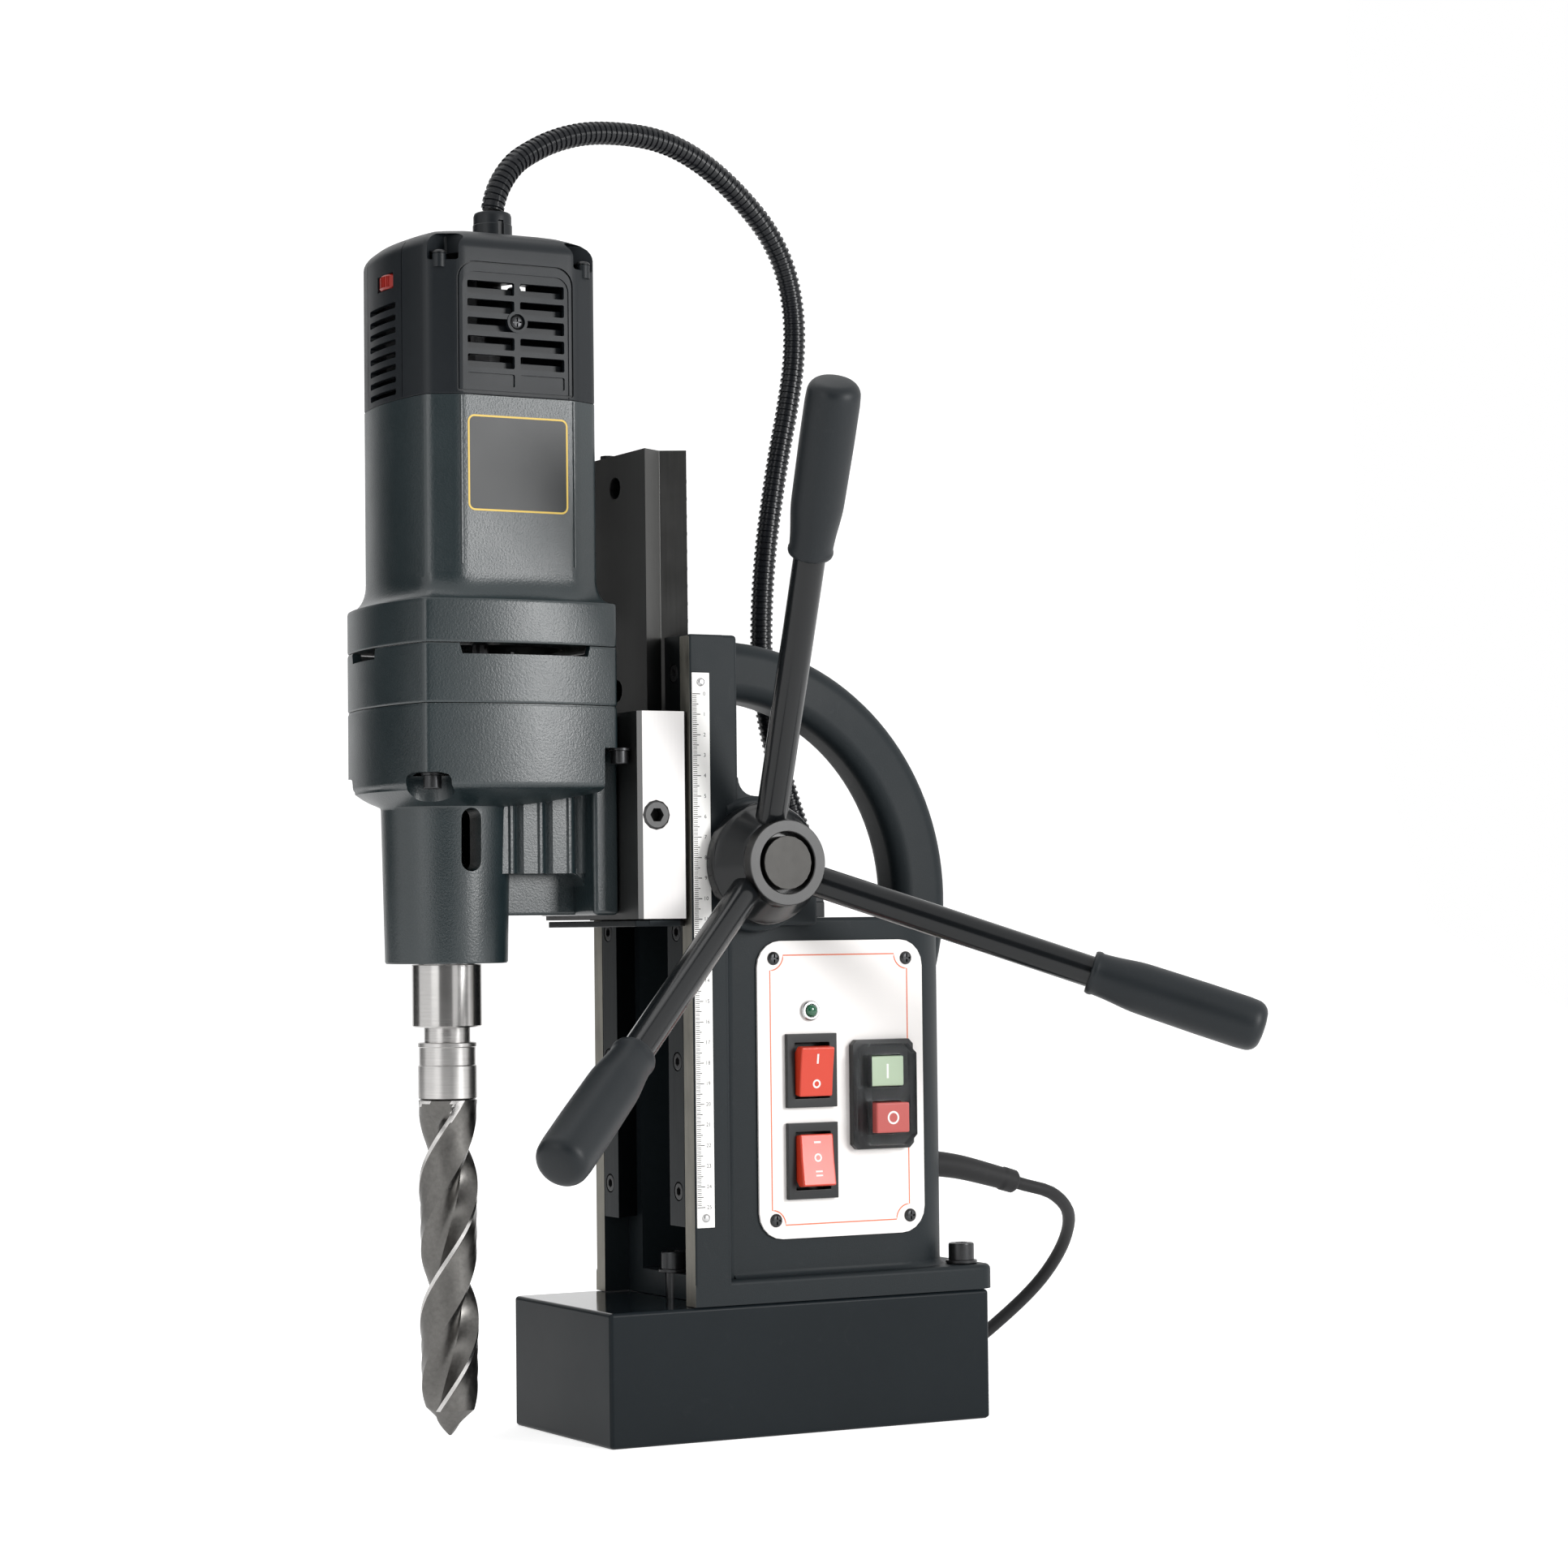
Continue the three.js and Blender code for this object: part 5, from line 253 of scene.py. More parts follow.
def loft(name, rings):
    """A solid through rings of (x, y, z) points: the first ring's face is drawn out from ring to ring."""
    deselect_all()
    bpy.ops.mesh.primitive_circle_add(vertices=len(rings[0]), fill_type="NGON")
    obj = named(name)
    for vertex, point in zip(obj.data.vertices, rings[0]):
        vertex.co = Vector(point) * MM
    edit(obj, "FACE")
    bpy.ops.mesh.select_all(action="SELECT")
    for ring, following in zip(rings, rings[1:]):
        bpy.ops.mesh.extrude_region_move(TRANSFORM_OT_translate={"value": (0, 0, 0)})
        goals = {tuple(Vector(a) * MM): Vector(b) * MM for a, b in zip(ring, following)}
        for vertex in bmesh.from_edit_mesh(obj.data).verts:
            if vertex.select:
                vertex.co = goals[tuple(vertex.co)]
        bmesh.update_edit_mesh(obj.data)
    bpy.ops.mesh.select_all(action="SELECT")
    bpy.ops.mesh.normals_make_consistent(inside=False)
    bpy.ops.object.mode_set(mode="OBJECT")
    return obj


def prism(name, outline, start, end, axis="Z"):
    """A flat outline drawn out along an axis. The outline's pair are the two other coordinates in their order."""
    place = {"X": lambda a, b, c: (c, a, b), "Y": lambda a, b, c: (a, c, b), "Z": lambda a, b, c: (a, b, c)}[axis]
    return loft(name, [[place(a, b, start) for a, b in outline], [place(a, b, end) for a, b in outline]])


def round_corners(low, high, radius, steps=6):
    """A rectangle's outline with round corners, between two (a, b) corners."""
    a0, b0, a1, b1 = low[0] + radius, low[1] + radius, high[0] - radius, high[1] - radius
    points = []
    for quarter, (a, b) in enumerate([(a1, b1), (a0, b1), (a0, b0), (a1, b0)]):
        points += arc(a, b, radius, quarter, quarter + 1, steps)
    return points


def arc(a, b, radius, first, last, steps, rise=None):
    """Points (a, b) on an arc between two angles in quarter turns. Rise is its radius along b, where that differs."""
    angles = [(first + (last - first) * k / steps) * math.pi / 2 for k in range(steps + 1)]
    return [(a + radius * math.cos(angle), b + (rise or radius) * math.sin(angle)) for angle in angles]


def rectangle(low, high, radius):
    """The (a, b, radius) corners of a rectangle, for outline()."""
    return [(*low, radius), (high[0], low[1], radius), (*high, radius), (low[0], high[1], radius)]


def remade(node, name, edge=0.6, segments=2, flat=1.0, angle=32):
    """A solid's own shape with its triangles merged into faces and its edges rounded."""
    obj = bpy.data.objects.new(name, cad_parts[node].data.copy())
    bpy.context.scene.collection.objects.link(obj)
    obj.data.materials.clear()
    edit(obj)
    bpy.ops.mesh.select_all(action="SELECT")
    bpy.ops.mesh.customdata_custom_splitnormals_clear()
    bpy.ops.mesh.remove_doubles(threshold=0.002 * MM)
    if flat:
        bpy.ops.mesh.dissolve_limited(angle_limit=math.radians(flat))
    else:
        bpy.ops.mesh.tris_convert_to_quads(face_threshold=math.radians(1), shape_threshold=math.radians(50))
    bpy.ops.object.mode_set(mode="OBJECT")
    return rounded(obj, edge, segments, angle) if edge else obj


def between(start, end, first, last, t):
    """The value at t on the straight line from start, at first, to end, at last."""
    return start * ((last - t) / (last - first)) + end * ((t - first) / (last - first))


def smooth_route(points, step):
    """Points a step apart, in mm, on one smooth curve through the given points."""
    spots = [Vector(point) for point in points]
    fine = []
    for i in range(len(spots) - 1):
        before = spots[i - 1] if i else spots[0] * 2 - spots[1]
        after = spots[i + 2] if i + 2 < len(spots) else spots[-1] * 2 - spots[-2]
        here, there = spots[i], spots[i + 1]
        knots = [0.0]
        for a, b in ((before, here), (here, there), (there, after)):
            knots.append(knots[-1] + max((b - a).length, 1e-6) ** 0.5)
        count = max(2, round((there - here).length / step))
        for k in range(count):
            t = knots[1] + (knots[2] - knots[1]) * k / count
            ends = [between(*pair, knots[k], knots[k + 1], t)
                for k, pair in enumerate(((before, here), (here, there), (there, after)))]
            inner = [between(ends[k], ends[k + 1], knots[k], knots[k + 2], t) for k in range(2)]
            fine.append(between(*inner, knots[1], knots[2], t))
    return fine + [spots[-1]]


def route_length(points):
    return sum((b - a).length for a, b in zip(points, points[1:]))


def route_curve(name, points, radius=0.0):
    """An open curve through the points, with a round section if it has a radius."""
    deselect_all()
    bpy.ops.curve.primitive_nurbs_path_add()
    obj = bpy.context.object
    obj.name = obj.data.name = name
    obj.data.splines.clear()
    spline = obj.data.splines.new("POLY")
    spline.points.add(len(points) - 1)
    for spot, point in zip(spline.points, points):
        spot.co = (*(point * MM), 1)
    obj.data.dimensions = "3D"
    obj.data.twist_mode = "MINIMUM"
    obj.data.bevel_depth = radius * MM
    obj.data.bevel_resolution = 3
    obj.data.use_fill_caps = True
    obj.location = (0, 0, 0)
    return obj


# Finishes. Each shared effect is one node group; the shader stays in the material.

def add_node(tree, kind, inputs=None, **settings):
    node = tree.nodes.new("ShaderNode" + kind)
    for key, value in settings.items():
        setattr(node, key, value)
    for key, value in (inputs or {}).items():
        if isinstance(value, bpy.types.NodeSocket):
            tree.links.new(value, node.inputs[key])
        else:
            node.inputs[key].default_value = value
    return node


def new_group(name, inputs, outputs):
    group = bpy.data.node_groups.new(name, "ShaderNodeTree")
    for label, kind, value in inputs:
        socket = group.interface.new_socket(name=label, in_out="INPUT", socket_type="NodeSocket" + kind)
        socket.default_value = value
    for label, kind in outputs:
        group.interface.new_socket(name=label, in_out="OUTPUT", socket_type="NodeSocket" + kind)
    return group, group.nodes.new("NodeGroupInput").outputs, group.nodes.new("NodeGroupOutput").inputs


def spread_about_one(tree, mask, spread):
    """The mask, from 0 to 1, as a factor from one less the spread to one plus it."""
    centred = add_node(tree, "Math", {0: mask, 1: 0.5}, operation="SUBTRACT")
    doubled = add_node(tree, "Math", {0: centred.outputs[0], 1: 2.0}, operation="MULTIPLY")
    scaled = add_node(tree, "Math", {0: doubled.outputs[0], 1: spread}, operation="MULTIPLY")
    return add_node(tree, "Math", {0: scaled.outputs[0], 1: 1.0}, operation="ADD").outputs[0]


def make_paint_group():
    """Sprayed or moulded skin: fine pebbles, broad unevenness in colour and gloss, and faint pale rubs."""
    group, given, put = new_group("sprayed_skin",
        [("Color", "Color", (0.1, 0.1, 0.1, 1)), ("Grain Scale", "Float", 900.0), ("Patch Scale", "Float", 14.0),
         ("Color Spread", "Float", 0.2), ("Roughness", "Float", 0.4), ("Roughness Spread", "Float", 0.2),
         ("Rub Strength", "Float", 0.02)],
        [("Color", "Color"), ("Roughness", "Float"), ("Height", "Float")])
    where = add_node(group, "TexCoord").outputs["Object"]
    pebbles = add_node(group, "TexNoise", {"Vector": where, "Scale": given["Grain Scale"], "Detail": 3.0,
        "Roughness": 0.55})
    patches = add_node(group, "TexNoise", {"Vector": where, "Scale": given["Patch Scale"], "Detail": 5.0,
        "Roughness": 0.6})
    rubs = add_node(group, "TexNoise", {"Vector": where, "Scale": 70.0, "Detail": 8.0, "Roughness": 0.75,
        "Distortion": 1.5})
    rubbed = add_node(group, "MapRange", {"Value": rubs.outputs["Fac"], "From Min": 0.58, "From Max": 0.78,
        "To Min": 0.0, "To Max": given["Rub Strength"]})
    factor = spread_about_one(group, patches.outputs["Fac"], given["Color Spread"])
    shade = add_node(group, "VectorMath", {0: given["Color"], "Scale": factor}, operation="SCALE")
    paler = add_node(group, "VectorMath", {0: shade.outputs["Vector"], 1: rubbed.outputs["Result"]}, operation="ADD")
    gloss = spread_about_one(group, patches.outputs["Fac"], given["Roughness Spread"])
    rough = add_node(group, "Math", {0: given["Roughness"], 1: gloss}, operation="MULTIPLY", use_clamp=True)
    group.links.new(paler.outputs["Vector"], put["Color"])
    group.links.new(rough.outputs[0], put["Roughness"])
    group.links.new(pebbles.outputs["Fac"], put["Height"])
    return group


def make_steel_group():
    """Machined steel: fine lines drawn out along one direction, smudges and a little mottling."""
    group, given, put = new_group("machined_steel",
        [("Color", "Color", (0.5, 0.5, 0.5, 1)), ("Line Scale", "Vector", (400.0, 400.0, 400.0)),
         ("Line Contrast", "Float", 0.2), ("Patch Scale", "Float", 18.0), ("Color Spread", "Float", 0.15),
         ("Roughness", "Float", 0.3), ("Roughness Spread", "Float", 0.3)],
        [("Color", "Color"), ("Roughness", "Float"), ("Height", "Float")])
    where = add_node(group, "TexCoord").outputs["Object"]
    stretched = add_node(group, "VectorMath", {0: where, 1: given["Line Scale"]}, operation="MULTIPLY")
    lines = add_node(group, "TexNoise", {"Vector": stretched.outputs["Vector"], "Scale": 1.0, "Detail": 4.0,
        "Roughness": 0.6})
    patches = add_node(group, "TexNoise", {"Vector": where, "Scale": given["Patch Scale"], "Detail": 6.0,
        "Roughness": 0.65})
    line_factor = spread_about_one(group, lines.outputs["Fac"], given["Line Contrast"])
    patch_factor = spread_about_one(group, patches.outputs["Fac"], given["Color Spread"])
    factor = add_node(group, "Math", {0: line_factor, 1: patch_factor}, operation="MULTIPLY")
    shade = add_node(group, "VectorMath", {0: given["Color"], "Scale": factor.outputs[0]}, operation="SCALE")
    gloss = spread_about_one(group, patches.outputs["Fac"], given["Roughness Spread"])
    uneven = add_node(group, "Math", {0: gloss, 1: line_factor}, operation="MULTIPLY")
    rough = add_node(group, "Math", {0: given["Roughness"], 1: uneven.outputs[0]}, operation="MULTIPLY",
        use_clamp=True)
    group.links.new(shade.outputs["Vector"], put["Color"])
    group.links.new(rough.outputs[0], put["Roughness"])
    group.links.new(lines.outputs["Fac"], put["Height"])
    return group


def material_with_shader(name, **uniform):
    """A new material with a Principled shader whose even values are set on its own sockets."""
    material = bpy.data.materials.new(name)
    material.use_nodes = True
    shader = material.node_tree.nodes["Principled BSDF"]
    for key, value in uniform.items():
        shader.inputs[key.replace("_", " ")].default_value = value
    return material, material.node_tree, shader


def feed_shader(tree, shader, source, depth):
    """Colour, roughness and height of a group into the shader, with a bump of the given depth in mm."""
    tree.links.new(source.outputs["Color"], shader.inputs["Base Color"])
    tree.links.new(source.outputs["Roughness"], shader.inputs["Roughness"])
    bump = add_node(tree, "Bump", {"Strength": 1.0, "Distance": depth * MM, "Height": source.outputs["Height"]})
    tree.links.new(bump.outputs["Normal"], shader.inputs["Normal"])


def painted(name, colour, roughness, grain=900.0, depth=0.02, spread=0.2, gloss_spread=0.2, patch=14.0, rub=0.01,
        shine=0.3, **uniform):
    material, tree, shader = material_with_shader(name, Specular_IOR_Level=shine, **uniform)
    skin = add_node(tree, "Group", node_tree=bpy.data.node_groups.get("sprayed_skin") or make_paint_group())
    for key, value in {"Color": (*colour, 1), "Grain Scale": grain, "Patch Scale": patch, "Color Spread": spread,
            "Roughness": roughness, "Roughness Spread": gloss_spread, "Rub Strength": rub}.items():
        skin.inputs[key].default_value = value
    feed_shader(tree, shader, skin, depth)
    return material


def steel(name, colour, roughness, lines=(400, 400, 400), contrast=0.15, depth=0.004, spread=0.12, patch=18.0,
        gloss_spread=0.25, metallic=1.0, **uniform):
    material, tree, shader = material_with_shader(name, Metallic=metallic, **uniform)
    skin = add_node(tree, "Group", node_tree=bpy.data.node_groups.get("machined_steel") or make_steel_group())
    for key, value in {"Color": (*colour, 1), "Line Scale": lines, "Line Contrast": contrast, "Patch Scale": patch,
            "Color Spread": spread, "Roughness": roughness, "Roughness Spread": gloss_spread}.items():
        skin.inputs[key].default_value = value
    feed_shader(tree, shader, skin, depth)
    return material


def clear_plastic(name, colour, roughness):
    """Clear moulded plastic with faint waves."""
    material, tree, shader = material_with_shader(name, Transmission_Weight=1.0, IOR=1.12, Metallic=0.0)
    shader.inputs["Base Color"].default_value = (*colour, 1)
    where = add_node(tree, "TexCoord").outputs["Object"]
    waves = add_node(tree, "TexNoise", {"Vector": where, "Scale": 90.0, "Detail": 2.0})
    rough = add_node(tree, "MapRange", {"Value": waves.outputs["Fac"], "To Min": roughness * 0.6, "To Max": roughness})
    tree.links.new(rough.outputs["Result"], shader.inputs["Roughness"])
    bump = add_node(tree, "Bump", {"Strength": 1.0, "Distance": 0.02 * MM, "Height": waves.outputs["Fac"]})
    tree.links.new(bump.outputs["Normal"], shader.inputs["Normal"])
    return material


FINISHES = {}


def make_finishes(c):
    """Every finish of the drill, by name, from the colours."""
    FINISHES.update({
        "cast_black": painted("cast_black", c.cast_black, 0.5, grain=1500, depth=0.05, spread=0.25, rub=0.006,
            shine=0.2),
        "magnet_black": painted("magnet_black", c.magnet_black, 0.38, grain=2200, depth=0.006, spread=0.2, rub=0.004,
            shine=0.14),
        "magnet_gloss": painted("magnet_gloss", c.magnet_black, 0.12, grain=2200, depth=0.003, spread=0.2, rub=0.006),
        "drill_green": painted("drill_green", c.drill_green, 0.34, grain=1000, depth=0.13, spread=0.22, patch=22,
            rub=0.01, shine=0.75),
        "cap_plastic": painted("cap_plastic", c.cap_plastic, 0.42, grain=2600, depth=0.03, spread=0.15, rub=0.004),
        "grip_rubber": painted("grip_rubber", c.grip_black, 0.45, grain=1800, depth=0.03, spread=0.2, rub=0.006),
        "rod_black": painted("rod_black", c.rod_black, 0.22, grain=500, depth=0.004, spread=0.2, rub=0.002,
            Coat_Weight=0.12, Coat_Roughness=0.08),
        "hose_black": painted("hose_black", c.hose_black, 0.26, grain=1200, depth=0.01, spread=0.2, rub=0.003),
        "cord_rubber": painted("cord_rubber", c.cord_black, 0.55, grain=1600, depth=0.03, spread=0.25, rub=0.01),
        "bolt_black": steel("bolt_black", c.bolt_black, 0.35, contrast=0.2, metallic=0.8),
        "gib_black": steel("gib_black", c.gib_black, 0.42, lines=(900, 900, 40), contrast=0.25, metallic=0.85),
        "bar_gunmetal": steel("bar_gunmetal", c.bar_gunmetal, 0.36, lines=(900, 900, 25), contrast=0.12),
        # The clamp block's sides are near-white as a painted reflection of the key lamp; its front and other faces are
        # darker steel as painted shade.
        "ground_steel": steel("ground_steel", c.ground_steel, 0.6, lines=(900, 900, 20), contrast=0.04, spread=0.03,
            metallic=0.05, Specular_IOR_Level=0.15),
        "block_front": steel("block_front", c.block_front, 0.4, lines=(900, 900, 20), contrast=0.2),
        "wall_steel": steel("wall_steel", c.wall_steel, 0.5, lines=(300, 900, 40), contrast=0.45, spread=0.35,
            patch=45, depth=0.01, metallic=0.75),
        "hub_steel": steel("hub_steel", c.hub_steel, 0.42, lines=(60, 700, 700), contrast=0.12),
        "spindle_steel": steel("spindle_steel", c.spindle_steel, 0.2, lines=(60, 60, 1800), contrast=0.12),
        "drill_steel": steel("drill_steel", c.drill_steel, 0.34, lines=(500, 500, 500), contrast=0.3, spread=0.35,
            patch=60, gloss_spread=0.35),
        "bright_steel": steel("bright_steel", c.bright_steel, 0.3, contrast=0.1),
        "bronze": steel("bronze", c.bronze, 0.35, contrast=0.15),
        "lamination": steel("lamination", c.lamination, 0.45, lines=(60, 60, 3500), contrast=0.4),
        "board_green": painted("board_green", c.board_green, 0.35, grain=300, depth=0.02, spread=0.3),
        "plate_white": painted("plate_white", c.plate_white, 0.34, grain=900, depth=0.004, spread=0.04, rub=0.0),
        "border_orange": painted("border_orange", c.border_orange, 0.4, grain=900, depth=0.004, spread=0.08, rub=0.0),
        "rocker_red": painted("rocker_red", c.rocker_red, 0.3, grain=1200, depth=0.008, spread=0.08, rub=0.01,
            Coat_Weight=0.3, Coat_Roughness=0.15),
        "start_green": painted("start_green", c.start_green, 0.3, grain=1200, depth=0.006, spread=0.06, rub=0.0),
        "stop_red": painted("stop_red", c.stop_red, 0.3, grain=1200, depth=0.006, spread=0.06, rub=0.0),
        "switch_black": painted("switch_black", c.switch_black, 0.32, grain=1500, depth=0.012, spread=0.12, rub=0.003),
        "mark_white": painted("mark_white", c.mark_white, 0.45, grain=900, depth=0.003, spread=0.05, rub=0.0),
        "mark_black": painted("mark_black", c.mark_black, 0.5, grain=900, depth=0.002, spread=0.1, rub=0.0),
        "label_gold": painted("label_gold", c.label_gold, 0.4, grain=900, depth=0.004, spread=0.1, rub=0.0),
        "dial_red": painted("dial_red", c.dial_red, 0.35, grain=900, depth=0.01, spread=0.12, rub=0.01),
        "disc_steel": steel("disc_steel", c.disc_steel, 0.45, lines=(200, 200, 200), contrast=0.25, depth=0.03),
        "collar_steel": steel("collar_steel", c.spindle_steel, 0.3, lines=(60, 60, 1800), contrast=0.2),
        "land_steel": steel("land_steel", c.spindle_steel, 0.24, contrast=0.2),
        "ruler_steel": steel("ruler_steel", c.ruler_steel, 0.5, lines=(900, 900, 30), contrast=0.04, spread=0.04,
            metallic=0.1, Specular_IOR_Level=0.2),
        "coil_resin": painted("coil_resin", c.coil_resin, 0.35, grain=300, depth=0.05, spread=0.3),
        "lamp_green": painted("lamp_green", c.lamp_green, 0.15, grain=300, depth=0.002, spread=0.15, rub=0.0,
            Coat_Weight=0.8, Coat_Roughness=0.05),
        "label_black": painted("label_black", c.label_black, 0.3, grain=900, depth=0.003, spread=0.1, rub=0.004),
        "clear_guard": clear_plastic("clear_guard", c.guard_tint, 0.08),
        # Near-black painted shade for the inside of the lock screw's hexagon socket.
        "socket_painted_shade": painted("socket_painted_shade", (0.003, 0.003, 0.003), 0.8, grain=900, depth=0.01, rub=0.0),
    })


# Sizes and colours

def size(label, millimetres, words):
    return FloatProperty(name=label, description=words, default=millimetres * MM, min=0.0, unit="LENGTH",
        subtype="DISTANCE", precision=4)


def tint(label, colour, words):
    return FloatVectorProperty(name=label, description=words, default=colour, size=3, min=0.0, max=1.0,
        subtype="COLOR")


class DRILL_PG_colours(bpy.types.PropertyGroup):
    """Colours of the finishes, in linear light."""
    cast_black: tint("Stand", (0.010, 0.014, 0.0165), "Black paint of the stand casting")
    magnet_black: tint("Magnet", (0.007, 0.0105, 0.013), "Black lacquer of the magnet")
    drill_green: tint("Drill housing", (0.008, 0.017, 0.020), "Green-black textured paint of the drill head")
    cap_plastic: tint("Motor cap", (0.0065, 0.009, 0.0115), "Black plastic of the motor cap")
    grip_black: tint("Grips", (0.0075, 0.0105, 0.013), "Rubber of the capstan grips")
    rod_black: tint("Spokes", (0.006, 0.007, 0.008), "Glossy black of the capstan spokes")
    hose_black: tint("Hose", (0.007, 0.008, 0.010), "Conduit hose")
    cord_black: tint("Mains cord", (0.012, 0.012, 0.013), "Rubber of the mains cord, its relief and plug")
    bolt_black: tint("Screws", (0.045, 0.046, 0.048), "Blackened screws and bolts")
    gib_black: tint("Gibs", (0.014, 0.017, 0.019), "Blackened steel of the gibs")
    bar_gunmetal: tint("Slide bar", (0.11, 0.11, 0.108), "Dark steel of the slide bar")
    # The clamp block's side colour is a painted reflection of the key lamp; its front colour is painted shade.
    ground_steel: tint("Clamp block side", (0.86, 0.84, 0.83), "Bright ground side of the clamp block")
    block_front: tint("Clamp block front", (0.14, 0.14, 0.14), "Darker front of the clamp block")
    hub_steel: tint("Capstan hub", (0.06, 0.06, 0.06), "Turned steel of the hub")
    disc_steel: tint("Shaft end", (0.05, 0.049, 0.047), "Hammered end of the pinion shaft")
    wall_steel: tint("Guide walls", (0.24, 0.23, 0.20), "Machined front of the stand's guide walls")
    spindle_steel: tint("Spindle", (0.50, 0.49, 0.48), "Polished spindle nose")
    drill_steel: tint("Twist drill", (0.13, 0.126, 0.12), "Grey-brown twist drill")
    bright_steel: tint("Bright steel", (0.50, 0.50, 0.50), "Shafts, gears, ruler and bearings")
    bronze: tint("Bronze", (0.42, 0.28, 0.12), "Bushes of the pinion shaft")
    lamination: tint("Core sheets", (0.20, 0.20, 0.21), "Stacked sheets of rotor and stator")
    board_green: tint("Circuit board", (0.02, 0.12, 0.05), "Circuit board in the box")
    plate_white: tint("Panel plate", (0.93, 0.90, 0.88), "Warm white plate of the panel")
    border_orange: tint("Panel border", (0.78, 0.20, 0.10), "Thin border line on the plate")
    rocker_red: tint("Rockers", (0.62, 0.045, 0.018), "Red-orange rocker switches")
    start_green: tint("Start button", (0.40, 0.50, 0.36), "Pale green start button")
    stop_red: tint("Stop button", (0.48, 0.10, 0.09), "Red stop button")
    switch_black: tint("Switch bodies", (0.016, 0.017, 0.018), "Black switch frames")
    mark_white: tint("White marks", (0.80, 0.80, 0.78), "Marks on rockers and buttons")
    mark_black: tint("Black marks", (0.012, 0.012, 0.012), "Lines and figures of the ruler")
    label_gold: tint("Label line", (0.72, 0.50, 0.10), "Golden line round the bare label place")
    ruler_steel: tint("Ruler", (0.92, 0.91, 0.89), "Bright ruler")
    coil_resin: tint("Coil", (0.05, 0.03, 0.02), "Resin over the magnet's coil")
    lamp_green: tint("Lamp", (0.01, 0.10, 0.045), "Green lens of the lamp")
    label_black: tint("Label", (0.012, 0.014, 0.015), "Bare black label")
    guard_tint: tint("Guard", (0.90, 0.91, 0.92), "Clear guard of the drill switch")
    dial_red: tint("Speed wheel", (0.30, 0.018, 0.012), "Red speed wheel")


class DRILL_PG_stage(bpy.types.PropertyGroup):
    """Camera, lamps and floor."""
    lens: FloatProperty(name="Lens", description="Focal length on a sensor 36 mm wide", default=85.714, min=10, max=300)
    azimuth: FloatProperty(name="Azimuth", description="Camera's turn about the drill, 0 along +Y",
        default=math.radians(61.2), subtype="ANGLE")
    elevation: FloatProperty(name="Elevation", description="Camera's tilt", default=math.radians(-2.22),
        subtype="ANGLE")
    roll: FloatProperty(name="Roll", description="Camera's roll", default=math.radians(-0.648), subtype="ANGLE")
    key_power: FloatProperty(name="Key lamp", description="Power of the large lamp on the panel side", default=20.0,
        min=0.0, unit="POWER")
    fill_power: FloatProperty(name="Fill lamp", description="Power of the lamp in front of the drill", default=6.0,
        min=0.0, unit="POWER")
    floor_size: size("Floor", 9000, "Side of the floor")


class DRILL_PG_stand(bpy.types.PropertyGroup):
    """Stand casting."""
    cast_edge: size("Casting edge", 1.2, "Rounding of the casting's edges")
    boss_radius: size("Boss radius", 33.5, "Radius of the shaft boss")
    arch_radius: size("Arch radius", 115.1, "Radius of the handle's middle line")
    arch_thickness: size("Arch thickness", 30, "Thickness of the handle")
    arch_width: size("Arch width", 29, "Width of the handle")


class DRILL_PG_capstan(bpy.types.PropertyGroup):
    """Hub and grips of the capstan."""
    hub_base: size("Hub base radius", 30, "Radius of the hub against the boss")
    hub_ring: size("Hub ring radius", 20.8, "Radius of the hub's outer ring")
    grip_root: size("Grip root radius", 10.5, "Radius of a grip behind its lip")
    grip_tip: size("Grip tip radius", 12.9, "Radius of a grip near its end")


class DRILL_PG_head(bpy.types.PropertyGroup):
    """Twist drill."""
    drill_radius: size("Drill radius", 14.2, "Radius of the twist drill")
    drill_lead: size("Drill lead", 130, "Height of one full turn of the flutes")


class DRILL_PG_cords(bpy.types.PropertyGroup):
    """Conduit hose and mains cord."""
    hose_radius: size("Hose radius", 5.88, "Outer radius of the conduit hose")
    hose_root: size("Hose root radius", 5.1, "Radius between the hose's ribs")
    hose_pitch: size("Rib pitch", 3.1, "Distance between the hose's ribs")
    cord_radius: size("Cord radius", 3.4, "Radius of the mains cord")
    coil_radius: size("Coil radius", 28.5, "Radius of the innermost turn")
    coil_gap: size("Turn gap", 0.8, "Room between turns side by side")
    coil_layer_gap: size("Layer gap", 0.7, "Room between the coil's layers")


# Camera, floor and lamps

CAMERA_PLACE = (1.6709, -0.8968, 0.2485)


def seen_rays(tree):
    """1 for rays that see the background, straight, mirrored or through the guard, and 0 for the others."""
    path = add_node(tree, "LightPath")
    seen = add_node(tree, "Math", {0: path.outputs["Is Camera Ray"], 1: path.outputs["Is Glossy Ray"]},
        operation="MAXIMUM")
    return add_node(tree, "Math", {0: seen.outputs[0], 1: path.outputs["Is Transmission Ray"]},
        operation="MAXIMUM").outputs[0]


def shown_white(tree, plain, strength):
    """Adds white light to a plain shader for the rays that see the background."""
    level = add_node(tree, "Math", {0: seen_rays(tree), 1: strength}, operation="MULTIPLY")
    glow = add_node(tree, "Emission", {"Color": (1, 1, 1, 1), "Strength": level.outputs[0]})
    return add_node(tree, "AddShader", {0: plain, 1: glow.outputs[0]}).outputs[0]


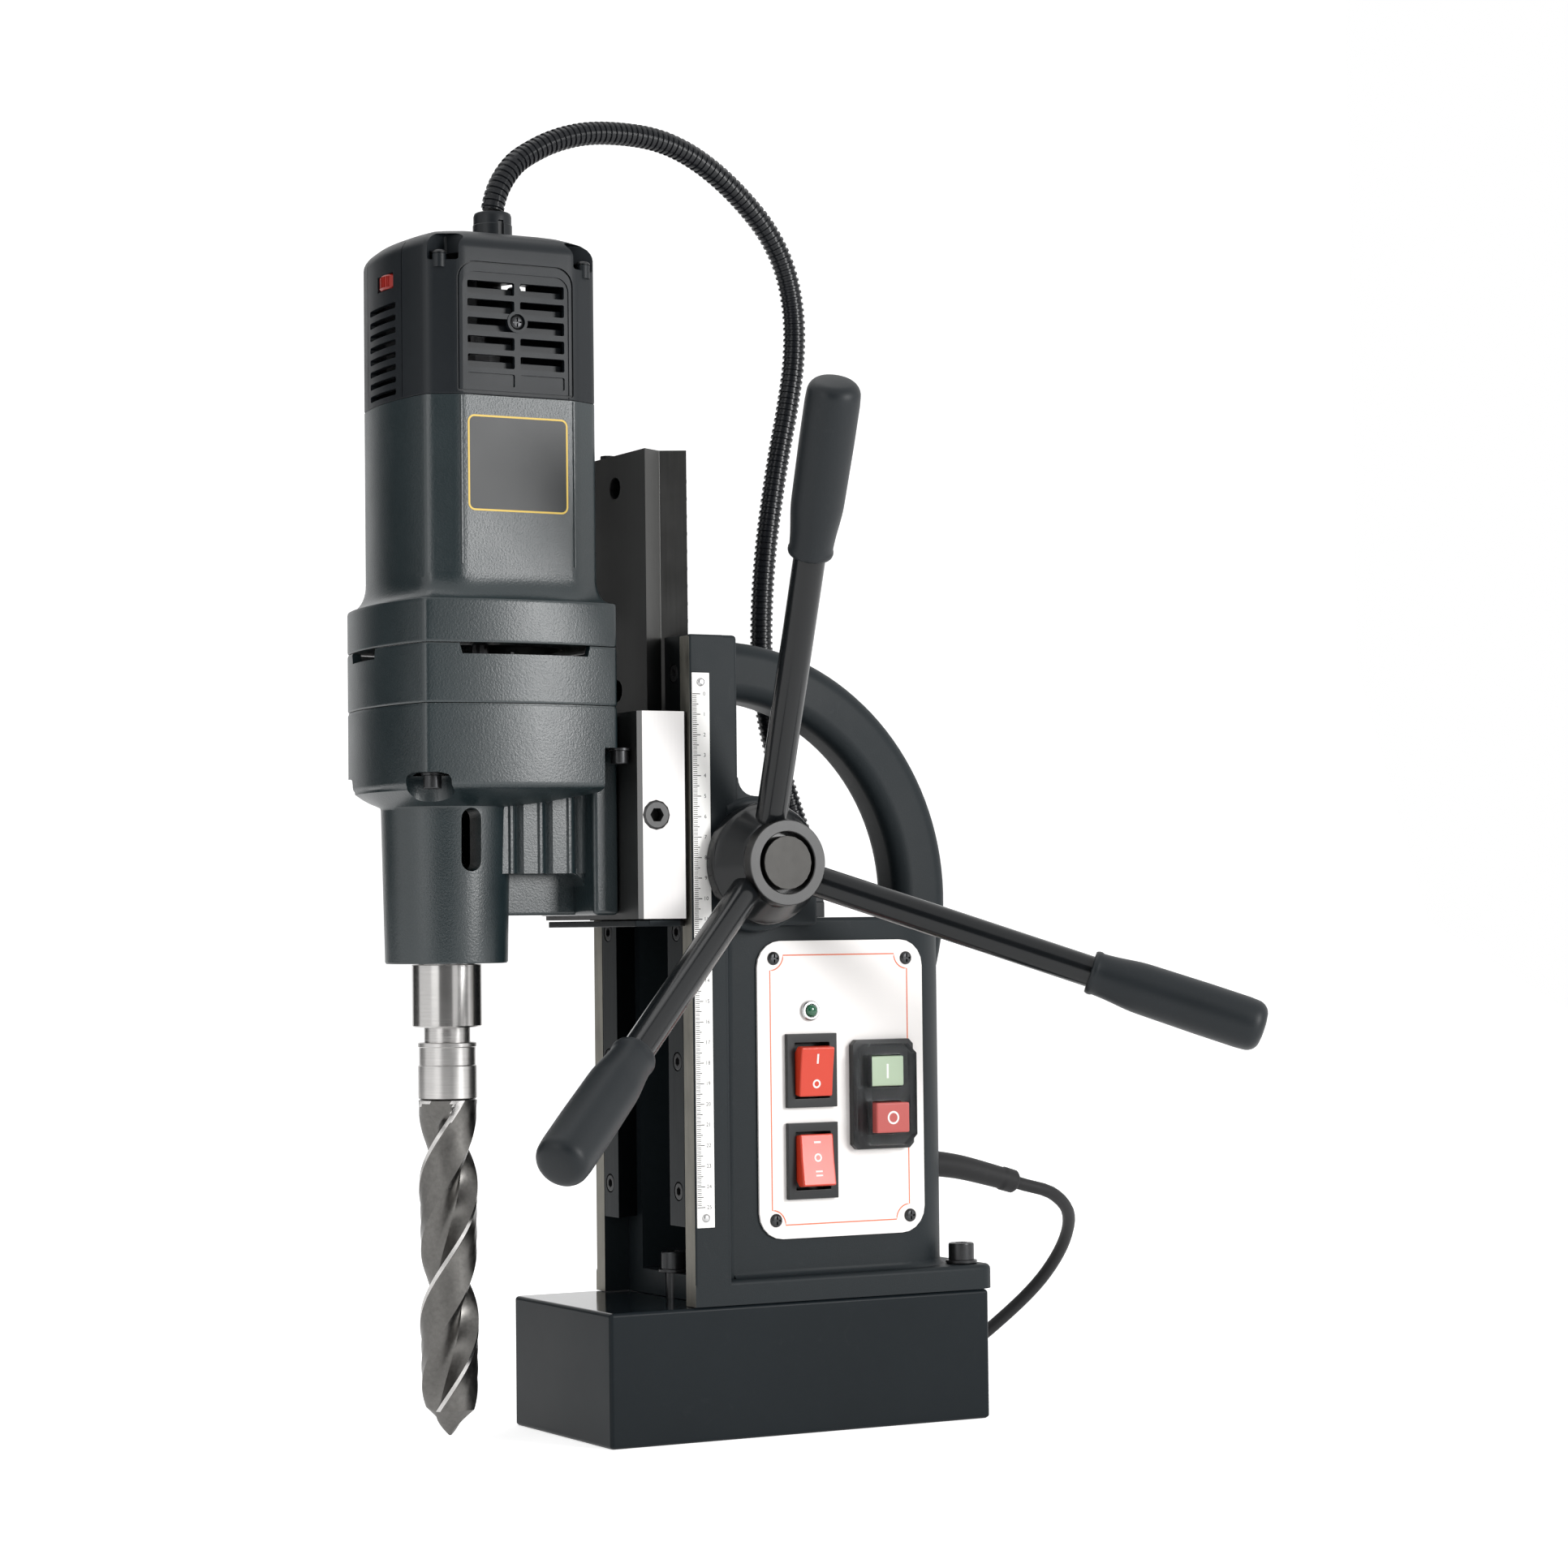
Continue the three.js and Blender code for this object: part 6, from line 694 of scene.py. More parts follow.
def make_floor(stage):
    """A pale floor that keeps the drill's shadow, with its far edge swept up."""
    half = stage.floor_size / 2
    deselect_all()
    bpy.ops.mesh.primitive_plane_add(size=stage.floor_size, location=(0, 0, 0))
    floor = named("studio_floor")
    pick(floor, lambda a, b: abs(a.x + half / MM) < 1 and abs(b.x + half / MM) < 1, "EDGE")
    bpy.ops.mesh.extrude_region_move(TRANSFORM_OT_translate={"value": (-0.6, 0, 0.25)})
    bpy.ops.mesh.extrude_region_move(TRANSFORM_OT_translate={"value": (-0.25, 0, 0.6)})
    bpy.ops.mesh.extrude_region_move(TRANSFORM_OT_translate={"value": (0, 0, 3.0)})
    bpy.ops.object.mode_set(mode="OBJECT")
    bpy.ops.object.shade_smooth_by_angle(angle=math.radians(60))
    material, tree, shader = material_with_shader("floor_paper", Roughness=0.9, Specular_IOR_Level=0.1)
    grain = add_node(tree, "TexNoise", {"Scale": 60.0, "Detail": 3.0})
    ramp = add_node(tree, "MapRange", {"Value": grain.outputs["Fac"], "To Min": 0.74, "To Max": 0.78})
    tree.links.new(ramp.outputs["Result"], shader.inputs["Base Color"])
    white = shown_white(tree, shader.outputs[0], 0.62)
    tree.links.new(white, tree.nodes["Material Output"].inputs["Surface"])
    floor.data.materials.append(material)


def make_world():
    world = bpy.data.worlds.new("studio")
    bpy.context.scene.world = world
    world.use_nodes = True
    tree = world.node_tree
    plain = tree.nodes["Background"]
    plain.inputs["Color"].default_value = (1, 1, 1, 1)
    level = add_node(tree, "MapRange", {"Value": seen_rays(tree), "To Min": 0.72, "To Max": 1.0})
    tree.links.new(level.outputs["Result"], plain.inputs["Strength"])


def add_lamp(name, place, target, width, height, power, colour=(1, 1, 1)):
    deselect_all()
    bpy.ops.object.light_add(type="AREA", location=place)
    lamp = bpy.context.object
    lamp.name = name
    lamp.data.shape = "RECTANGLE"
    lamp.data.size, lamp.data.size_y = width, height
    lamp.data.energy = power
    lamp.data.color = colour
    lamp.rotation_euler = (Vector(target) - Vector(place)).to_track_quat("-Z", "Y").to_euler()


def add_card(name, place, width, height):
    """A dark card outside the picture: bright metal and gloss show it as their dark side."""
    deselect_all()
    bpy.ops.mesh.primitive_plane_add(size=1, location=place)
    card = bpy.context.object
    card.scale = (width, height, 1)
    card.rotation_euler = (Vector((0, 0, 0.3)) - Vector(place)).to_track_quat("Z", "Y").to_euler()
    card = named(name)
    material, tree, shader = material_with_shader("card_black", Roughness=0.9, Specular_IOR_Level=0.05)
    fibres = add_node(tree, "TexNoise", {"Scale": 90.0, "Detail": 3.0})
    ramp = add_node(tree, "MapRange", {"Value": fibres.outputs["Fac"], "To Min": 0.012, "To Max": 0.018})
    tree.links.new(ramp.outputs["Result"], shader.inputs["Base Color"])
    card.data.materials.append(material)
    card.visible_camera = card.visible_diffuse = card.visible_shadow = False


def make_camera(stage):
    a, e, roll = stage.azimuth, stage.elevation, stage.roll
    back = Vector((math.sin(a) * math.cos(e), -math.cos(a) * math.cos(e), math.sin(e)))
    right = Vector((math.cos(a), math.sin(a), 0))
    up = back.cross(right)
    rolled_right = right * math.cos(roll) + up * math.sin(roll)
    rolled_up = up * math.cos(roll) - right * math.sin(roll)
    deselect_all()
    bpy.ops.object.camera_add(location=CAMERA_PLACE)
    camera = bpy.context.object
    turn = Matrix((rolled_right, rolled_up, back)).transposed().to_4x4()
    camera.matrix_world = Matrix.Translation(camera.location) @ turn
    camera.data.lens = stage.lens
    camera.data.sensor_fit = "HORIZONTAL"
    camera.data.sensor_width = 36
    camera.data.clip_end = 60
    bpy.context.scene.camera = camera


class DRILL_OT_stage(bpy.types.Operator):
    """Sets the camera, the pale floor, the world and the lamps."""
    bl_idname = "drill.stage"
    bl_label = "Stage"

    def execute(self, context):
        stage = context.scene.drill_stage
        make_camera(stage)
        make_floor(stage)
        make_world()
        add_lamp("key_lamp", (1.6, 0.78, 0.66), (0, -0.05, 0.32), 0.5, 0.7, stage.key_power)
        add_lamp("fill_lamp", (0.9, -1.9, 0.9), (0, -0.1, 0.3), 0.9, 1.4, stage.fill_power)
        add_lamp("top_lamp", (-0.3, -0.2, 1.9), (0, 0, 0.3), 1.2, 1.2, stage.fill_power * 0.8)
        add_card("camera_card", (2.35, -1.35, 0.6), 2.2, 2.6)
        add_card("side_card", (-2.1, -1.5, 0.7), 2.0, 2.4)
        add_card("lamp_card", (2.45, 1.35, 0.6), 1.9, 2.6)
        context.scene.view_settings.view_transform = "Standard"
        return {"FINISHED"}


# Magnet and stand

HALF_WIDTH = 55.2
STAND_FRONT = -60.5
COLUMN_TOP = 393
SHAFT_Y, SHAFT_Z = -24, 280.5
BOLT_HEIGHTS = (120.6, 184, 247.5, 311, 374.6)
RULER_X, RULER_EDGE, RULER_ZERO = 56.2, -59.5, 363.6


def outline(corners, steps=8):
    """A flat outline through (a, b, radius) corners, each rounded by an arc."""
    points = []
    for i, (a, b, radius) in enumerate(corners):
        here = Vector((a, b))
        if radius < 0.01:
            points.append((a, b))
            continue
        before = (Vector(corners[i - 1][:2]) - here).normalized()
        after = (Vector(corners[(i + 1) % len(corners)][:2]) - here).normalized()
        half = before.angle(after) / 2
        reach = radius / math.tan(half)
        centre = here + (before + after).normalized() * (radius / math.sin(half))
        start, end = here + before * reach - centre, here + after * reach - centre
        first = math.atan2(start.y, start.x)
        sweep = (math.atan2(end.y, end.x) - first + math.pi) % (2 * math.pi) - math.pi
        for k in range(steps + 1):
            angle = first + sweep * k / steps
            points.append((centre.x + radius * math.cos(angle), centre.y + radius * math.sin(angle)))
    return points


def rimmed(name, corners, low, high, edge, steps=4, arc=8):
    """An upright solid over (x, y, radius) corners whose top rim is rounded: the outline steps in as it rises."""
    middle_x = (min(c[0] for c in corners) + max(c[0] for c in corners)) / 2
    middle_y = (min(c[1] for c in corners) + max(c[1] for c in corners)) / 2
    rings = []
    for inset, z in [(0, low)] + [(edge * (1 - math.cos(k / steps * math.pi / 2)),
            high - edge + edge * math.sin(k / steps * math.pi / 2)) for k in range(steps + 1)]:
        moved = [(x - math.copysign(inset, x - middle_x), y - math.copysign(inset, y - middle_y),
            max(radius - inset, 0.05) if radius else 0) for x, y, radius in corners]
        rings.append(level(outline(moved, arc), z))
    return loft(name, rings)


def repaint(look, *nodes):
    """A solid that stays as it is gets a finish of this scene in its slots."""
    for node in nodes:
        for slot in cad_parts[node].material_slots:
            slot.material = FINISHES[look]


def socket_screw(name, radius, height, socket, depth, edge=0.7):
    """A cap screw's head standing on the origin, with its hexagon socket cut in."""
    head = turned(name, [(radius - 0.2, 0), (radius, 0.2), (radius, height - edge), (radius - edge * 0.3, height - edge
        * 0.3), (radius - edge, height)], sides=32)
    cut(head, rod("socket_room", "Z", (0, 0, height - depth), depth + 1, socket, sides=6))
    return head


def cross_screw(name, radius, height, arm, width=0.9):
    """A domed screw's head standing on the origin, with its cross cut in."""
    head = turned(name, [(radius, 0), (radius, height * 0.35), (radius * 0.86, height * 0.75), (radius * 0.6, height)],
        sides=24)
    low, high = height * 0.3, height + 1
    cut(head, block("cross_a", (-arm, -width / 2, low), (arm, width / 2, high)))
    cut(head, block("cross_b", (-width / 2, -arm, low), (width / 2, arm, high)))
    return head


def place_screw(model, name, spot, axis="Z", flip=False):
    """A copy of a screw's head with its foot on the spot and its top along the axis."""
    activate(model)
    bpy.ops.object.duplicate()
    copy = bpy.context.object
    turn = {"X": Matrix.Rotation(math.pi / 2, 4, "Y"), "Y": Matrix.Rotation(-math.pi / 2, 4, "X"),
        "Z": Matrix.Identity(4)}[axis]
    if flip:
        turn = Matrix.Rotation(math.pi, 4, "X" if axis != "X" else "Z") @ turn
    copy.matrix_world = Matrix.Translation(Vector(spot) * MM) @ turn
    return named(name)


class DRILL_OT_magnet(bpy.types.Operator):
    """Makes the magnet block with its softened edges and glossy top; its coil stays in its groove."""
    bl_idname = "drill.magnet"
    bl_label = "Magnet"

    def execute(self, context):
        base = remade("magnet_body", "magnet_block", edge=0.7, segments=3)
        complete(base, "magnet_black", "stand", "magnet_black", "magnet_body")
        paint_faces(base, "magnet_gloss", lambda middle, normal: normal.z > 0.9 and middle.z > 60)
        repaint("coil_resin", "magnet_coil")
        return {"FINISHED"}


def swept_fillet(name, stations, low, size_up, size_out, steps=4):
    """A concave filler from a wall down to a floor, along (x, y, outward direction) stations."""
    rings = []
    for x, y, (nx, ny) in stations:
        ring = [(x - nx * 2, y - ny * 2, low - 2), (x + nx * size_out, y + ny * size_out, low - 2)]
        for k in range(steps + 1):
            angle = k / steps * math.pi / 2
            out, up = size_out * (1 - math.sin(angle)), size_up * (1 - math.cos(angle))
            ring.append((x + nx * out, y + ny * out, low + up))
        ring.append((x - nx * 2, y - ny * 2, low + size_up))
        rings.append(ring)
    return loft(name, rings)


class DRILL_OT_stand(bpy.types.Operator):
    """Casts the stand: foot, guide walls, hollow switch box, shaft boss and arched handle."""
    bl_idname = "drill.stand"
    bl_label = "Stand casting"

    def execute(self, context):
        sizes = context.scene.drill_stand
        edge = sizes.cast_edge / MM
        foot = rimmed("stand_foot", [(-HALF_WIDTH, STAND_FRONT, 0), (HALF_WIDTH, STAND_FRONT, 0),
            (HALF_WIDTH, 112, 10), (-HALF_WIDTH, 112, 10)], 65.3, 77.5, 2.6)
        band = soft_block("stand_band", (-HALF_WIDTH, STAND_FRONT, 71), (HALF_WIDTH, -41, COLUMN_TOP), edge)
        rail = soft_block("stand_rail", (-HALF_WIDTH, -60.3, 250), (HALF_WIDTH, -34, COLUMN_TOP), edge * 1.6)
        spine = soft_block("stand_spine", (-36, -60.3, 76), (36, -27, 392.6), edge)
        casting = unite(foot, band, rail, spine, self.make_box(edge), self.make_boss(sizes), self.make_arch(sizes))
        unite(casting, *self.make_fillets())
        self.hollow_out(casting)
        complete(casting, "cast_black", "stand", "black_casting", "stand_casting", smooth=38)
        paint_faces(casting, "wall_steel", lambda middle, normal: normal.y < -0.95 and middle.y < -60.2)
        return {"FINISHED"}

    def make_box(self, edge):
        plan = rimmed("stand_box", [(-49, -42, 0), (49, -42, 0), (49, 99, 40), (-49, 99, 40)], 70, 254, edge * 2, 3, 16)
        edge_line = [(102, 242), *arc(87, 242, 12, 0, 1, 8), (87, 257), (102, 257)]
        return cut(plan, prism("box_rear_edge", edge_line, -52, 52, "X"))

    def make_boss(self, sizes):
        radius = sizes.boss_radius / MM
        boss = rounded(rod("stand_boss", "X", (-57, SHAFT_Y, SHAFT_Z), 114, radius, 72), 3.2, 4, 40)
        unite(boss, soft_block("boss_skirt", (-56, -40.7, 250), (56, 9.5, SHAFT_Z), 2.2))
        for low, high in ((HALF_WIDTH, 60), (-60, -HALF_WIDTH)):
            cut(boss, block("boss_front", (low, -64, 60), (high, -41, 400)))
        return boss

    def make_arch(self, sizes):
        radius, thick, wide = sizes.arch_radius / MM, sizes.arch_thickness / MM, sizes.arch_width / MM
        section = round_corners((-thick / 2, -wide / 2), (thick / 2, wide / 2), 9, 6)
        rings = []
        for i in range(49):
            angle = math.radians(-31.4 + (99 + 31.4) * i / 48)
            rings.append([(x, -18.9 + (radius + out) * math.cos(angle), 263.9 + (radius + out) * math.sin(angle))
                for out, x in section])
        return loft("stand_arch", rings)

    def make_fillets(self):
        made = []
        corner = [(48, -42), (HALF_WIDTH, -42), *arc(HALF_WIDTH, -34.8, 6.2, 3, 2, 4), (48, -34.8)]
        hollow = [(-36, 306), (-36, 323), *arc(-25, 323, 9, 2, 3, 6), (-24.9, 306)]
        for side in (1, -1):
            made.append(prism("band_fillet", [(side * x, y) for x, y in corner], 72, 252))
            made.append(prism("boss_fillet", hollow, *sorted((side * 54.6, side * 10)), "X"))
        made.append(swept_fillet("foot_fillet", box_foot_stations(), 77.3, 3.4, 3.4))
        return made

    def hollow_out(self, casting):
        inner = prism("box_room", outline([(-43, -14, 0), (43, -14, 0), (43, 93, 34), (-43, 93, 34)], 10), 77.5, 248)
        cut(casting, unite(inner, block("panel_opening", (40, -11.3, 106.6), (49.5, 61.1, 231.5))))
        cut(casting, block("guide_channel", (-45, -62, 60), (45, -46.5, 394)))
        cut(casting, block("pocket_high", (-30, -62, 77.5), (30, -35.5, 394)))
        cut(casting, block("pocket_low", (-30, -62, 77.5), (30, -20, 253.99)))
        cut(casting, rod("pinion_room", "X", (-30, SHAFT_Y, SHAFT_Z), 60, 17.8, 40))
        cut(casting, rod("bush_room", "X", (-58, SHAFT_Y, SHAFT_Z), 116, 15.3, 48))
        cut(casting, block("bolt_channel", (-4.6, -62, 60), (4.6, -44, 78)),
            rod("bolt_slot", "Z", (0, -44, 60), 18, 4.6))
        for x in (42, -42):
            cut(casting, rod("bolt_hole", "Z", (x, 98.5, 60), 20, 4.3, 24))
        cut(casting, rod("wire_hole", "Z", (31, 10, 60), 20, 5, 24))
        cut(casting, rod("relief_hole", "Y", (0, 90, 126), 12, 6.3, 24))
        cut(casting, rod("gland_hole", "Z", (-28, 50, 244), 14, 6.3, 24))


def box_foot_stations():
    """Points and outward directions along the switch box's foot, round its rear."""
    stations = [(49, -36, (1, 0)), (49, 59, (1, 0))]
    stations += [(9 + 40 * away[0], 59 + 40 * away[1], away) for away in arc(0, 0, 1, 0, 1, 12)[1:-1]]
    stations.append((9, 99, (0, 1)))
    return stations + [(-x, y, (-out[0], out[1])) for x, y, out in reversed(stations)]


class DRILL_OT_guides(bpy.types.Operator):
    """Makes the two gibs with their socket screws and the ruler with its marks, figures and rivets."""
    bl_idname = "drill.guides"
    bl_label = "Gibs and ruler"

    def execute(self, context):
        model = socket_screw("gib_screw", 4.3, 3.2, 2.3, 2.4, 0.5)
        for side, node in ((1, "right_gib"), (-1, "left_gib")):
            gib = remade(node, node + "_strip", edge=0.35)
            for height in BOLT_HEIGHTS:
                cut(gib, rod("screw_seat", "Y", (side * 38, -61, height), 4, 4.8, 24))
            complete(gib, "gib_black", "stand", "dark_steel", node, smooth=30)
            heads = [place_screw(model, "head", (side * 38, -57.3, height), "Y", flip=True) for height in BOLT_HEIGHTS]
            screws = join(node + "_screws", heads)
            complete(screws, "bolt_black", "stand", "black_screw")
        drop(model)
        self.make_ruler()
        return {"FINISHED"}

    def make_ruler(self):
        strip = remade("ruler", "ruler_strip", edge=0.15)
        complete(strip, "ruler_steel", "stand", "scale_steel", "ruler")
        marks = []
        for mark in range(251):
            reach = 4.2 if mark % 10 == 0 else 3.2 if mark % 5 == 0 else 2.2
            half = 0.16 if mark % 5 else 0.2
            z = RULER_ZERO - mark
            marks.append(block("ruler_mark", (RULER_X - 0.02, RULER_EDGE, z - half),
                (RULER_X + 0.02, RULER_EDGE + reach, z + half)))
        complete(join("ruler_marks", marks), "mark_black", "stand", "scale_steel", weighted=False)
        figures = [flat_text(str(number), 2.7, (RULER_X, -53.1, RULER_ZERO - 10 * number)) for number in range(26)]
        complete(join("ruler_figures", figures), "mark_black", "stand", "scale_steel", weighted=False)
        rivets = [turned("rivet", [(2.1, 0), (2.1, 0.3), (1.7, 0.9), (0.9, 1.25)], (RULER_X, -55, z), "X", 20)
            for z in (369.4, 108.4)]
        complete(join("ruler_rivets", rivets), "bright_steel", "stand", "bright_steel", smooth=50)


def flat_text(words, height, place):
    """Plain figures as a thin mesh that lies on a face looking along X."""
    deselect_all()
    bpy.ops.object.text_add()
    obj = bpy.context.object
    obj.data.body = words
    obj.data.size = height * MM
    obj.data.align_x = "CENTER"
    obj.data.align_y = "CENTER"
    obj.data.extrude = 0.02 * MM
    obj.data.resolution_u = 3
    activate(obj)
    bpy.ops.object.convert(target="MESH")
    obj = bpy.context.object
    turn = Matrix(((0, 0, 1), (1, 0, 0), (0, 1, 0)))
    obj.matrix_world = Matrix.Translation(Vector(place) * MM) @ turn.to_4x4()
    return named("figure")


class DRILL_OT_foot_bolts(bpy.types.Operator):
    """Makes the socket screws and washers that hold the stand on the magnet."""
    bl_idname = "drill.foot_bolts"
    bl_label = "Foot bolts"

    def execute(self, context):
        head = socket_screw("foot_screw", 6.5, 8.7, 3.4, 4.5, 0.9)
        ring = turned("washer_ring", [(7.7, 0), (8, 0.25), (8, 1.35), (7.7, 1.6)], sides=40)
        for name, x, y in (("front", 0, -44), ("right", 42, 98.5), ("left", -42, 98.5)):
            bolt = place_screw(head, name + "_foot_screw", (x, y, 79.4))
            shank = rod("shank", "Z", (x, y, 51.3), 28.2, 4, 24)
            unite(bolt, shank)
            complete(bolt, "bolt_black", "stand", "black_screw", name + "_foot_bolt")
            washer = place_screw(ring, name + "_washer_ring", (x, y, 77.8))
            cut(washer, rod("washer_hole", "Z", (x, y, 77), 4, 4.3, 24))
            complete(washer, "bolt_black", "stand", "black_screw", name + "_foot_washer")
        drop(head)
        drop(ring)
        return {"FINISHED"}


# Panel, switches and lamp

PLATE_FACE = 50.5
LAMP_PLACE = (PLATE_FACE + 0.3, 7, 207.8)
PANEL_SCREWS = ((-13.2, 233.9), (62.6, 233.2), (-13.2, 104.9), (63.5, 104.1))


def flat_line(name, corners, width, low, high, steps=8):
    """A closed flat line of even width about an outline, standing on a face that looks along X."""
    outer = prism(name, outline(corners, steps), low, high, "X")
    middle_a = (min(c[0] for c in corners) + max(c[0] for c in corners)) / 2
    middle_b = (min(c[1] for c in corners) + max(c[1] for c in corners)) / 2
    inside = [(a + (width if a < middle_a else -width), b + (width if b < middle_b else -width),
        max(0.01, radius - width)) for a, b, radius in corners]
    return cut(outer, prism("line_room", outline(inside, steps), low - 1, high + 1, "X"))


class DRILL_OT_panel(bpy.types.Operator):
    """Makes the white plate with its border line, its four cross screws and the green lamp."""
    bl_idname = "drill.panel"
    bl_label = "Panel plate and lamp"

    def execute(self, context):
        plate = remade("panel_plate", "panel_sheet", edge=0.25)
        complete(plate, "plate_white", "stand", "panel_white", "panel_plate", smooth=30)
        self.make_border()
        model = cross_screw("panel_screw", 3.3, 1.5, 2.1)
        heads = [place_screw(model, "head", (PLATE_FACE - 0.1, y, z), "X") for y, z in PANEL_SCREWS]
        drop(model)
        screws = join("panel_screws", heads)
        complete(screws, "bolt_black", "stand", "black_screw", smooth=50)
        bezel = turned("lamp_bezel", [(3.5, -13), (3.5, 0), (5, 0.05), (5, 1.2), (4.4, 1.8), (3.5, 1.8), (3.3, 0.9)],
            LAMP_PLACE, "X", 40)
        complete(bezel, "bright_steel", "stand", "bright_steel", "indicator_lamp", smooth=40)
        lens = turned("lamp_lens", [(3.2, 0.6), (3.2, 1.6), (3.0, 2.4), (2.4, 3.1), (1.5, 3.5), (0.5, 3.65)],
            LAMP_PLACE, "X", 32)
        complete(lens, "lamp_green", "stand", "lamp_green", smooth=60)
        repaint("board_green", "circuit_board")
        return {"FINISHED"}

    def make_border(self):
        low, high, notch, half = (-15.2, 102.4), (63.2, 235.4), 7.5, 0.32
        points = []
        for a, b, da, db in ((high[0], high[1], -1, -1), (low[0], high[1], 1, -1), (low[0], low[1], 1, 1),
                (high[0], low[1], -1, 1)):
            bend = [(a + da * u, b + db * v) for u, v in arc(0, 0, notch, 0, 1, 8)]
            points += bend if da * db < 0 else reversed(bend)
        rings = []
        count = len(points)
        for i in range(count):
            before, after = Vector(points[i - 1]), Vector(points[(i + 1) % count])
            along = (after - before).normalized()
            side = Vector((-along.y, along.x)) * half
            y, z = points[i]
            rings.append([(PLATE_FACE - 0.05, y - side.x, z - side.y), (PLATE_FACE + 0.06, y - side.x, z - side.y),
                (PLATE_FACE + 0.06, y + side.x, z + side.y), (PLATE_FACE - 0.05, y + side.x, z + side.y)])
        line = loft("panel_border", rings + [rings[0]])
        complete(line, "border_orange", "stand", "panel_white", weighted=False)


class DRILL_OT_switches(bpy.types.Operator):
    """Makes the two rocker switches and the guarded drill switch with its two buttons, with their plain marks."""
    bl_idname = "drill.switches"
    bl_label = "Switches"

    def execute(self, context):
        for word in ("magnet", "direction"):
            frame_piece = remade(word + "_switch_body", word + "_switch_frame", edge=0.3, flat=0)
            complete(frame_piece, "switch_black", "stand", "switch_black", word + "_switch_body")
            rocker = remade(word + "_rocker", word + "_rocker_cap", edge=0.8, segments=3, angle=25)
            complete(rocker, "rocker_red", word + "_rocker_group", "rocker_red", word + "_rocker", smooth=40)
            self.mark_rocker(rocker, word)
        shell = remade("drill_switch_body", "drill_switch_frame", edge=0.3, flat=0)
        complete(shell, "switch_black", "stand", "switch_black", "drill_switch_body")
        for word, colour, slot in (("start", "start_green", "button_green"), ("stop", "stop_red", "button_red")):
            button = remade(word + "_button", word + "_button_cap", edge=0.9, segments=3)
            complete(button, colour, word + "_button_group", slot, word + "_button")
            face = max(vertex.co.x for vertex in button.data.vertices) / MM
            mark = self.bar_mark(face) if word == "start" else self.ring_mark(face)
            complete(mark, "mark_white", word + "_button_group", slot, weighted=False)
        guard = remade("drill_switch_guard", "drill_switch_cover", edge=0.25, flat=0)
        complete(guard, "clear_guard", "stand", "guard_clear", "drill_switch_guard")
        return {"FINISHED"}

    def bar_mark(self, face):
        y, z = 46.5, 177
        return block("mark_bar", (face - 0.3, y - 0.55, z - 3.6), (face + 0.06, y + 0.55, z + 3.6))

    def ring_mark(self, face):
        y, z = 46.5, 154
        ring = rod("mark_ring", "X", (face - 0.3, y, z), 0.36, 3.3, 32)
        return cut(ring, rod("ring_room", "X", (face - 1, y, z), 2, 2.34, 32))

    def mark_rocker(self, rocker, word):
        """Marks that lie on the rocker's sloping face: stencils cut them from a copy that stands out a little."""
        skin = twin(rocker, word + "_rocker_marks", (0.07, 0, 0))
        ys, zs = [[vertex.co[axis] / MM for vertex in rocker.data.vertices] for axis in (1, 2)]
        y, low, high = (min(ys) + max(ys)) / 2, min(zs), max(zs)
        centre, quarter = (low + high) / 2, (high - low) / 4
        if word == "magnet":
            bars = [(0.5, centre + quarter - 2.4, centre + quarter + 2.4)]
            ring_z, outer, inner = centre - quarter, 2.2, 1.3
        else:
            bars = [(1.9, high - 4.4, high - 3.5), (1.9, low + 5.2, low + 6), (1.9, low + 7.2, low + 8)]
            ring_z, outer, inner = centre + 1.4, 2.1, 1.25
        shapes = [block("mark_bar", (40, y - half, bottom), (65, y + half, top)) for half, bottom, top in bars]
        ring = rod("mark_ring", "X", (40, y, ring_z), 25, outer, 28)
        shapes.append(cut(ring, rod("ring_room", "X", (39, y, ring_z), 27, inner, 28)))
        combine(skin, [join("mark_stencil", shapes)], "INTERSECT")
        complete(skin, "mark_white", word + "_rocker_group", "rocker_red", weighted=False)


# Slide and capstan

class DRILL_OT_slide(bpy.types.Operator):
    """Makes the double dovetail bar with its holes, the stop plate and the stop screw, and remakes the rack narrower.
    """
    bl_idname = "drill.slide"
    bl_label = "Slide bar"

    def execute(self, context):
        bar = remade("slide_bar", "dovetail_bar", edge=0.35)
        for height in (469.5, 368):
            cut(bar, turned("bar_hole", [(5.4, -7), (5.4, -0.6), (6.1, 0.2)], (0, -72.8, height), "Y", 32))
        complete(bar, "bar_gunmetal", "slide", "dark_steel", "slide_bar", smooth=30)
        plate = remade("stop_plate", "stop_sheet", edge=0.4)
        complete(plate, "gib_black", "slide", "dark_steel", "stop_plate")
        screw = remade("slide_stop_screw", "bar_stop_screw", edge=0.3)
        complete(screw, "bolt_black", "slide", "black_screw", "slide_stop_screw")
        rack = remade("feed_rack", "toothed_rack", edge=0)
        pick(rack, lambda middle, normal: True)
        bpy.ops.transform.resize(value=(0.7, 1, 1), center_override=(0, 0, 0))
        bpy.ops.object.mode_set(mode="OBJECT")
        complete(rack, "gib_black", "slide", "dark_steel", "feed_rack", smooth=20)
        return {"FINISHED"}


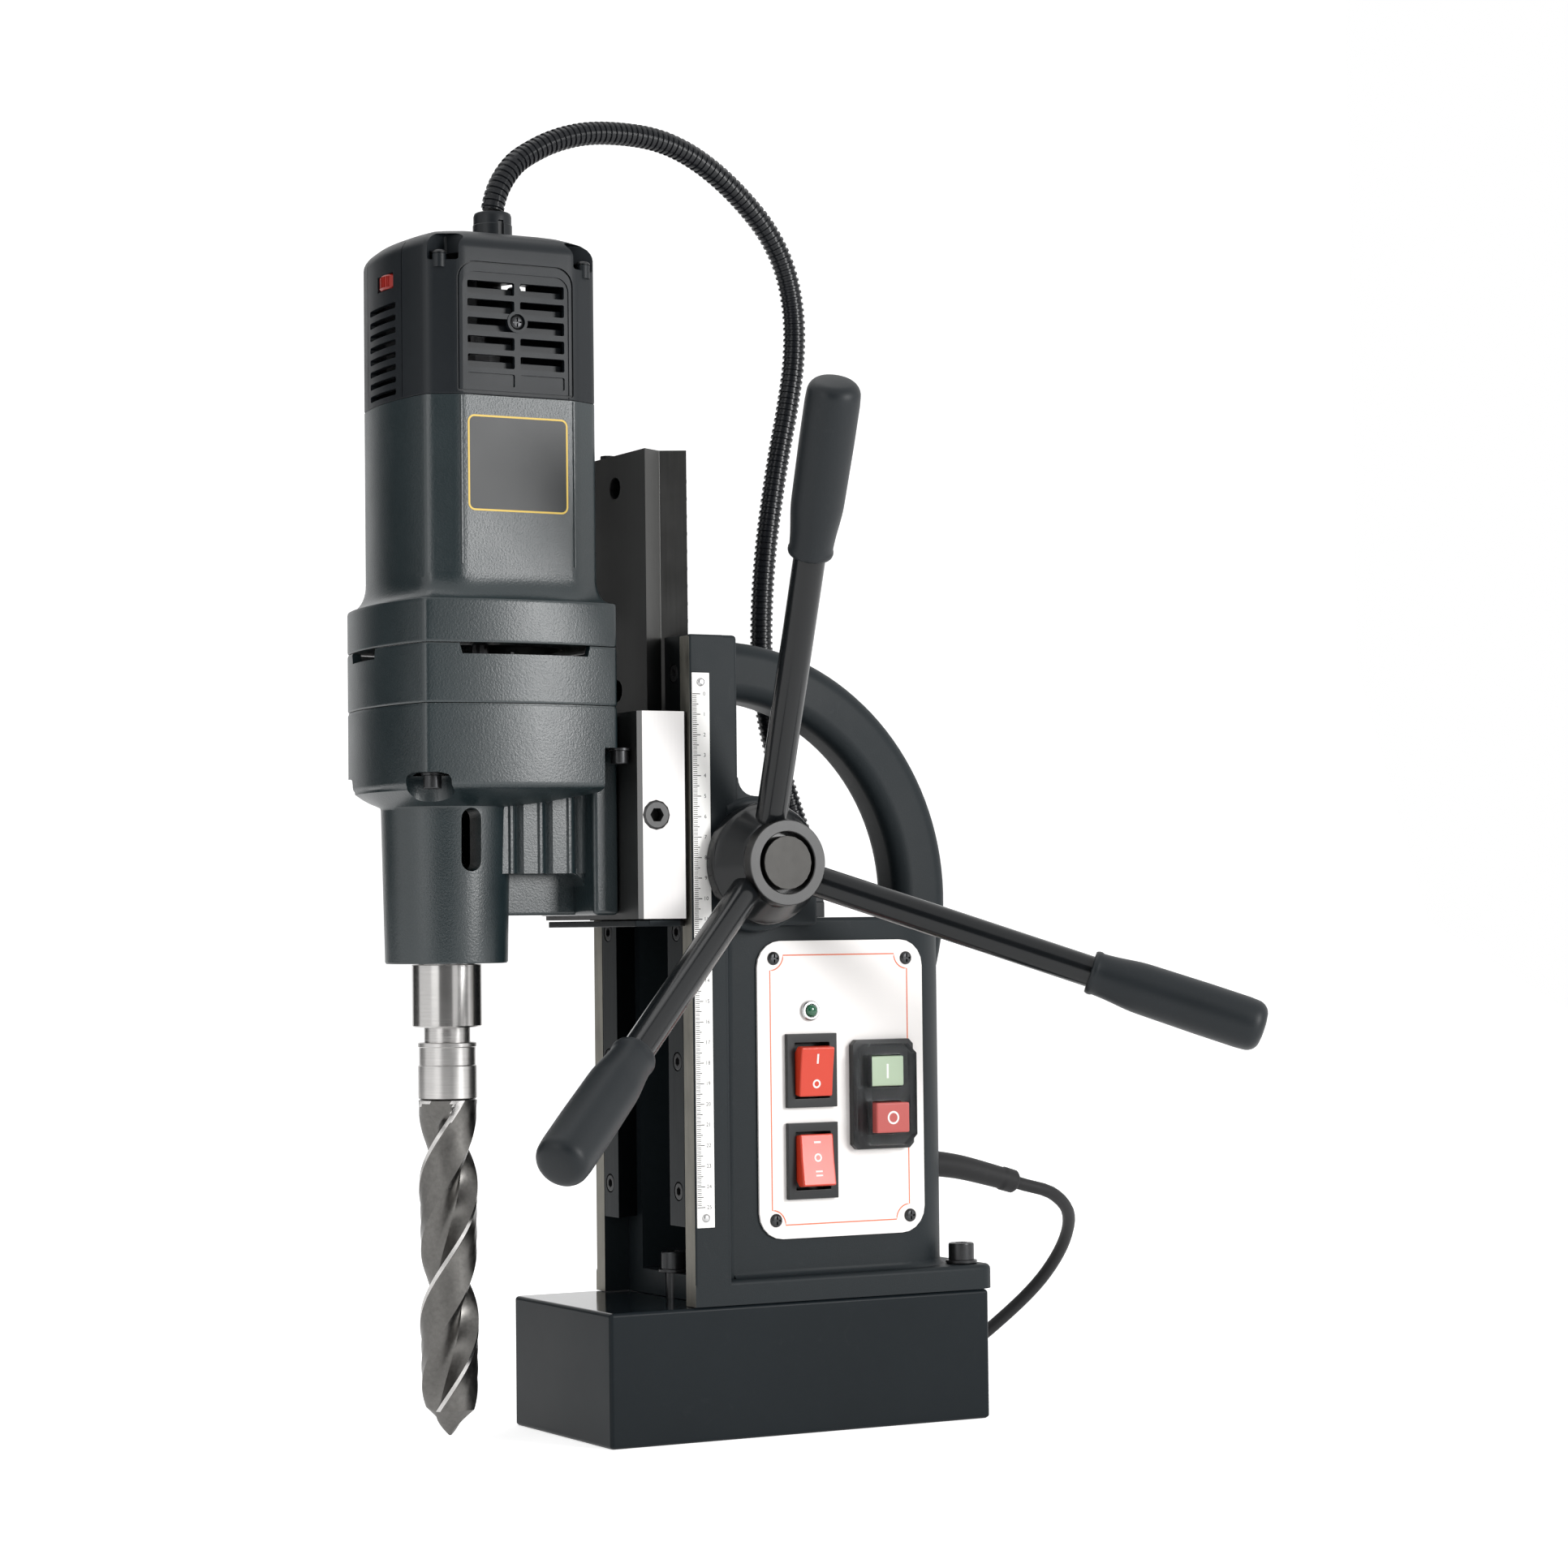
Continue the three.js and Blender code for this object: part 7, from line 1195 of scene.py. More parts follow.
class DRILL_OT_clamp_block(bpy.types.Operator):
    """Makes the ground clamp block, its sides near-white as a painted reflection and the rest darker as painted shade,
    and its locking screw with a hexagon socket whose inside is painted near-black as shade.
    """
    bl_idname = "drill.clamp_block"
    bl_label = "Clamp block"

    def execute(self, context):
        body = remade("clamp_block", "ground_block", edge=0.7, segments=3)
        complete(body, "block_front", "slide", "bright_steel", "clamp_block", smooth=30)
        # The sides along X get the near-white painted reflection; the other faces keep the darker painted shade.
        paint_faces(body, "ground_steel", lambda middle, normal: abs(normal.x) > 0.5 and abs(middle.x) > 54)
        y, z = -79, 304.4
        screw = turned("lock_ring", [(4.4, -70), (4.4, -9), (6.6, -9), (7, -8.6), (7, -0.9), (6.1, 0)],
            (55.3, y, z), "X", 48)
        cut(screw, rod("lock_room", "X", (50, y, z), 8, 3.7, 6))
        complete(screw, "hub_steel", "lock_screw_group", "bright_steel", "lock_screw")
        # The socket's inside faces are painted near-black as the shade in the hollow.
        paint_faces(screw, "socket_painted_shade", lambda middle, normal: (Vector((middle.y - y, middle.z - z)).length
            < 3.72 and 49 < middle.x < 54.6))
        return {"FINISHED"}


class DRILL_OT_capstan(bpy.types.Operator):
    """Makes the capstan: hub with its ring, pinion shaft, three spokes and three grips."""
    bl_idname = "drill.capstan"
    bl_label = "Capstan"

    def execute(self, context):
        sizes = context.scene.drill_capstan
        base, ring = sizes.hub_base / MM, sizes.hub_ring / MM
        centre = (0, SHAFT_Y, SHAFT_Z)
        hub = turned("capstan_boss", [(base - 1, 57.6), (base, 58.6), (base, 64.6), (base - 0.7, 66), (base - 2.6, 68),
            (ring + 1.2, 78.4), (ring + 0.3, 79.6), (ring, 80.2), (ring, 86.1), (ring - 0.4, 86.5), (15.5, 86.5),
            (15.1, 86.1), (15.1, 79)], centre, "X", 96)
        complete(hub, "rod_black", "capstan", "bright_steel", "capstan_hub", smooth=28)
        paint_faces(hub, "hub_steel", lambda middle, normal: middle.x > 80.1)
        disc = turned("shaft_end", [(11, 58), (11, 79.2), (12.9, 79.2), (12.9, 86.0), (12.4, 86.45)], centre, "X", 72)
        complete(disc, "disc_steel", "capstan", "bright_steel", smooth=28)
        repaint("disc_steel", "pinion_shaft")
        repaint("bronze", "inner_bush", "outer_bush")
        for i in range(3):
            about = math.radians(-7.85 + 120 * i)
            tilt = math.radians(30.3)
            along = Vector((math.sin(tilt), math.cos(tilt) * math.sin(about), math.cos(tilt) * math.cos(about)))
            turn = along.to_track_quat("Z", "Y").to_matrix().to_4x4()
            where = Matrix.Translation(Vector((62.5, SHAFT_Y, SHAFT_Z)) * MM) @ turn
            spoke = turned("spoke_rod_%d" % (i + 1), [(5, 17), (5, 24.5), (7.2, 24.5), (7.7, 25), (7.7, 239.5),
                (7.2, 240)], sides=48, frame_matrix=where)
            complete(spoke, "rod_black", "capstan", "black_rod", "spoke_%d" % (i + 1))
            grip = turned("handle_grip_%d" % (i + 1), self.grip_profile(sizes), sides=56, frame_matrix=where)
            complete(grip, "grip_rubber", "capstan", "grip_black", "grip_%d" % (i + 1), smooth=60)
        return {"FINISHED"}

    def grip_profile(self, sizes):
        root, tip = sizes.grip_root / MM, sizes.grip_tip / MM
        points = [(7.8, 167.6), (root - 0.4, 167.6), (root, 168.1), (root + 0.35, 169.2), (root + 0.35, 170.4),
            (root - 0.1, 171.6)]
        points += [(root + (tip * 0.97 - root) * smoothed(k / 8), 171.6 + 3 * k) for k in range(1, 9)]
        points += [(tip, 225), (tip, 245), *arc(tip - 6.25, 249, 6, 0, 1, 7, 6.6)]
        return points + [(5, 255.9), (0.4, 256)]


# Drill head

MOTOR_Y = -147.0
SPINDLE_Y = -166.4
GRILLE_Y, GRILLE_TOP, GRILLE_STEP = -146.7, 560.2, 8.85
DRILL_TOP, DRILL_SHOULDER, DRILL_POINT = 167.4, 18.6, 5.7


def softened(points, radius, steps=4):
    """The same closed outline with its sharp corners rounded inwards."""
    count = len(points)
    result = []
    for i, point in enumerate(points):
        here, before, after = Vector(point), Vector(points[i - 1]), Vector(points[(i + 1) % count])
        inward, onward = before - here, after - here
        if inward.angle(onward) > math.radians(168):
            result.append(point)
            continue
        start = here + inward.normalized() * min(radius, inward.length * 0.48)
        end = here + onward.normalized() * min(radius, onward.length * 0.48)
        for k in range(steps + 1):
            t = k / steps
            spot = start * (1 - t) ** 2 + here * (2 * t * (1 - t)) + end * t ** 2
            result.append((spot.x, spot.y))
    return result


def case_outline(inset=0.0, steps=20, corner=2.2):
    """The gear case seen from above: four bowed sides about the motor's axis."""
    corners = [(1, -1), (1, 1), (-1, 1), (-1, -1)]
    half_x, half_y = 48.5 - inset, 50.5 - inset
    points = []
    for k, (sx, sy) in enumerate(corners):
        nx, ny = corners[(k + 1) % 4]
        for i in range(steps):
            t = i / steps
            bow = 7 * 4 * t * (1 - t)
            points.append((half_x * (sx + (nx - sx) * t) + (sx + nx) / 2 * bow,
                MOTOR_Y + half_y * (sy + (ny - sy) * t) + (sy + ny) / 2 * bow))
    return softened(points, corner, 4) if corner else points


def barrel_outline(inset=0.0, corner=4.0):
    """The motor's barrel seen from above: flat sides, bevelled corners, bowed in front and behind."""
    x, y = 46 - inset, 44.7 - inset
    flat, shoulder = 44.7 - 14.06, 46 - 7.25
    bows = [k / 8 - 1 for k in range(17)]
    front = [(s * shoulder, -y - 5 * (1 - s * s)) for s in bows]
    rear = [(-s * shoulder, y + 5 * (1 - s * s)) for s in bows]
    points = [*front, (x, -flat), (x, flat), *rear, (-x, flat), (-x, -flat)]
    return softened([(u, v + MOTOR_Y) for u, v in points], corner, 5)


def barrel_reach(x, y):
    """The point of the barrel's outline in the direction of a point, seen from the motor's axis."""
    points = barrel_outline()
    away = Vector((x, y - MOTOR_Y)).normalized()
    for a, b in zip(points, points[1:] + points[:1]):
        start, side = Vector((a[0], a[1] - MOTOR_Y)), Vector((b[0] - a[0], b[1] - a[1]))
        turn = away.x * side.y - away.y * side.x
        if abs(turn) < 1e-9:
            continue
        reach = (start.x * side.y - start.y * side.x) / turn
        share = (start.x * away.y - start.y * away.x) / turn
        if reach > 0 and -1e-6 <= share <= 1 + 1e-6:
            return (away.x * reach, MOTOR_Y + away.y * reach)
    raise ValueError("no barrel wall in that direction")


def scaled(points, share):
    return [(x * share, MOTOR_Y + (y - MOTOR_Y) * share) for x, y in points]


def level(points, z):
    return [(x, y, z) for x, y in points]


def smoothed(t):
    return t * t * (3 - 2 * t)


class DRILL_OT_gear_housing(bpy.types.Operator):
    """Makes the gear housing with its neck, ribbed bracket, web and flange, and its case screws."""
    bl_idname = "drill.gear_housing"
    bl_label = "Gear housing"

    def execute(self, context):
        body = cut(self.make_shell(), block("rear_step", (-60, -104.6, 300), (60, -80, 337)))
        flange = soft_block("flange", (-33, -102.3, 256.1), (33, -88.7, 354.9), 2.4, 4)
        web = soft_block("web", (-10, SPINDLE_Y, 256.4), (10, -100, 319), 1.6)
        unite(body, flange, web, *self.make_brackets())
        self.cut_rooms(body)
        complete(body, "drill_green", "drill_head", "green_casting", "gear_housing", smooth=40)
        self.add_screws()
        return {"FINISHED"}

    def make_shell(self):
        outer = case_outline()
        rings = []
        for radius, z in ((29.2, 233.5), (29.8, 234.4), (30.6, 272), (31.3, 307.5), (31.6, 309)):
            ring = []
            for x, y in outer:
                angle = math.atan2(y - MOTOR_Y, x)
                ring.append((radius * math.cos(angle), SPINDLE_Y + radius * math.sin(angle), z))
            rings.append(ring)
        low, high = rings[-1], level(outer, 319)
        for share in (0.3, 0.62, 0.9):
            lift = 309 + 8.2 * share ** 1.15
            rings.append([(a[0] + (b[0] - a[0]) * share, a[1] + (b[1] - a[1]) * share, lift)
                for a, b in zip(low, high)])
        rings.append(level(scaled(outer, 0.985), 317.6))
        rings.append(level(scaled(outer, 0.996), 318.6))
        rings.append(level(outer, 320.2))
        rings += [level(outer, 338), level(outer, 355.6), level(scaled(outer, 0.994), 356.3),
            level(scaled(outer, 0.994), 357)]
        return loft("gear_case", rings)

    def make_brackets(self):
        made = []
        for side in (1, -1):
            points = [(-2, -166), (-2, -99), (24, -99), (24, -104)]
            for k in range(3):
                y = -104.5 - 15.6 * k
                points += [(23.9, y), (22.3, y - 1.2), (21.6, y - 2.4), (22.6, y - 3.6), (24.3, y - 4.6),
                    (25.0, y - 6.2), (24.9, y - 7.4), (23.8, y - 8.2), (23.9, y - 8.8)]
            points += [(23.9, -153), (23.6, -166)]
            made.append(prism("bracket", [(side * x, y) for x, y in points], 276.7, 321))
        fillet = [(-101, 277), (-101, 268.5), *arc(-110.6, 268.3, 8.6, 0, 1, 5), (-110.6, 279), (-101, 279)]
        made.append(prism("bracket_fillet", fillet, -22, 22, "X"))
        return made

    def cut_rooms(self, body):
        room = prism("case_room", case_outline(4, 12, 0), 323, 358)
        cut(room, block("kept", (-60, -106, 320), (60, -80, 341)))
        cut(body, room)
        cut(body, rod("spindle_room", "Z", (0, SPINDLE_Y, 232), 92, 18, 48))
        cut(body, rod("bearing_room", "Z", (0, SPINDLE_Y, 232), 16.1, 22.3, 48))
        slot = round_corners((SPINDLE_Y - 5.2, 277.7), (SPINDLE_Y + 5.2, 308.2), 5.19, 8)
        cut(body, prism("drift_slot", slot, 0, 36, "X"))
        for x in (42, -42):
            cut(body, turned("screw_scoop", [(12, 300), (12, 321), (11, 323.2), (8, 324.4)], (x, -193, 0), sides=40))

    def add_screws(self):
        model = socket_screw("case_screw", 4.4, 6.5, 2.2, 3, 0.8)
        collar = turned("case_collar", [(5.4, 0), (5.4, 1.1), (4.9, 1.3)], sides=32)
        heads = []
        for x, y, z in ((40, -190.5, 324.3), (-40, -190.5, 324.3), (43.5, -93.4, 337), (-43.5, -93.4, 337)):
            heads += [place_screw(collar, "collar", (x, y, z), flip=True), place_screw(model, "head", (x, y, z - 1.2),
                flip=True)]
        drop(model)
        drop(collar)
        complete(join("case_screws", heads), "bolt_black", "drill_head", "black_screw")


class DRILL_OT_cover(bpy.types.Operator):
    """Makes the gear case cover with its air slots, and finishes the fan and the parts inside the head."""
    bl_idname = "drill.cover"
    bl_label = "Gear case cover"

    def execute(self, context):
        outer = case_outline()
        rings = [level(scaled(outer, 0.994), 357.35), level(scaled(outer, 1.0), 357.9), level(outer, 358.6),
            level(outer, 384.4), level(scaled(outer, 0.997), 385.2), level(scaled(outer, 0.994), 385.6)]
        ring = loft("case_ring", rings)
        cut(ring, prism("fan_room", case_outline(4, 12, 0), 368, 387), prism("wheel_room", case_outline(4, 12, 0), 356,
            363))
        cut(ring, rod("shaft_room", "Z", (0, MOTOR_Y, 350), 40, 4.3, 24))
        low, high = MOTOR_Y - 33, MOTOR_Y + 33
        for start, end in ((43, 58), (-58, -43)):
            cut(ring, prism("side_slot", [(low, 380.5), (high, 380.5), (high + 1.4, 386), (low - 1.4, 386)], start, end,
                "X"))
        cut(ring, prism("front_slot", [(-31, 380.5), (3, 380.5), (4.4, 386), (-32.4, 386)], -206, -192, "Y"))
        complete(ring, "drill_green", "drill_head", "green_casting", "gear_case_cover", smooth=40)
        repaint("cap_plastic", "cooling_fan")
        repaint("bright_steel", "layshaft", "lower_bearing", "upper_bearing")
        repaint("lamination", "stator", "rotor")
        return {"FINISHED"}


class DRILL_OT_motor_housing(bpy.types.Operator):
    """Makes the motor housing: its foot ring, the hollow shoulder, the bevelled barrel and a bare framed label."""
    bl_idname = "drill.motor_housing"
    bl_label = "Motor housing"

    def execute(self, context):
        outer = case_outline()
        rings = [level(scaled(outer, 0.994), 386.05), level(scaled(outer, 0.998), 386.5), level(outer, 387.3),
            level(outer, 405.2), level(scaled(outer, 0.996), 406.5)]
        walls = [barrel_reach(x, y) for x, y in outer]
        for k in range(11):
            angle = k / 10 * math.pi / 2
            share = 0.06 + 0.93 * math.sin(angle)
            rings.append([(a[0] + (b[0] - a[0]) * share, a[1] + (b[1] - a[1]) * share,
                406.9 + 13 * (1 - math.cos(angle))) for a, b in zip(outer, walls)])
        body = loft("motor_foot", rings)
        barrel = prism("motor_barrel", barrel_outline(), 402, 505)
        unite(body, barrel)
        cut(body, rod("motor_room", "Z", (0, MOTOR_Y, 385), 112, 40, 64), rod("rim_room", "Z", (0, MOTOR_Y, 502), 4, 40,
            64), rod("shaft_room", "Z", (0, MOTOR_Y, 495), 12, 4.3, 24))
        for k in range(4):
            angle = (k + 0.5) * math.pi / 2
            cut(body, rod("spider_vent", "Z", (26 * math.cos(angle), MOTOR_Y + 26 * math.sin(angle), 495), 12, 6, 20))
        ridges = [self.make_ridge(side, y) for side in (1, -1) for y in (MOTOR_Y - 29.6, MOTOR_Y + 29.6)]
        complete(body, "drill_green", "drill_head", "green_casting", "motor_housing", smooth=34)
        complete(join("motor_ridges", ridges), "drill_green", "drill_head", "green_casting")
        self.make_label()
        return {"FINISHED"}

    def make_ridge(self, side, y):
        ridge = prism("ridge", [(y - 0.7, 424), (y + 0.7, 424), (y + 0.7, 504.4), (y - 0.7, 504.4)], side * 45.4,
            side * 46.4, "X")
        pick(ridge, lambda middle, normal: abs(middle.x) > 46.3)
        bpy.ops.transform.resize(value=(1, 0.4, 1))
        bpy.ops.object.mode_set(mode="OBJECT")
        return ridge

    def make_label(self):
        low, high = 45.9, 46.16
        corners = rectangle((-173.4, 449.6), (-120.8, 495.6), 3.5)
        sheet = prism("label_sheet", outline(corners, 6), low, high - 0.06, "X")
        complete(sheet, "label_black", "drill_head", "green_casting", weighted=False)
        line = flat_line("label_frame", corners, 0.9, low, high, 6)
        complete(line, "label_gold", "drill_head", "green_casting", weighted=False)


class DRILL_OT_motor_cap(bpy.types.Operator):
    """Makes the motor cap with its side grille, front slots, screw recesses and speed wheel."""
    bl_idname = "drill.motor_cap"
    bl_label = "Motor cap"

    def execute(self, context):
        cap = self.make_shell()
        self.cut_grille(cap)
        self.cut_front(cap)
        self.cut_corners(cap)
        complete(cap, "cap_plastic", "drill_head", "cap_black", "motor_cap", smooth=32)
        self.add_louvres()
        self.add_wheel()
        return {"FINISHED"}

    def make_shell(self):
        outer = barrel_outline()
        rings = [level(scaled(outer, 0.995), 505.35), level(outer, 506), level(outer, 575.6)]
        for share, z in ((0.995, 577.3), (0.982, 579), (0.955, 580.9), (0.90, 583), (0.80, 585), (0.66, 586.6),
                (0.5, 587.5), (0.36, 588)):
            rings.append(level(scaled(outer, share), z))
        shell = loft("cap_shell", rings)
        cut(shell, prism("cap_room", barrel_outline(3, 0.5), 504, 574))
        holder = block("wheel_holder", (-14.5, -192, 557.3), (16.5, -170, 575))
        inner_rib = block("inner_rib", (-1.2, MOTOR_Y - 36, 547), (1.2, MOTOR_Y - 1, 575))
        unite(shell, holder, inner_rib)
        cut(shell, rod("wheel_room", "Z", (1, -185.8, 560), 7.6, 12.8, 40))
        cut(shell, block("wheel_window", (-8.5, -200, 560), (10.5, -185.8, 567.6)))
        cut(shell, rod("gland_room", "Z", (0, -138.8, 570), 20, 6.3, 32))
        return shell

    def cut_grille(self, cap):
        corners = [(-178.2, 506.6, 1.2), (-117.2, 506.6, 1.2), (-117.2, 569.5, 9), (-178.2, 569.5, 9)]
        cut(cap, flat_line("grille_groove", corners, 0.9, 44.9, 47, 8))
        recess = [(-175.6, 505.8, 0.6), (-119.6, 505.8, 0.6), (-119.6, 564.5, 7), (-175.6, 564.5, 7)]
        cut(cap, prism("grille_recess", outline(recess, 8), 45.4, 47, "X"))
        for row in range(6):
            top = GRILLE_TOP - GRILLE_STEP * row
            for y0, y1 in ((-172.8, GRILLE_Y - 1.5), (GRILLE_Y + 1.5, -121.8)):
                slot = outline(rectangle((y0, top - 6.2), (y1, top), 0.8), 3)
                cut(cap, prism("grille_slot", slot, 40 if row < 5 else 44.6, 47, "X"))
        unite(cap, rod("screw_ring", "X", (43.2, GRILLE_Y, 541.5), 2.6, 5.3, 36))
        cut(cap, rod("ring_room", "X", (43.9, GRILLE_Y, 541.5), 3, 3.9, 32))

    def cut_front(self, cap):
        for row in range(8):
            z = 508 + 6 * row
            slot = outline(rectangle((-21.3, z), (12.7, z + 2.9), 1.1), 3)
            cut(cap, prism("front_slot", slot, -200, -186, "Y"))
        for x in (-26.5, 18.5):
            cut(cap, block("front_line", (x, -198, 506), (x + 0.6, -190.6, 581)))

    def cut_corners(self, cap):
        for x, y, turn in ((41.5, -185, 26), (41.5, -109, -26), (-41.5, -185, -26), (-41.5, -109, 26)):
            pocket = soft_block("corner_pocket", (x - 5, y - 9.5, 569.5), (x + 7, y + 9.5, 583), 1.2)
            cut(cap, twin(pocket, "corner_room", turn=turn, about=(x, y, 575)))
            drop(pocket)
            unite(cap, turned("corner_post", [(3.4, 566), (3.4, 572.4), (3.0, 572.9)],
                (x - math.copysign(1.5, x), y, 0), sides=28))

    def add_louvres(self):
        blades = []
        for row in range(5):
            top = GRILLE_TOP - GRILLE_STEP * row - 2.4
            for y0, y1 in ((-173.6, -147.6), (-145.8, -121)):
                blades.append(soft_block("louvre", (36.5, y0, top - 4.6), (40.4, y1, top), 0.3, 2))
        complete(join("grille_louvres", blades), "cap_plastic", "drill_head", "cap_black")
        model = cross_screw("cap_screw", 3.5, 1.6, 2.2, 0.8)
        heads = [place_screw(model, "head", (43.9, GRILLE_Y, 541.5), "X")]
        heads += [place_screw(model, "head", (x, y, 572.8)) for x in (40, -40) for y in (-185, -109)]
        drop(model)
        complete(join("cap_screws", heads), "bolt_black", "drill_head", "black_screw", smooth=50)

    def add_wheel(self):
        x, y = 1, -185.8
        wheel = turned("speed_wheel", [(11.6, 560.3), (12.5, 561.2), (12.5, 566.4), (11.6, 567.3)], (x, y, 0), sides=72)
        pick(wheel, lambda middle, normal: abs(normal.z) < 0.3
            and round(math.degrees(math.atan2(middle.y - y, middle.x - x)) / 5) % 2 == 0)
        bpy.ops.mesh.inset(thickness=0.08 * MM, depth=-0.35 * MM, use_individual=True)
        bpy.ops.object.mode_set(mode="OBJECT")
        complete(wheel, "dial_red", "speed_dial_group", "dial_red", "speed_dial")


class DRILL_OT_spindle(bpy.types.Operator):
    """Turns the polished spindle nose and winds the flutes of the twist drill."""
    bl_idname = "drill.spindle"
    bl_label = "Spindle and twist drill"

    def execute(self, context):
        nose = turned("spindle_nose", [(16.2, 202.7), (17, 203.4), (17, 232.7), (16.6, 233.1), (14, 233.1), (14, 341),
            (8, 341), (8, 362.6)], (0, SPINDLE_Y, 0), sides=96)
        cut(nose, rod("taper_room", "Z", (0, SPINDLE_Y, 200), 40, 11.4, 48))
        complete(nose, "spindle_steel", "spindle_group", "polished_steel", "spindle", smooth=30)
        self.make_drill(context.scene.drill_head)
        return {"FINISHED"}

    def make_drill(self, sizes):
        lead, radius = sizes.drill_lead / MM, sizes.drill_radius / MM
        shank = turned("drill_shank", [(13.4, 167.8), (14.2, 168.4), (14.2, 183.9), (13.9, 184.3), (13.7, 184.4),
            (13.7, 192.9), (13.9, 193), (14.2, 193.3), (14.2, 194.9), (13.8, 195.3), (11.2, 195.3), (11.2, 203),
            (9.2, 240)], (0, SPINDLE_Y, 0), sides=72)
        complete(shank, "collar_steel", "spindle_group", "drill_steel", "drill_bit", smooth=30)
        shares = [(0, 1), (0.05, 1), (0.07, 0.97), (0.2, 0.965), (0.35, 0.965), (0.49, 0.95), (0.55, 0.84),
            (0.61, 0.68), (0.68, 0.53), (0.76, 0.43), (0.84, 0.43), (0.91, 0.56), (0.955, 0.76), (0.985, 0.92)]
        rings = []
        for i in range(101):
            z = DRILL_TOP - (DRILL_TOP - DRILL_SHOULDER) * i / 100
            depth = smoothed(min(1, (DRILL_TOP - z) / 16))
            rings.append(self.section(shares, radius, depth, z, -360 * (DRILL_TOP - z) / lead))
        for k in range(1, 9):
            z = DRILL_SHOULDER - (DRILL_SHOULDER - DRILL_POINT) * k / 8
            shrink = 1 - 0.955 * k / 8
            rings.append(self.section(shares, radius * shrink, 1, z, -360 * (DRILL_TOP - z) / lead))
        body = loft("drill_flutes", rings)
        complete(body, "drill_steel", "spindle_group", "drill_steel", smooth=32)
        paint_faces(body, "land_steel", lambda middle, normal: (Vector((middle.x, middle.y - SPINDLE_Y)).length
            > radius * 0.988 and middle.z > 18))

    def section(self, shares, radius, depth, z, turn):
        ring = []
        for half in (0, 180):
            for share, out in shares:
                angle = math.radians(turn + half + share * 180)
                r = radius * (1 - depth * (1 - out))
                ring.append((r * math.cos(angle), SPINDLE_Y + r * math.sin(angle), z))
        return ring


class DRILL_OT_glands(bpy.types.Operator):
    """Makes the hose's two glands and the tapered, ringed strain relief of the mains cord."""
    bl_idname = "drill.glands"
    bl_label = "Glands and strain relief"

    def execute(self, context):
        head = turned("hose_gland_upper", [(6, 576.4), (6, 588.3), (9.7, 588.3), (9.7, 596.2), (9.4, 596.6),
            (9.4, 600.6), (8.9, 602.1), (8.1, 602.6)], (0, -138.8, 0), sides=48)
        cut(head, soft_block("gland_notch", (8.2, -140, 589.5), (12, -137, 598), 0.6))
        complete(head, "cap_plastic", "drill_head", "gland_black", "head_gland")
        low = turned("hose_gland_lower", [(6, 242.4), (6, 254.3), (10.4, 254.3), (10.4, 262), (10, 262.4), (9.4, 266.6),
            (8.6, 268), (7.8, 268.3)], (-28, 50, 0), sides=6)
        rounded(low, 0.7, 2, 20)
        complete(low, "cap_plastic", "stand", "gland_black", "stand_gland")
        self.make_relief()
        return {"FINISHED"}

    def make_relief(self):
        fine = smooth_route([(0, 99.3, 126), *RELIEF_PATH[1:]], 1.2)
        collar = turned("relief_collar", [(6, -9), (6, 0.1), (9, 0.1), (9, 2.4), (8.2, 3.1)], (0, 99.2, 126), "Y", 40)
        total = route_length(fine)
        right = Vector((1, 0, 0))
        rings = []
        for i, spot in enumerate(fine):
            gone = route_length(fine[:i + 1])
            up = right.cross((fine[min(i + 1, len(fine) - 1)] - fine[max(i - 1, 0)]).normalized())
            radius = 6.8 - 1.2 * gone / total + (0.5 if gone > total - 9 else 0) - (0.9 if spot == fine[-1] else 0)
            rings.append([tuple(spot + right * a + up * b) for a, b in arc(0, 0, radius, 0, 4, 32)[:-1]])
        unite(collar, loft("relief_tail", rings))
        complete(collar, "cord_rubber", "stand", "gland_black", "strain_relief", smooth=50)


# Conduit hose and mains cord

HOSE_ROUTE = [
    (0, -138.8, 603.95), (-0.07, -138.5, 605.5), (-0.45, -136.8, 611.5), (-1.1, -133.8, 618), (-1.95, -129.9, 623.8),
    (-2.95, -125.2, 629.1), (-3.9, -120.3, 633), (-5.7, -105.2, 641.7), (-7.6, -88.8, 647.7), (-9.5, -71.7, 650.7),
    (-12.4, -44.4, 650.9), (-14.6, -25.7, 646.8), (-17.1, -6.7, 638.1), (-19.9, 13.1, 624.3),
    (-22.5, 28.7, 609.2), (-25.1, 39.6, 591.5), (-27.2, 45.4, 569.4), (-28, 45.6, 545.1),
    (-28, 41.6, 520.1), (-28, 36.3, 495.6), (-28, 31.8, 471.2), (-28, 28.0, 446.4), (-28, 25.4, 418.8),
    (-28, 24.7, 394.3), (-28, 25.8, 372.4), (-28, 29.2, 351.4), (-28, 34.5, 332), (-28, 41, 312),
    (-28, 46.8, 296), (-28, 50, 280.6), (-28, 50, 268.6),
]
RELIEF_PATH = [(0, 99.3, 126), (0, 106.28, 125.76), (0, 122.58, 123.36), (0, 142.95, 118.2), (0, 157.5, 114)]
CORD_ROUTE = [
    (0, 180, 107.5), (-7, 195, 97), (-24, 204, 80), (-44, 202, 58), (-62, 188, 36), (-74, 166, 17),
    (-80, 136, 6.2), (-80, 106, 3.8), (-78.5, 78, 3.7),
]
COIL_CENTRE = (-130.5, 45)
COIL_LOOPS = 3
COIL_TAIL = 44


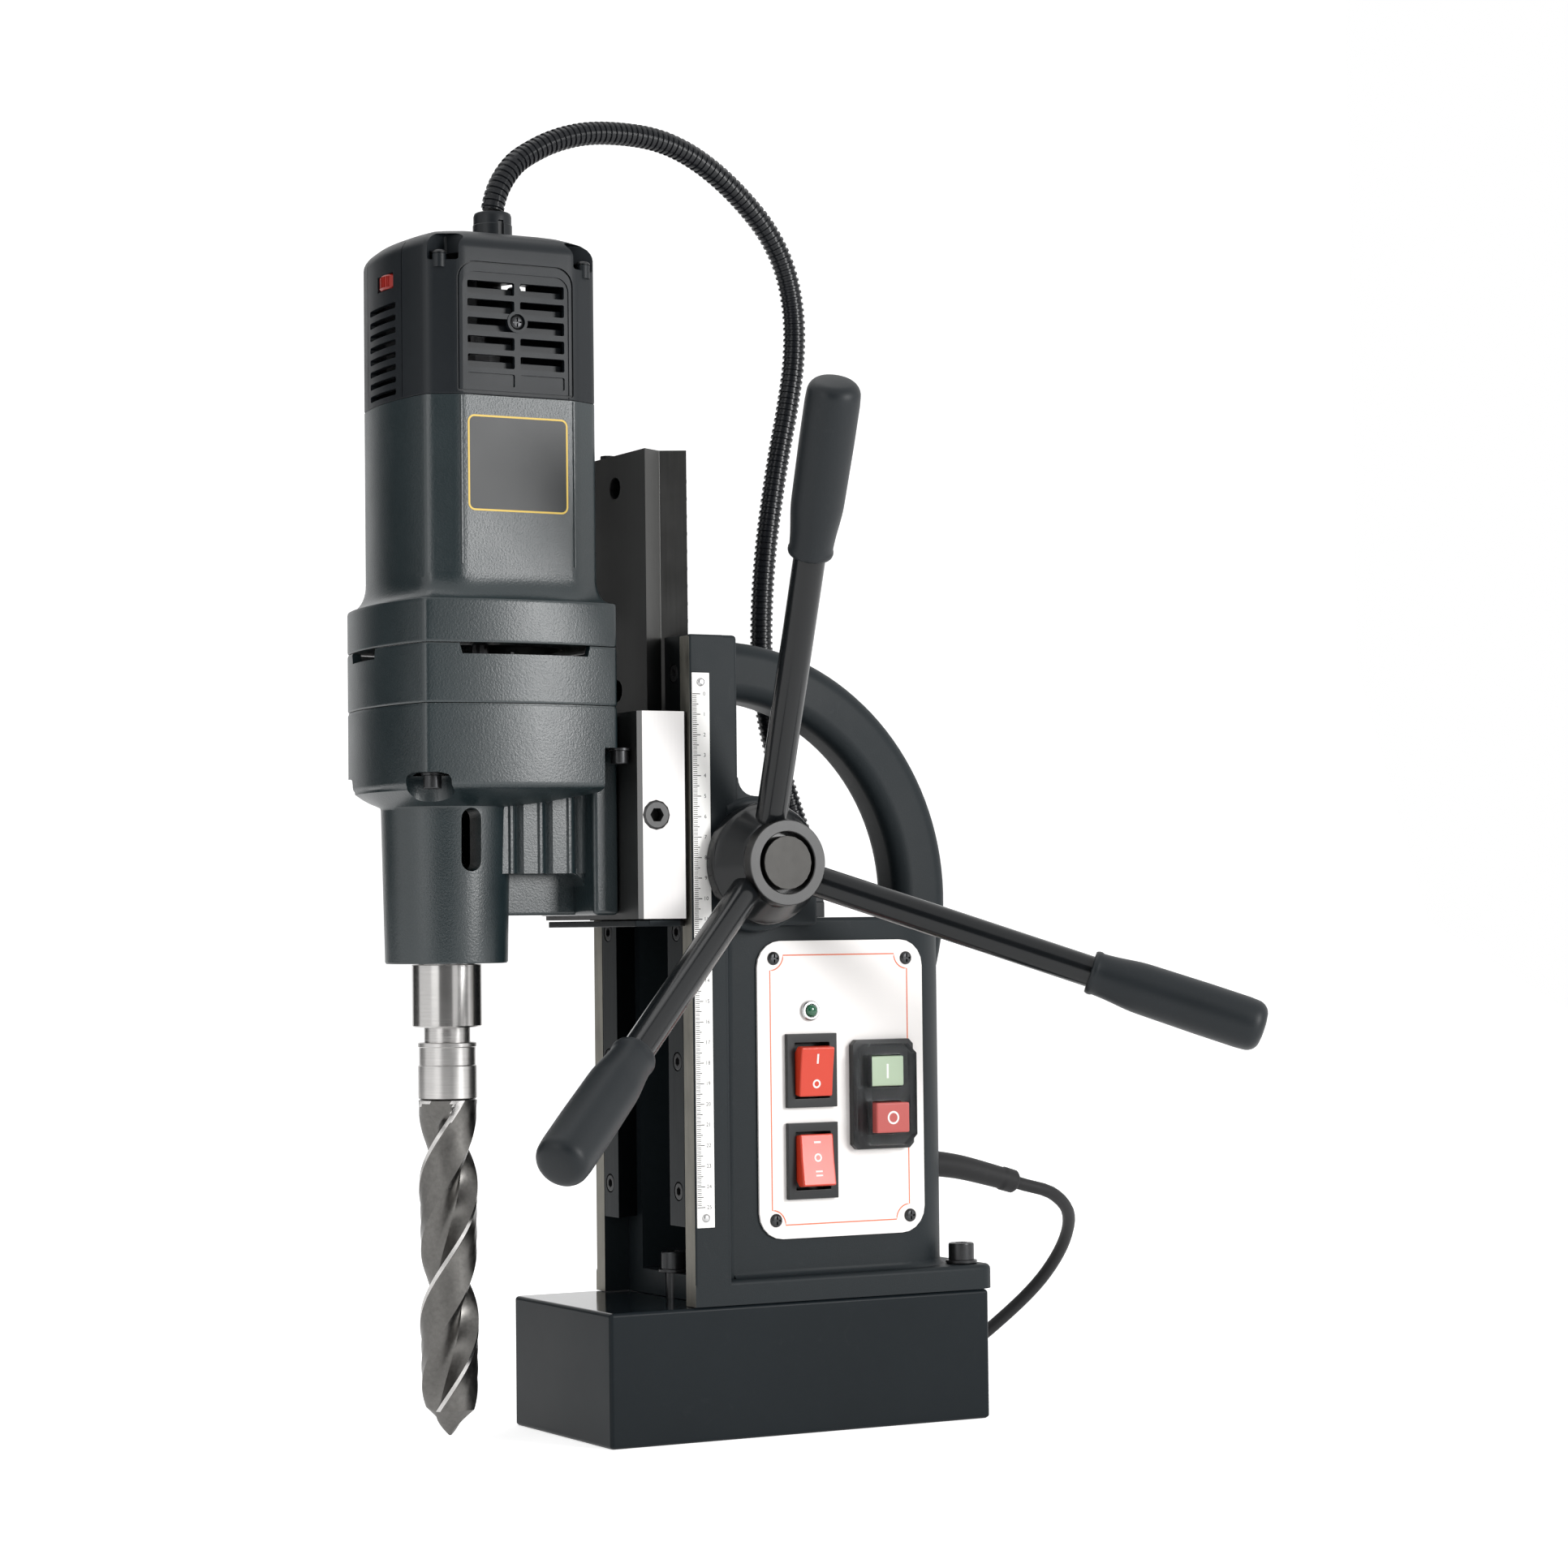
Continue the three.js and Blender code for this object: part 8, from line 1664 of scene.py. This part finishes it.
def ribbed_tube(name, points, radius, root, pitch, sides=16):
    """One rib is drawn out from a circle, repeated along a straight line and bent along the route."""
    length = route_length(points)
    count = round(length / pitch)
    rise = length / count
    line = route_curve(name + "_line", points)
    deselect_all()
    bpy.ops.mesh.primitive_circle_add(vertices=sides, radius=root * MM)
    tube = named(name)
    edit(tube, "EDGE")
    bpy.ops.mesh.select_all(action="SELECT")
    reach = root
    for share, out in ((0.24, root), (0.36, radius), (0.72, radius), (0.84, root), (1.0, root)):
        mesh = bmesh.from_edit_mesh(tube.data)
        height = max(vertex.co.z for vertex in mesh.verts)
        bpy.ops.mesh.extrude_region_move(TRANSFORM_OT_translate={"value": (0, 0, share * rise * MM - height)})
        bpy.ops.transform.resize(value=(out / reach, out / reach, 1), center_override=(0, 0, share * rise * MM))
        reach = out
    bpy.ops.object.mode_set(mode="OBJECT")
    apply_modifier(tube, "ARRAY", count=count, use_relative_offset=False, use_constant_offset=True,
        constant_offset_displace=(0, 0, rise * MM), use_merge_vertices=True, merge_threshold=0.01 * MM)
    pick(tube, lambda a, b: max(a.z, b.z) < 0.001 or min(a.z, b.z) > length - 0.01, "EDGE")
    bpy.ops.mesh.fill_holes(sides=sides)
    bpy.ops.object.mode_set(mode="OBJECT")
    apply_modifier(tube, "CURVE", object=line, deform_axis="POS_Z")
    drop(line)
    return tube, length


class DRILL_OT_hose(bpy.types.Operator):
    """Bends the ribbed conduit hose from the motor cap over to the stand, in two lengths that meet at its crown."""
    bl_idname = "drill.hose"
    bl_label = "Conduit hose"

    def execute(self, context):
        cords = context.scene.drill_cords
        radius, root, pitch = cords.hose_radius / MM, cords.hose_root / MM, cords.hose_pitch / MM
        fine = smooth_route(HOSE_ROUTE, 3)
        crown = max(range(len(fine)), key=lambda i: fine[i].z)
        halves = (("hose_upper", fine[:crown + 1]), ("hose_lower", fine[crown:]))
        made = []
        for name, points in halves:
            tube, length = ribbed_tube(name, points, radius, root, pitch)
            complete(tube, "hose_black", "slide", "hose_black", "conduit_hose", smooth=60, weighted=False)
            tube.parent = None
            made.append((tube, points, length))
        (upper, points, length), (lower, low_points, low_length) = made
        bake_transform(upper)
        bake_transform(lower)
        return {"FINISHED"}


def coil_points(cords, steps=40):
    """The coil's middle line: in along the floor, up a layer where it turns back, and out again."""
    radius, inner = cords.cord_radius / MM, cords.coil_radius / MM
    pitch = 2 * radius + cords.coil_gap / MM
    low, rise = radius + 0.2, 2 * radius + cords.coil_layer_gap / MM
    x, y = COIL_CENTRE
    points = []
    for i in range(2 * COIL_LOOPS * steps + 1):
        loops = i / steps
        out = inner + pitch * abs(loops - COIL_LOOPS)
        climb = min(1, max(0, 2 * (loops - COIL_LOOPS) + 0.5))
        angle = -2 * math.pi * loops
        points.append(Vector((x + out * math.cos(angle), y + out * math.sin(angle), low + rise * climb)))
    return points, inner + pitch * COIL_LOOPS, low, rise


class DRILL_OT_mains_cord(bpy.types.Operator):
    """Lays the mains cord from its relief to the floor, winds its coil behind the magnet and ties it, with its plug."""
    bl_idname = "drill.mains_cord"
    bl_label = "Mains cord, coil and plug"

    def execute(self, context):
        cords = context.scene.drill_cords
        radius = cords.cord_radius / MM
        turns, outer, low, rise = coil_points(cords)
        x, y = COIL_CENTRE
        tip, before = Vector(RELIEF_PATH[-1]), Vector(RELIEF_PATH[-2])
        along = (tip - before).normalized()
        lead = [tip + along * 0.3, tip + along * (0.3 + 2 * radius), *CORD_ROUTE, (x + outer, y + 2 * radius, low)]
        tail = [turns[-1] - Vector((0, 4 * k, 0)) for k in range(1, COIL_TAIL // 4 + 1)]
        route = smooth_route(lead, 5)[:-1] + [Vector((x + outer, y + 2 * radius, low))] + turns + tail
        cord = route_curve("mains_lead", route, radius)
        cord.data.materials.append(FINISHES["cord_rubber"])
        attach(cord, "stand")
        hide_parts("mains_cord", "cord_coil")
        tie = self.make_tie(x, y, radius, rise)
        plug = self.make_plug(x + outer, y - COIL_TAIL, low + rise)
        return {"FINISHED"}

    def make_tie(self, x, y, radius, rise):
        near, far = y + 26.6, y + 53.8
        top = 2 * radius + 0.2 + rise + 0.2
        outside = block("coil_tie", (x - 4, near - 1.1, 0.02), (x + 4, far + 1.1, top + 1.1))
        rounded(outside, 1.6, 3)
        cut(outside, block("tie_room", (x - 9, near, 0.15), (x + 9, far, top)))
        return complete(outside, "cord_rubber", "stand", "cord_black")

    def make_plug(self, x, y, z):
        body = block("plug_body", (x - 16.5, y - 43.3, z - 10.4), (x + 16.5, y - 0.3, z + 10.4))
        pick(body, lambda middle, normal: normal.y > 0.9)
        bpy.ops.transform.resize(value=(0.62, 1, 0.7))
        bpy.ops.mesh.inset(thickness=2.5 * MM, depth=0)
        bpy.ops.object.mode_set(mode="OBJECT")
        rounded(body, 3.2, 4, angle=15)
        pins = [soft_block("plug_pin", (x + s * 6.5 - w, y - 60.2, z - h), (x + s * 6.5 + w, y - 43, z + h), 0.35)
            for s, w, h in ((-1, 0.8, 3.2), (0, 3.2, 0.8), (1, 0.8, 3.2))]
        complete(body, "cord_rubber", "stand", "plug_black", "mains_plug", smooth=40)
        complete(join("plug_pins", pins), "bright_steel", "stand", "bright_steel")
        return body


# The panel in the sidebar, and making it all

OPERATORS = (
    DRILL_OT_stage, DRILL_OT_magnet, DRILL_OT_stand, DRILL_OT_guides, DRILL_OT_foot_bolts, DRILL_OT_panel,
    DRILL_OT_switches, DRILL_OT_slide, DRILL_OT_clamp_block, DRILL_OT_capstan, DRILL_OT_gear_housing, DRILL_OT_cover,
    DRILL_OT_motor_housing, DRILL_OT_motor_cap, DRILL_OT_spindle, DRILL_OT_glands, DRILL_OT_hose,
    DRILL_OT_mains_cord,
)
GROUPS = {
    "drill_colours": DRILL_PG_colours, "drill_stage": DRILL_PG_stage, "drill_stand": DRILL_PG_stand,
    "drill_capstan": DRILL_PG_capstan, "drill_head": DRILL_PG_head, "drill_cords": DRILL_PG_cords,
}


class DRILL_PT_panel(bpy.types.Panel):
    """Lists the drill's pieces and their sizes in the sidebar."""
    bl_idname = "DRILL_PT_panel"
    bl_label = "Magnetic drill"
    bl_space_type = "VIEW_3D"
    bl_region_type = "UI"
    bl_category = "Magnetic drill"

    def draw(self, context):
        for operator in OPERATORS:
            self.layout.operator(operator.bl_idname)
        for group_name, group in GROUPS.items():
            box = self.layout.box()
            for key in group.__annotations__:
                box.prop(getattr(context.scene, group_name), key)


def register():
    for group_name, group in GROUPS.items():
        bpy.utils.register_class(group)
        setattr(bpy.types.Scene, group_name, PointerProperty(type=group))
    for operator in OPERATORS:
        bpy.utils.register_class(operator)
    bpy.utils.register_class(DRILL_PT_panel)


def unregister():
    bpy.utils.unregister_class(DRILL_PT_panel)
    for operator in reversed(OPERATORS):
        bpy.utils.unregister_class(operator)
    for group_name, group in reversed(GROUPS.items()):
        delattr(bpy.types.Scene, group_name)
        bpy.utils.unregister_class(group)


def main():
    register()
    make_finishes(bpy.context.scene.drill_colours)
    for operator in OPERATORS:
        package, word = operator.bl_idname.split(".")
        getattr(getattr(bpy.ops, package), word)()


if __name__ == "__main__":
    main()
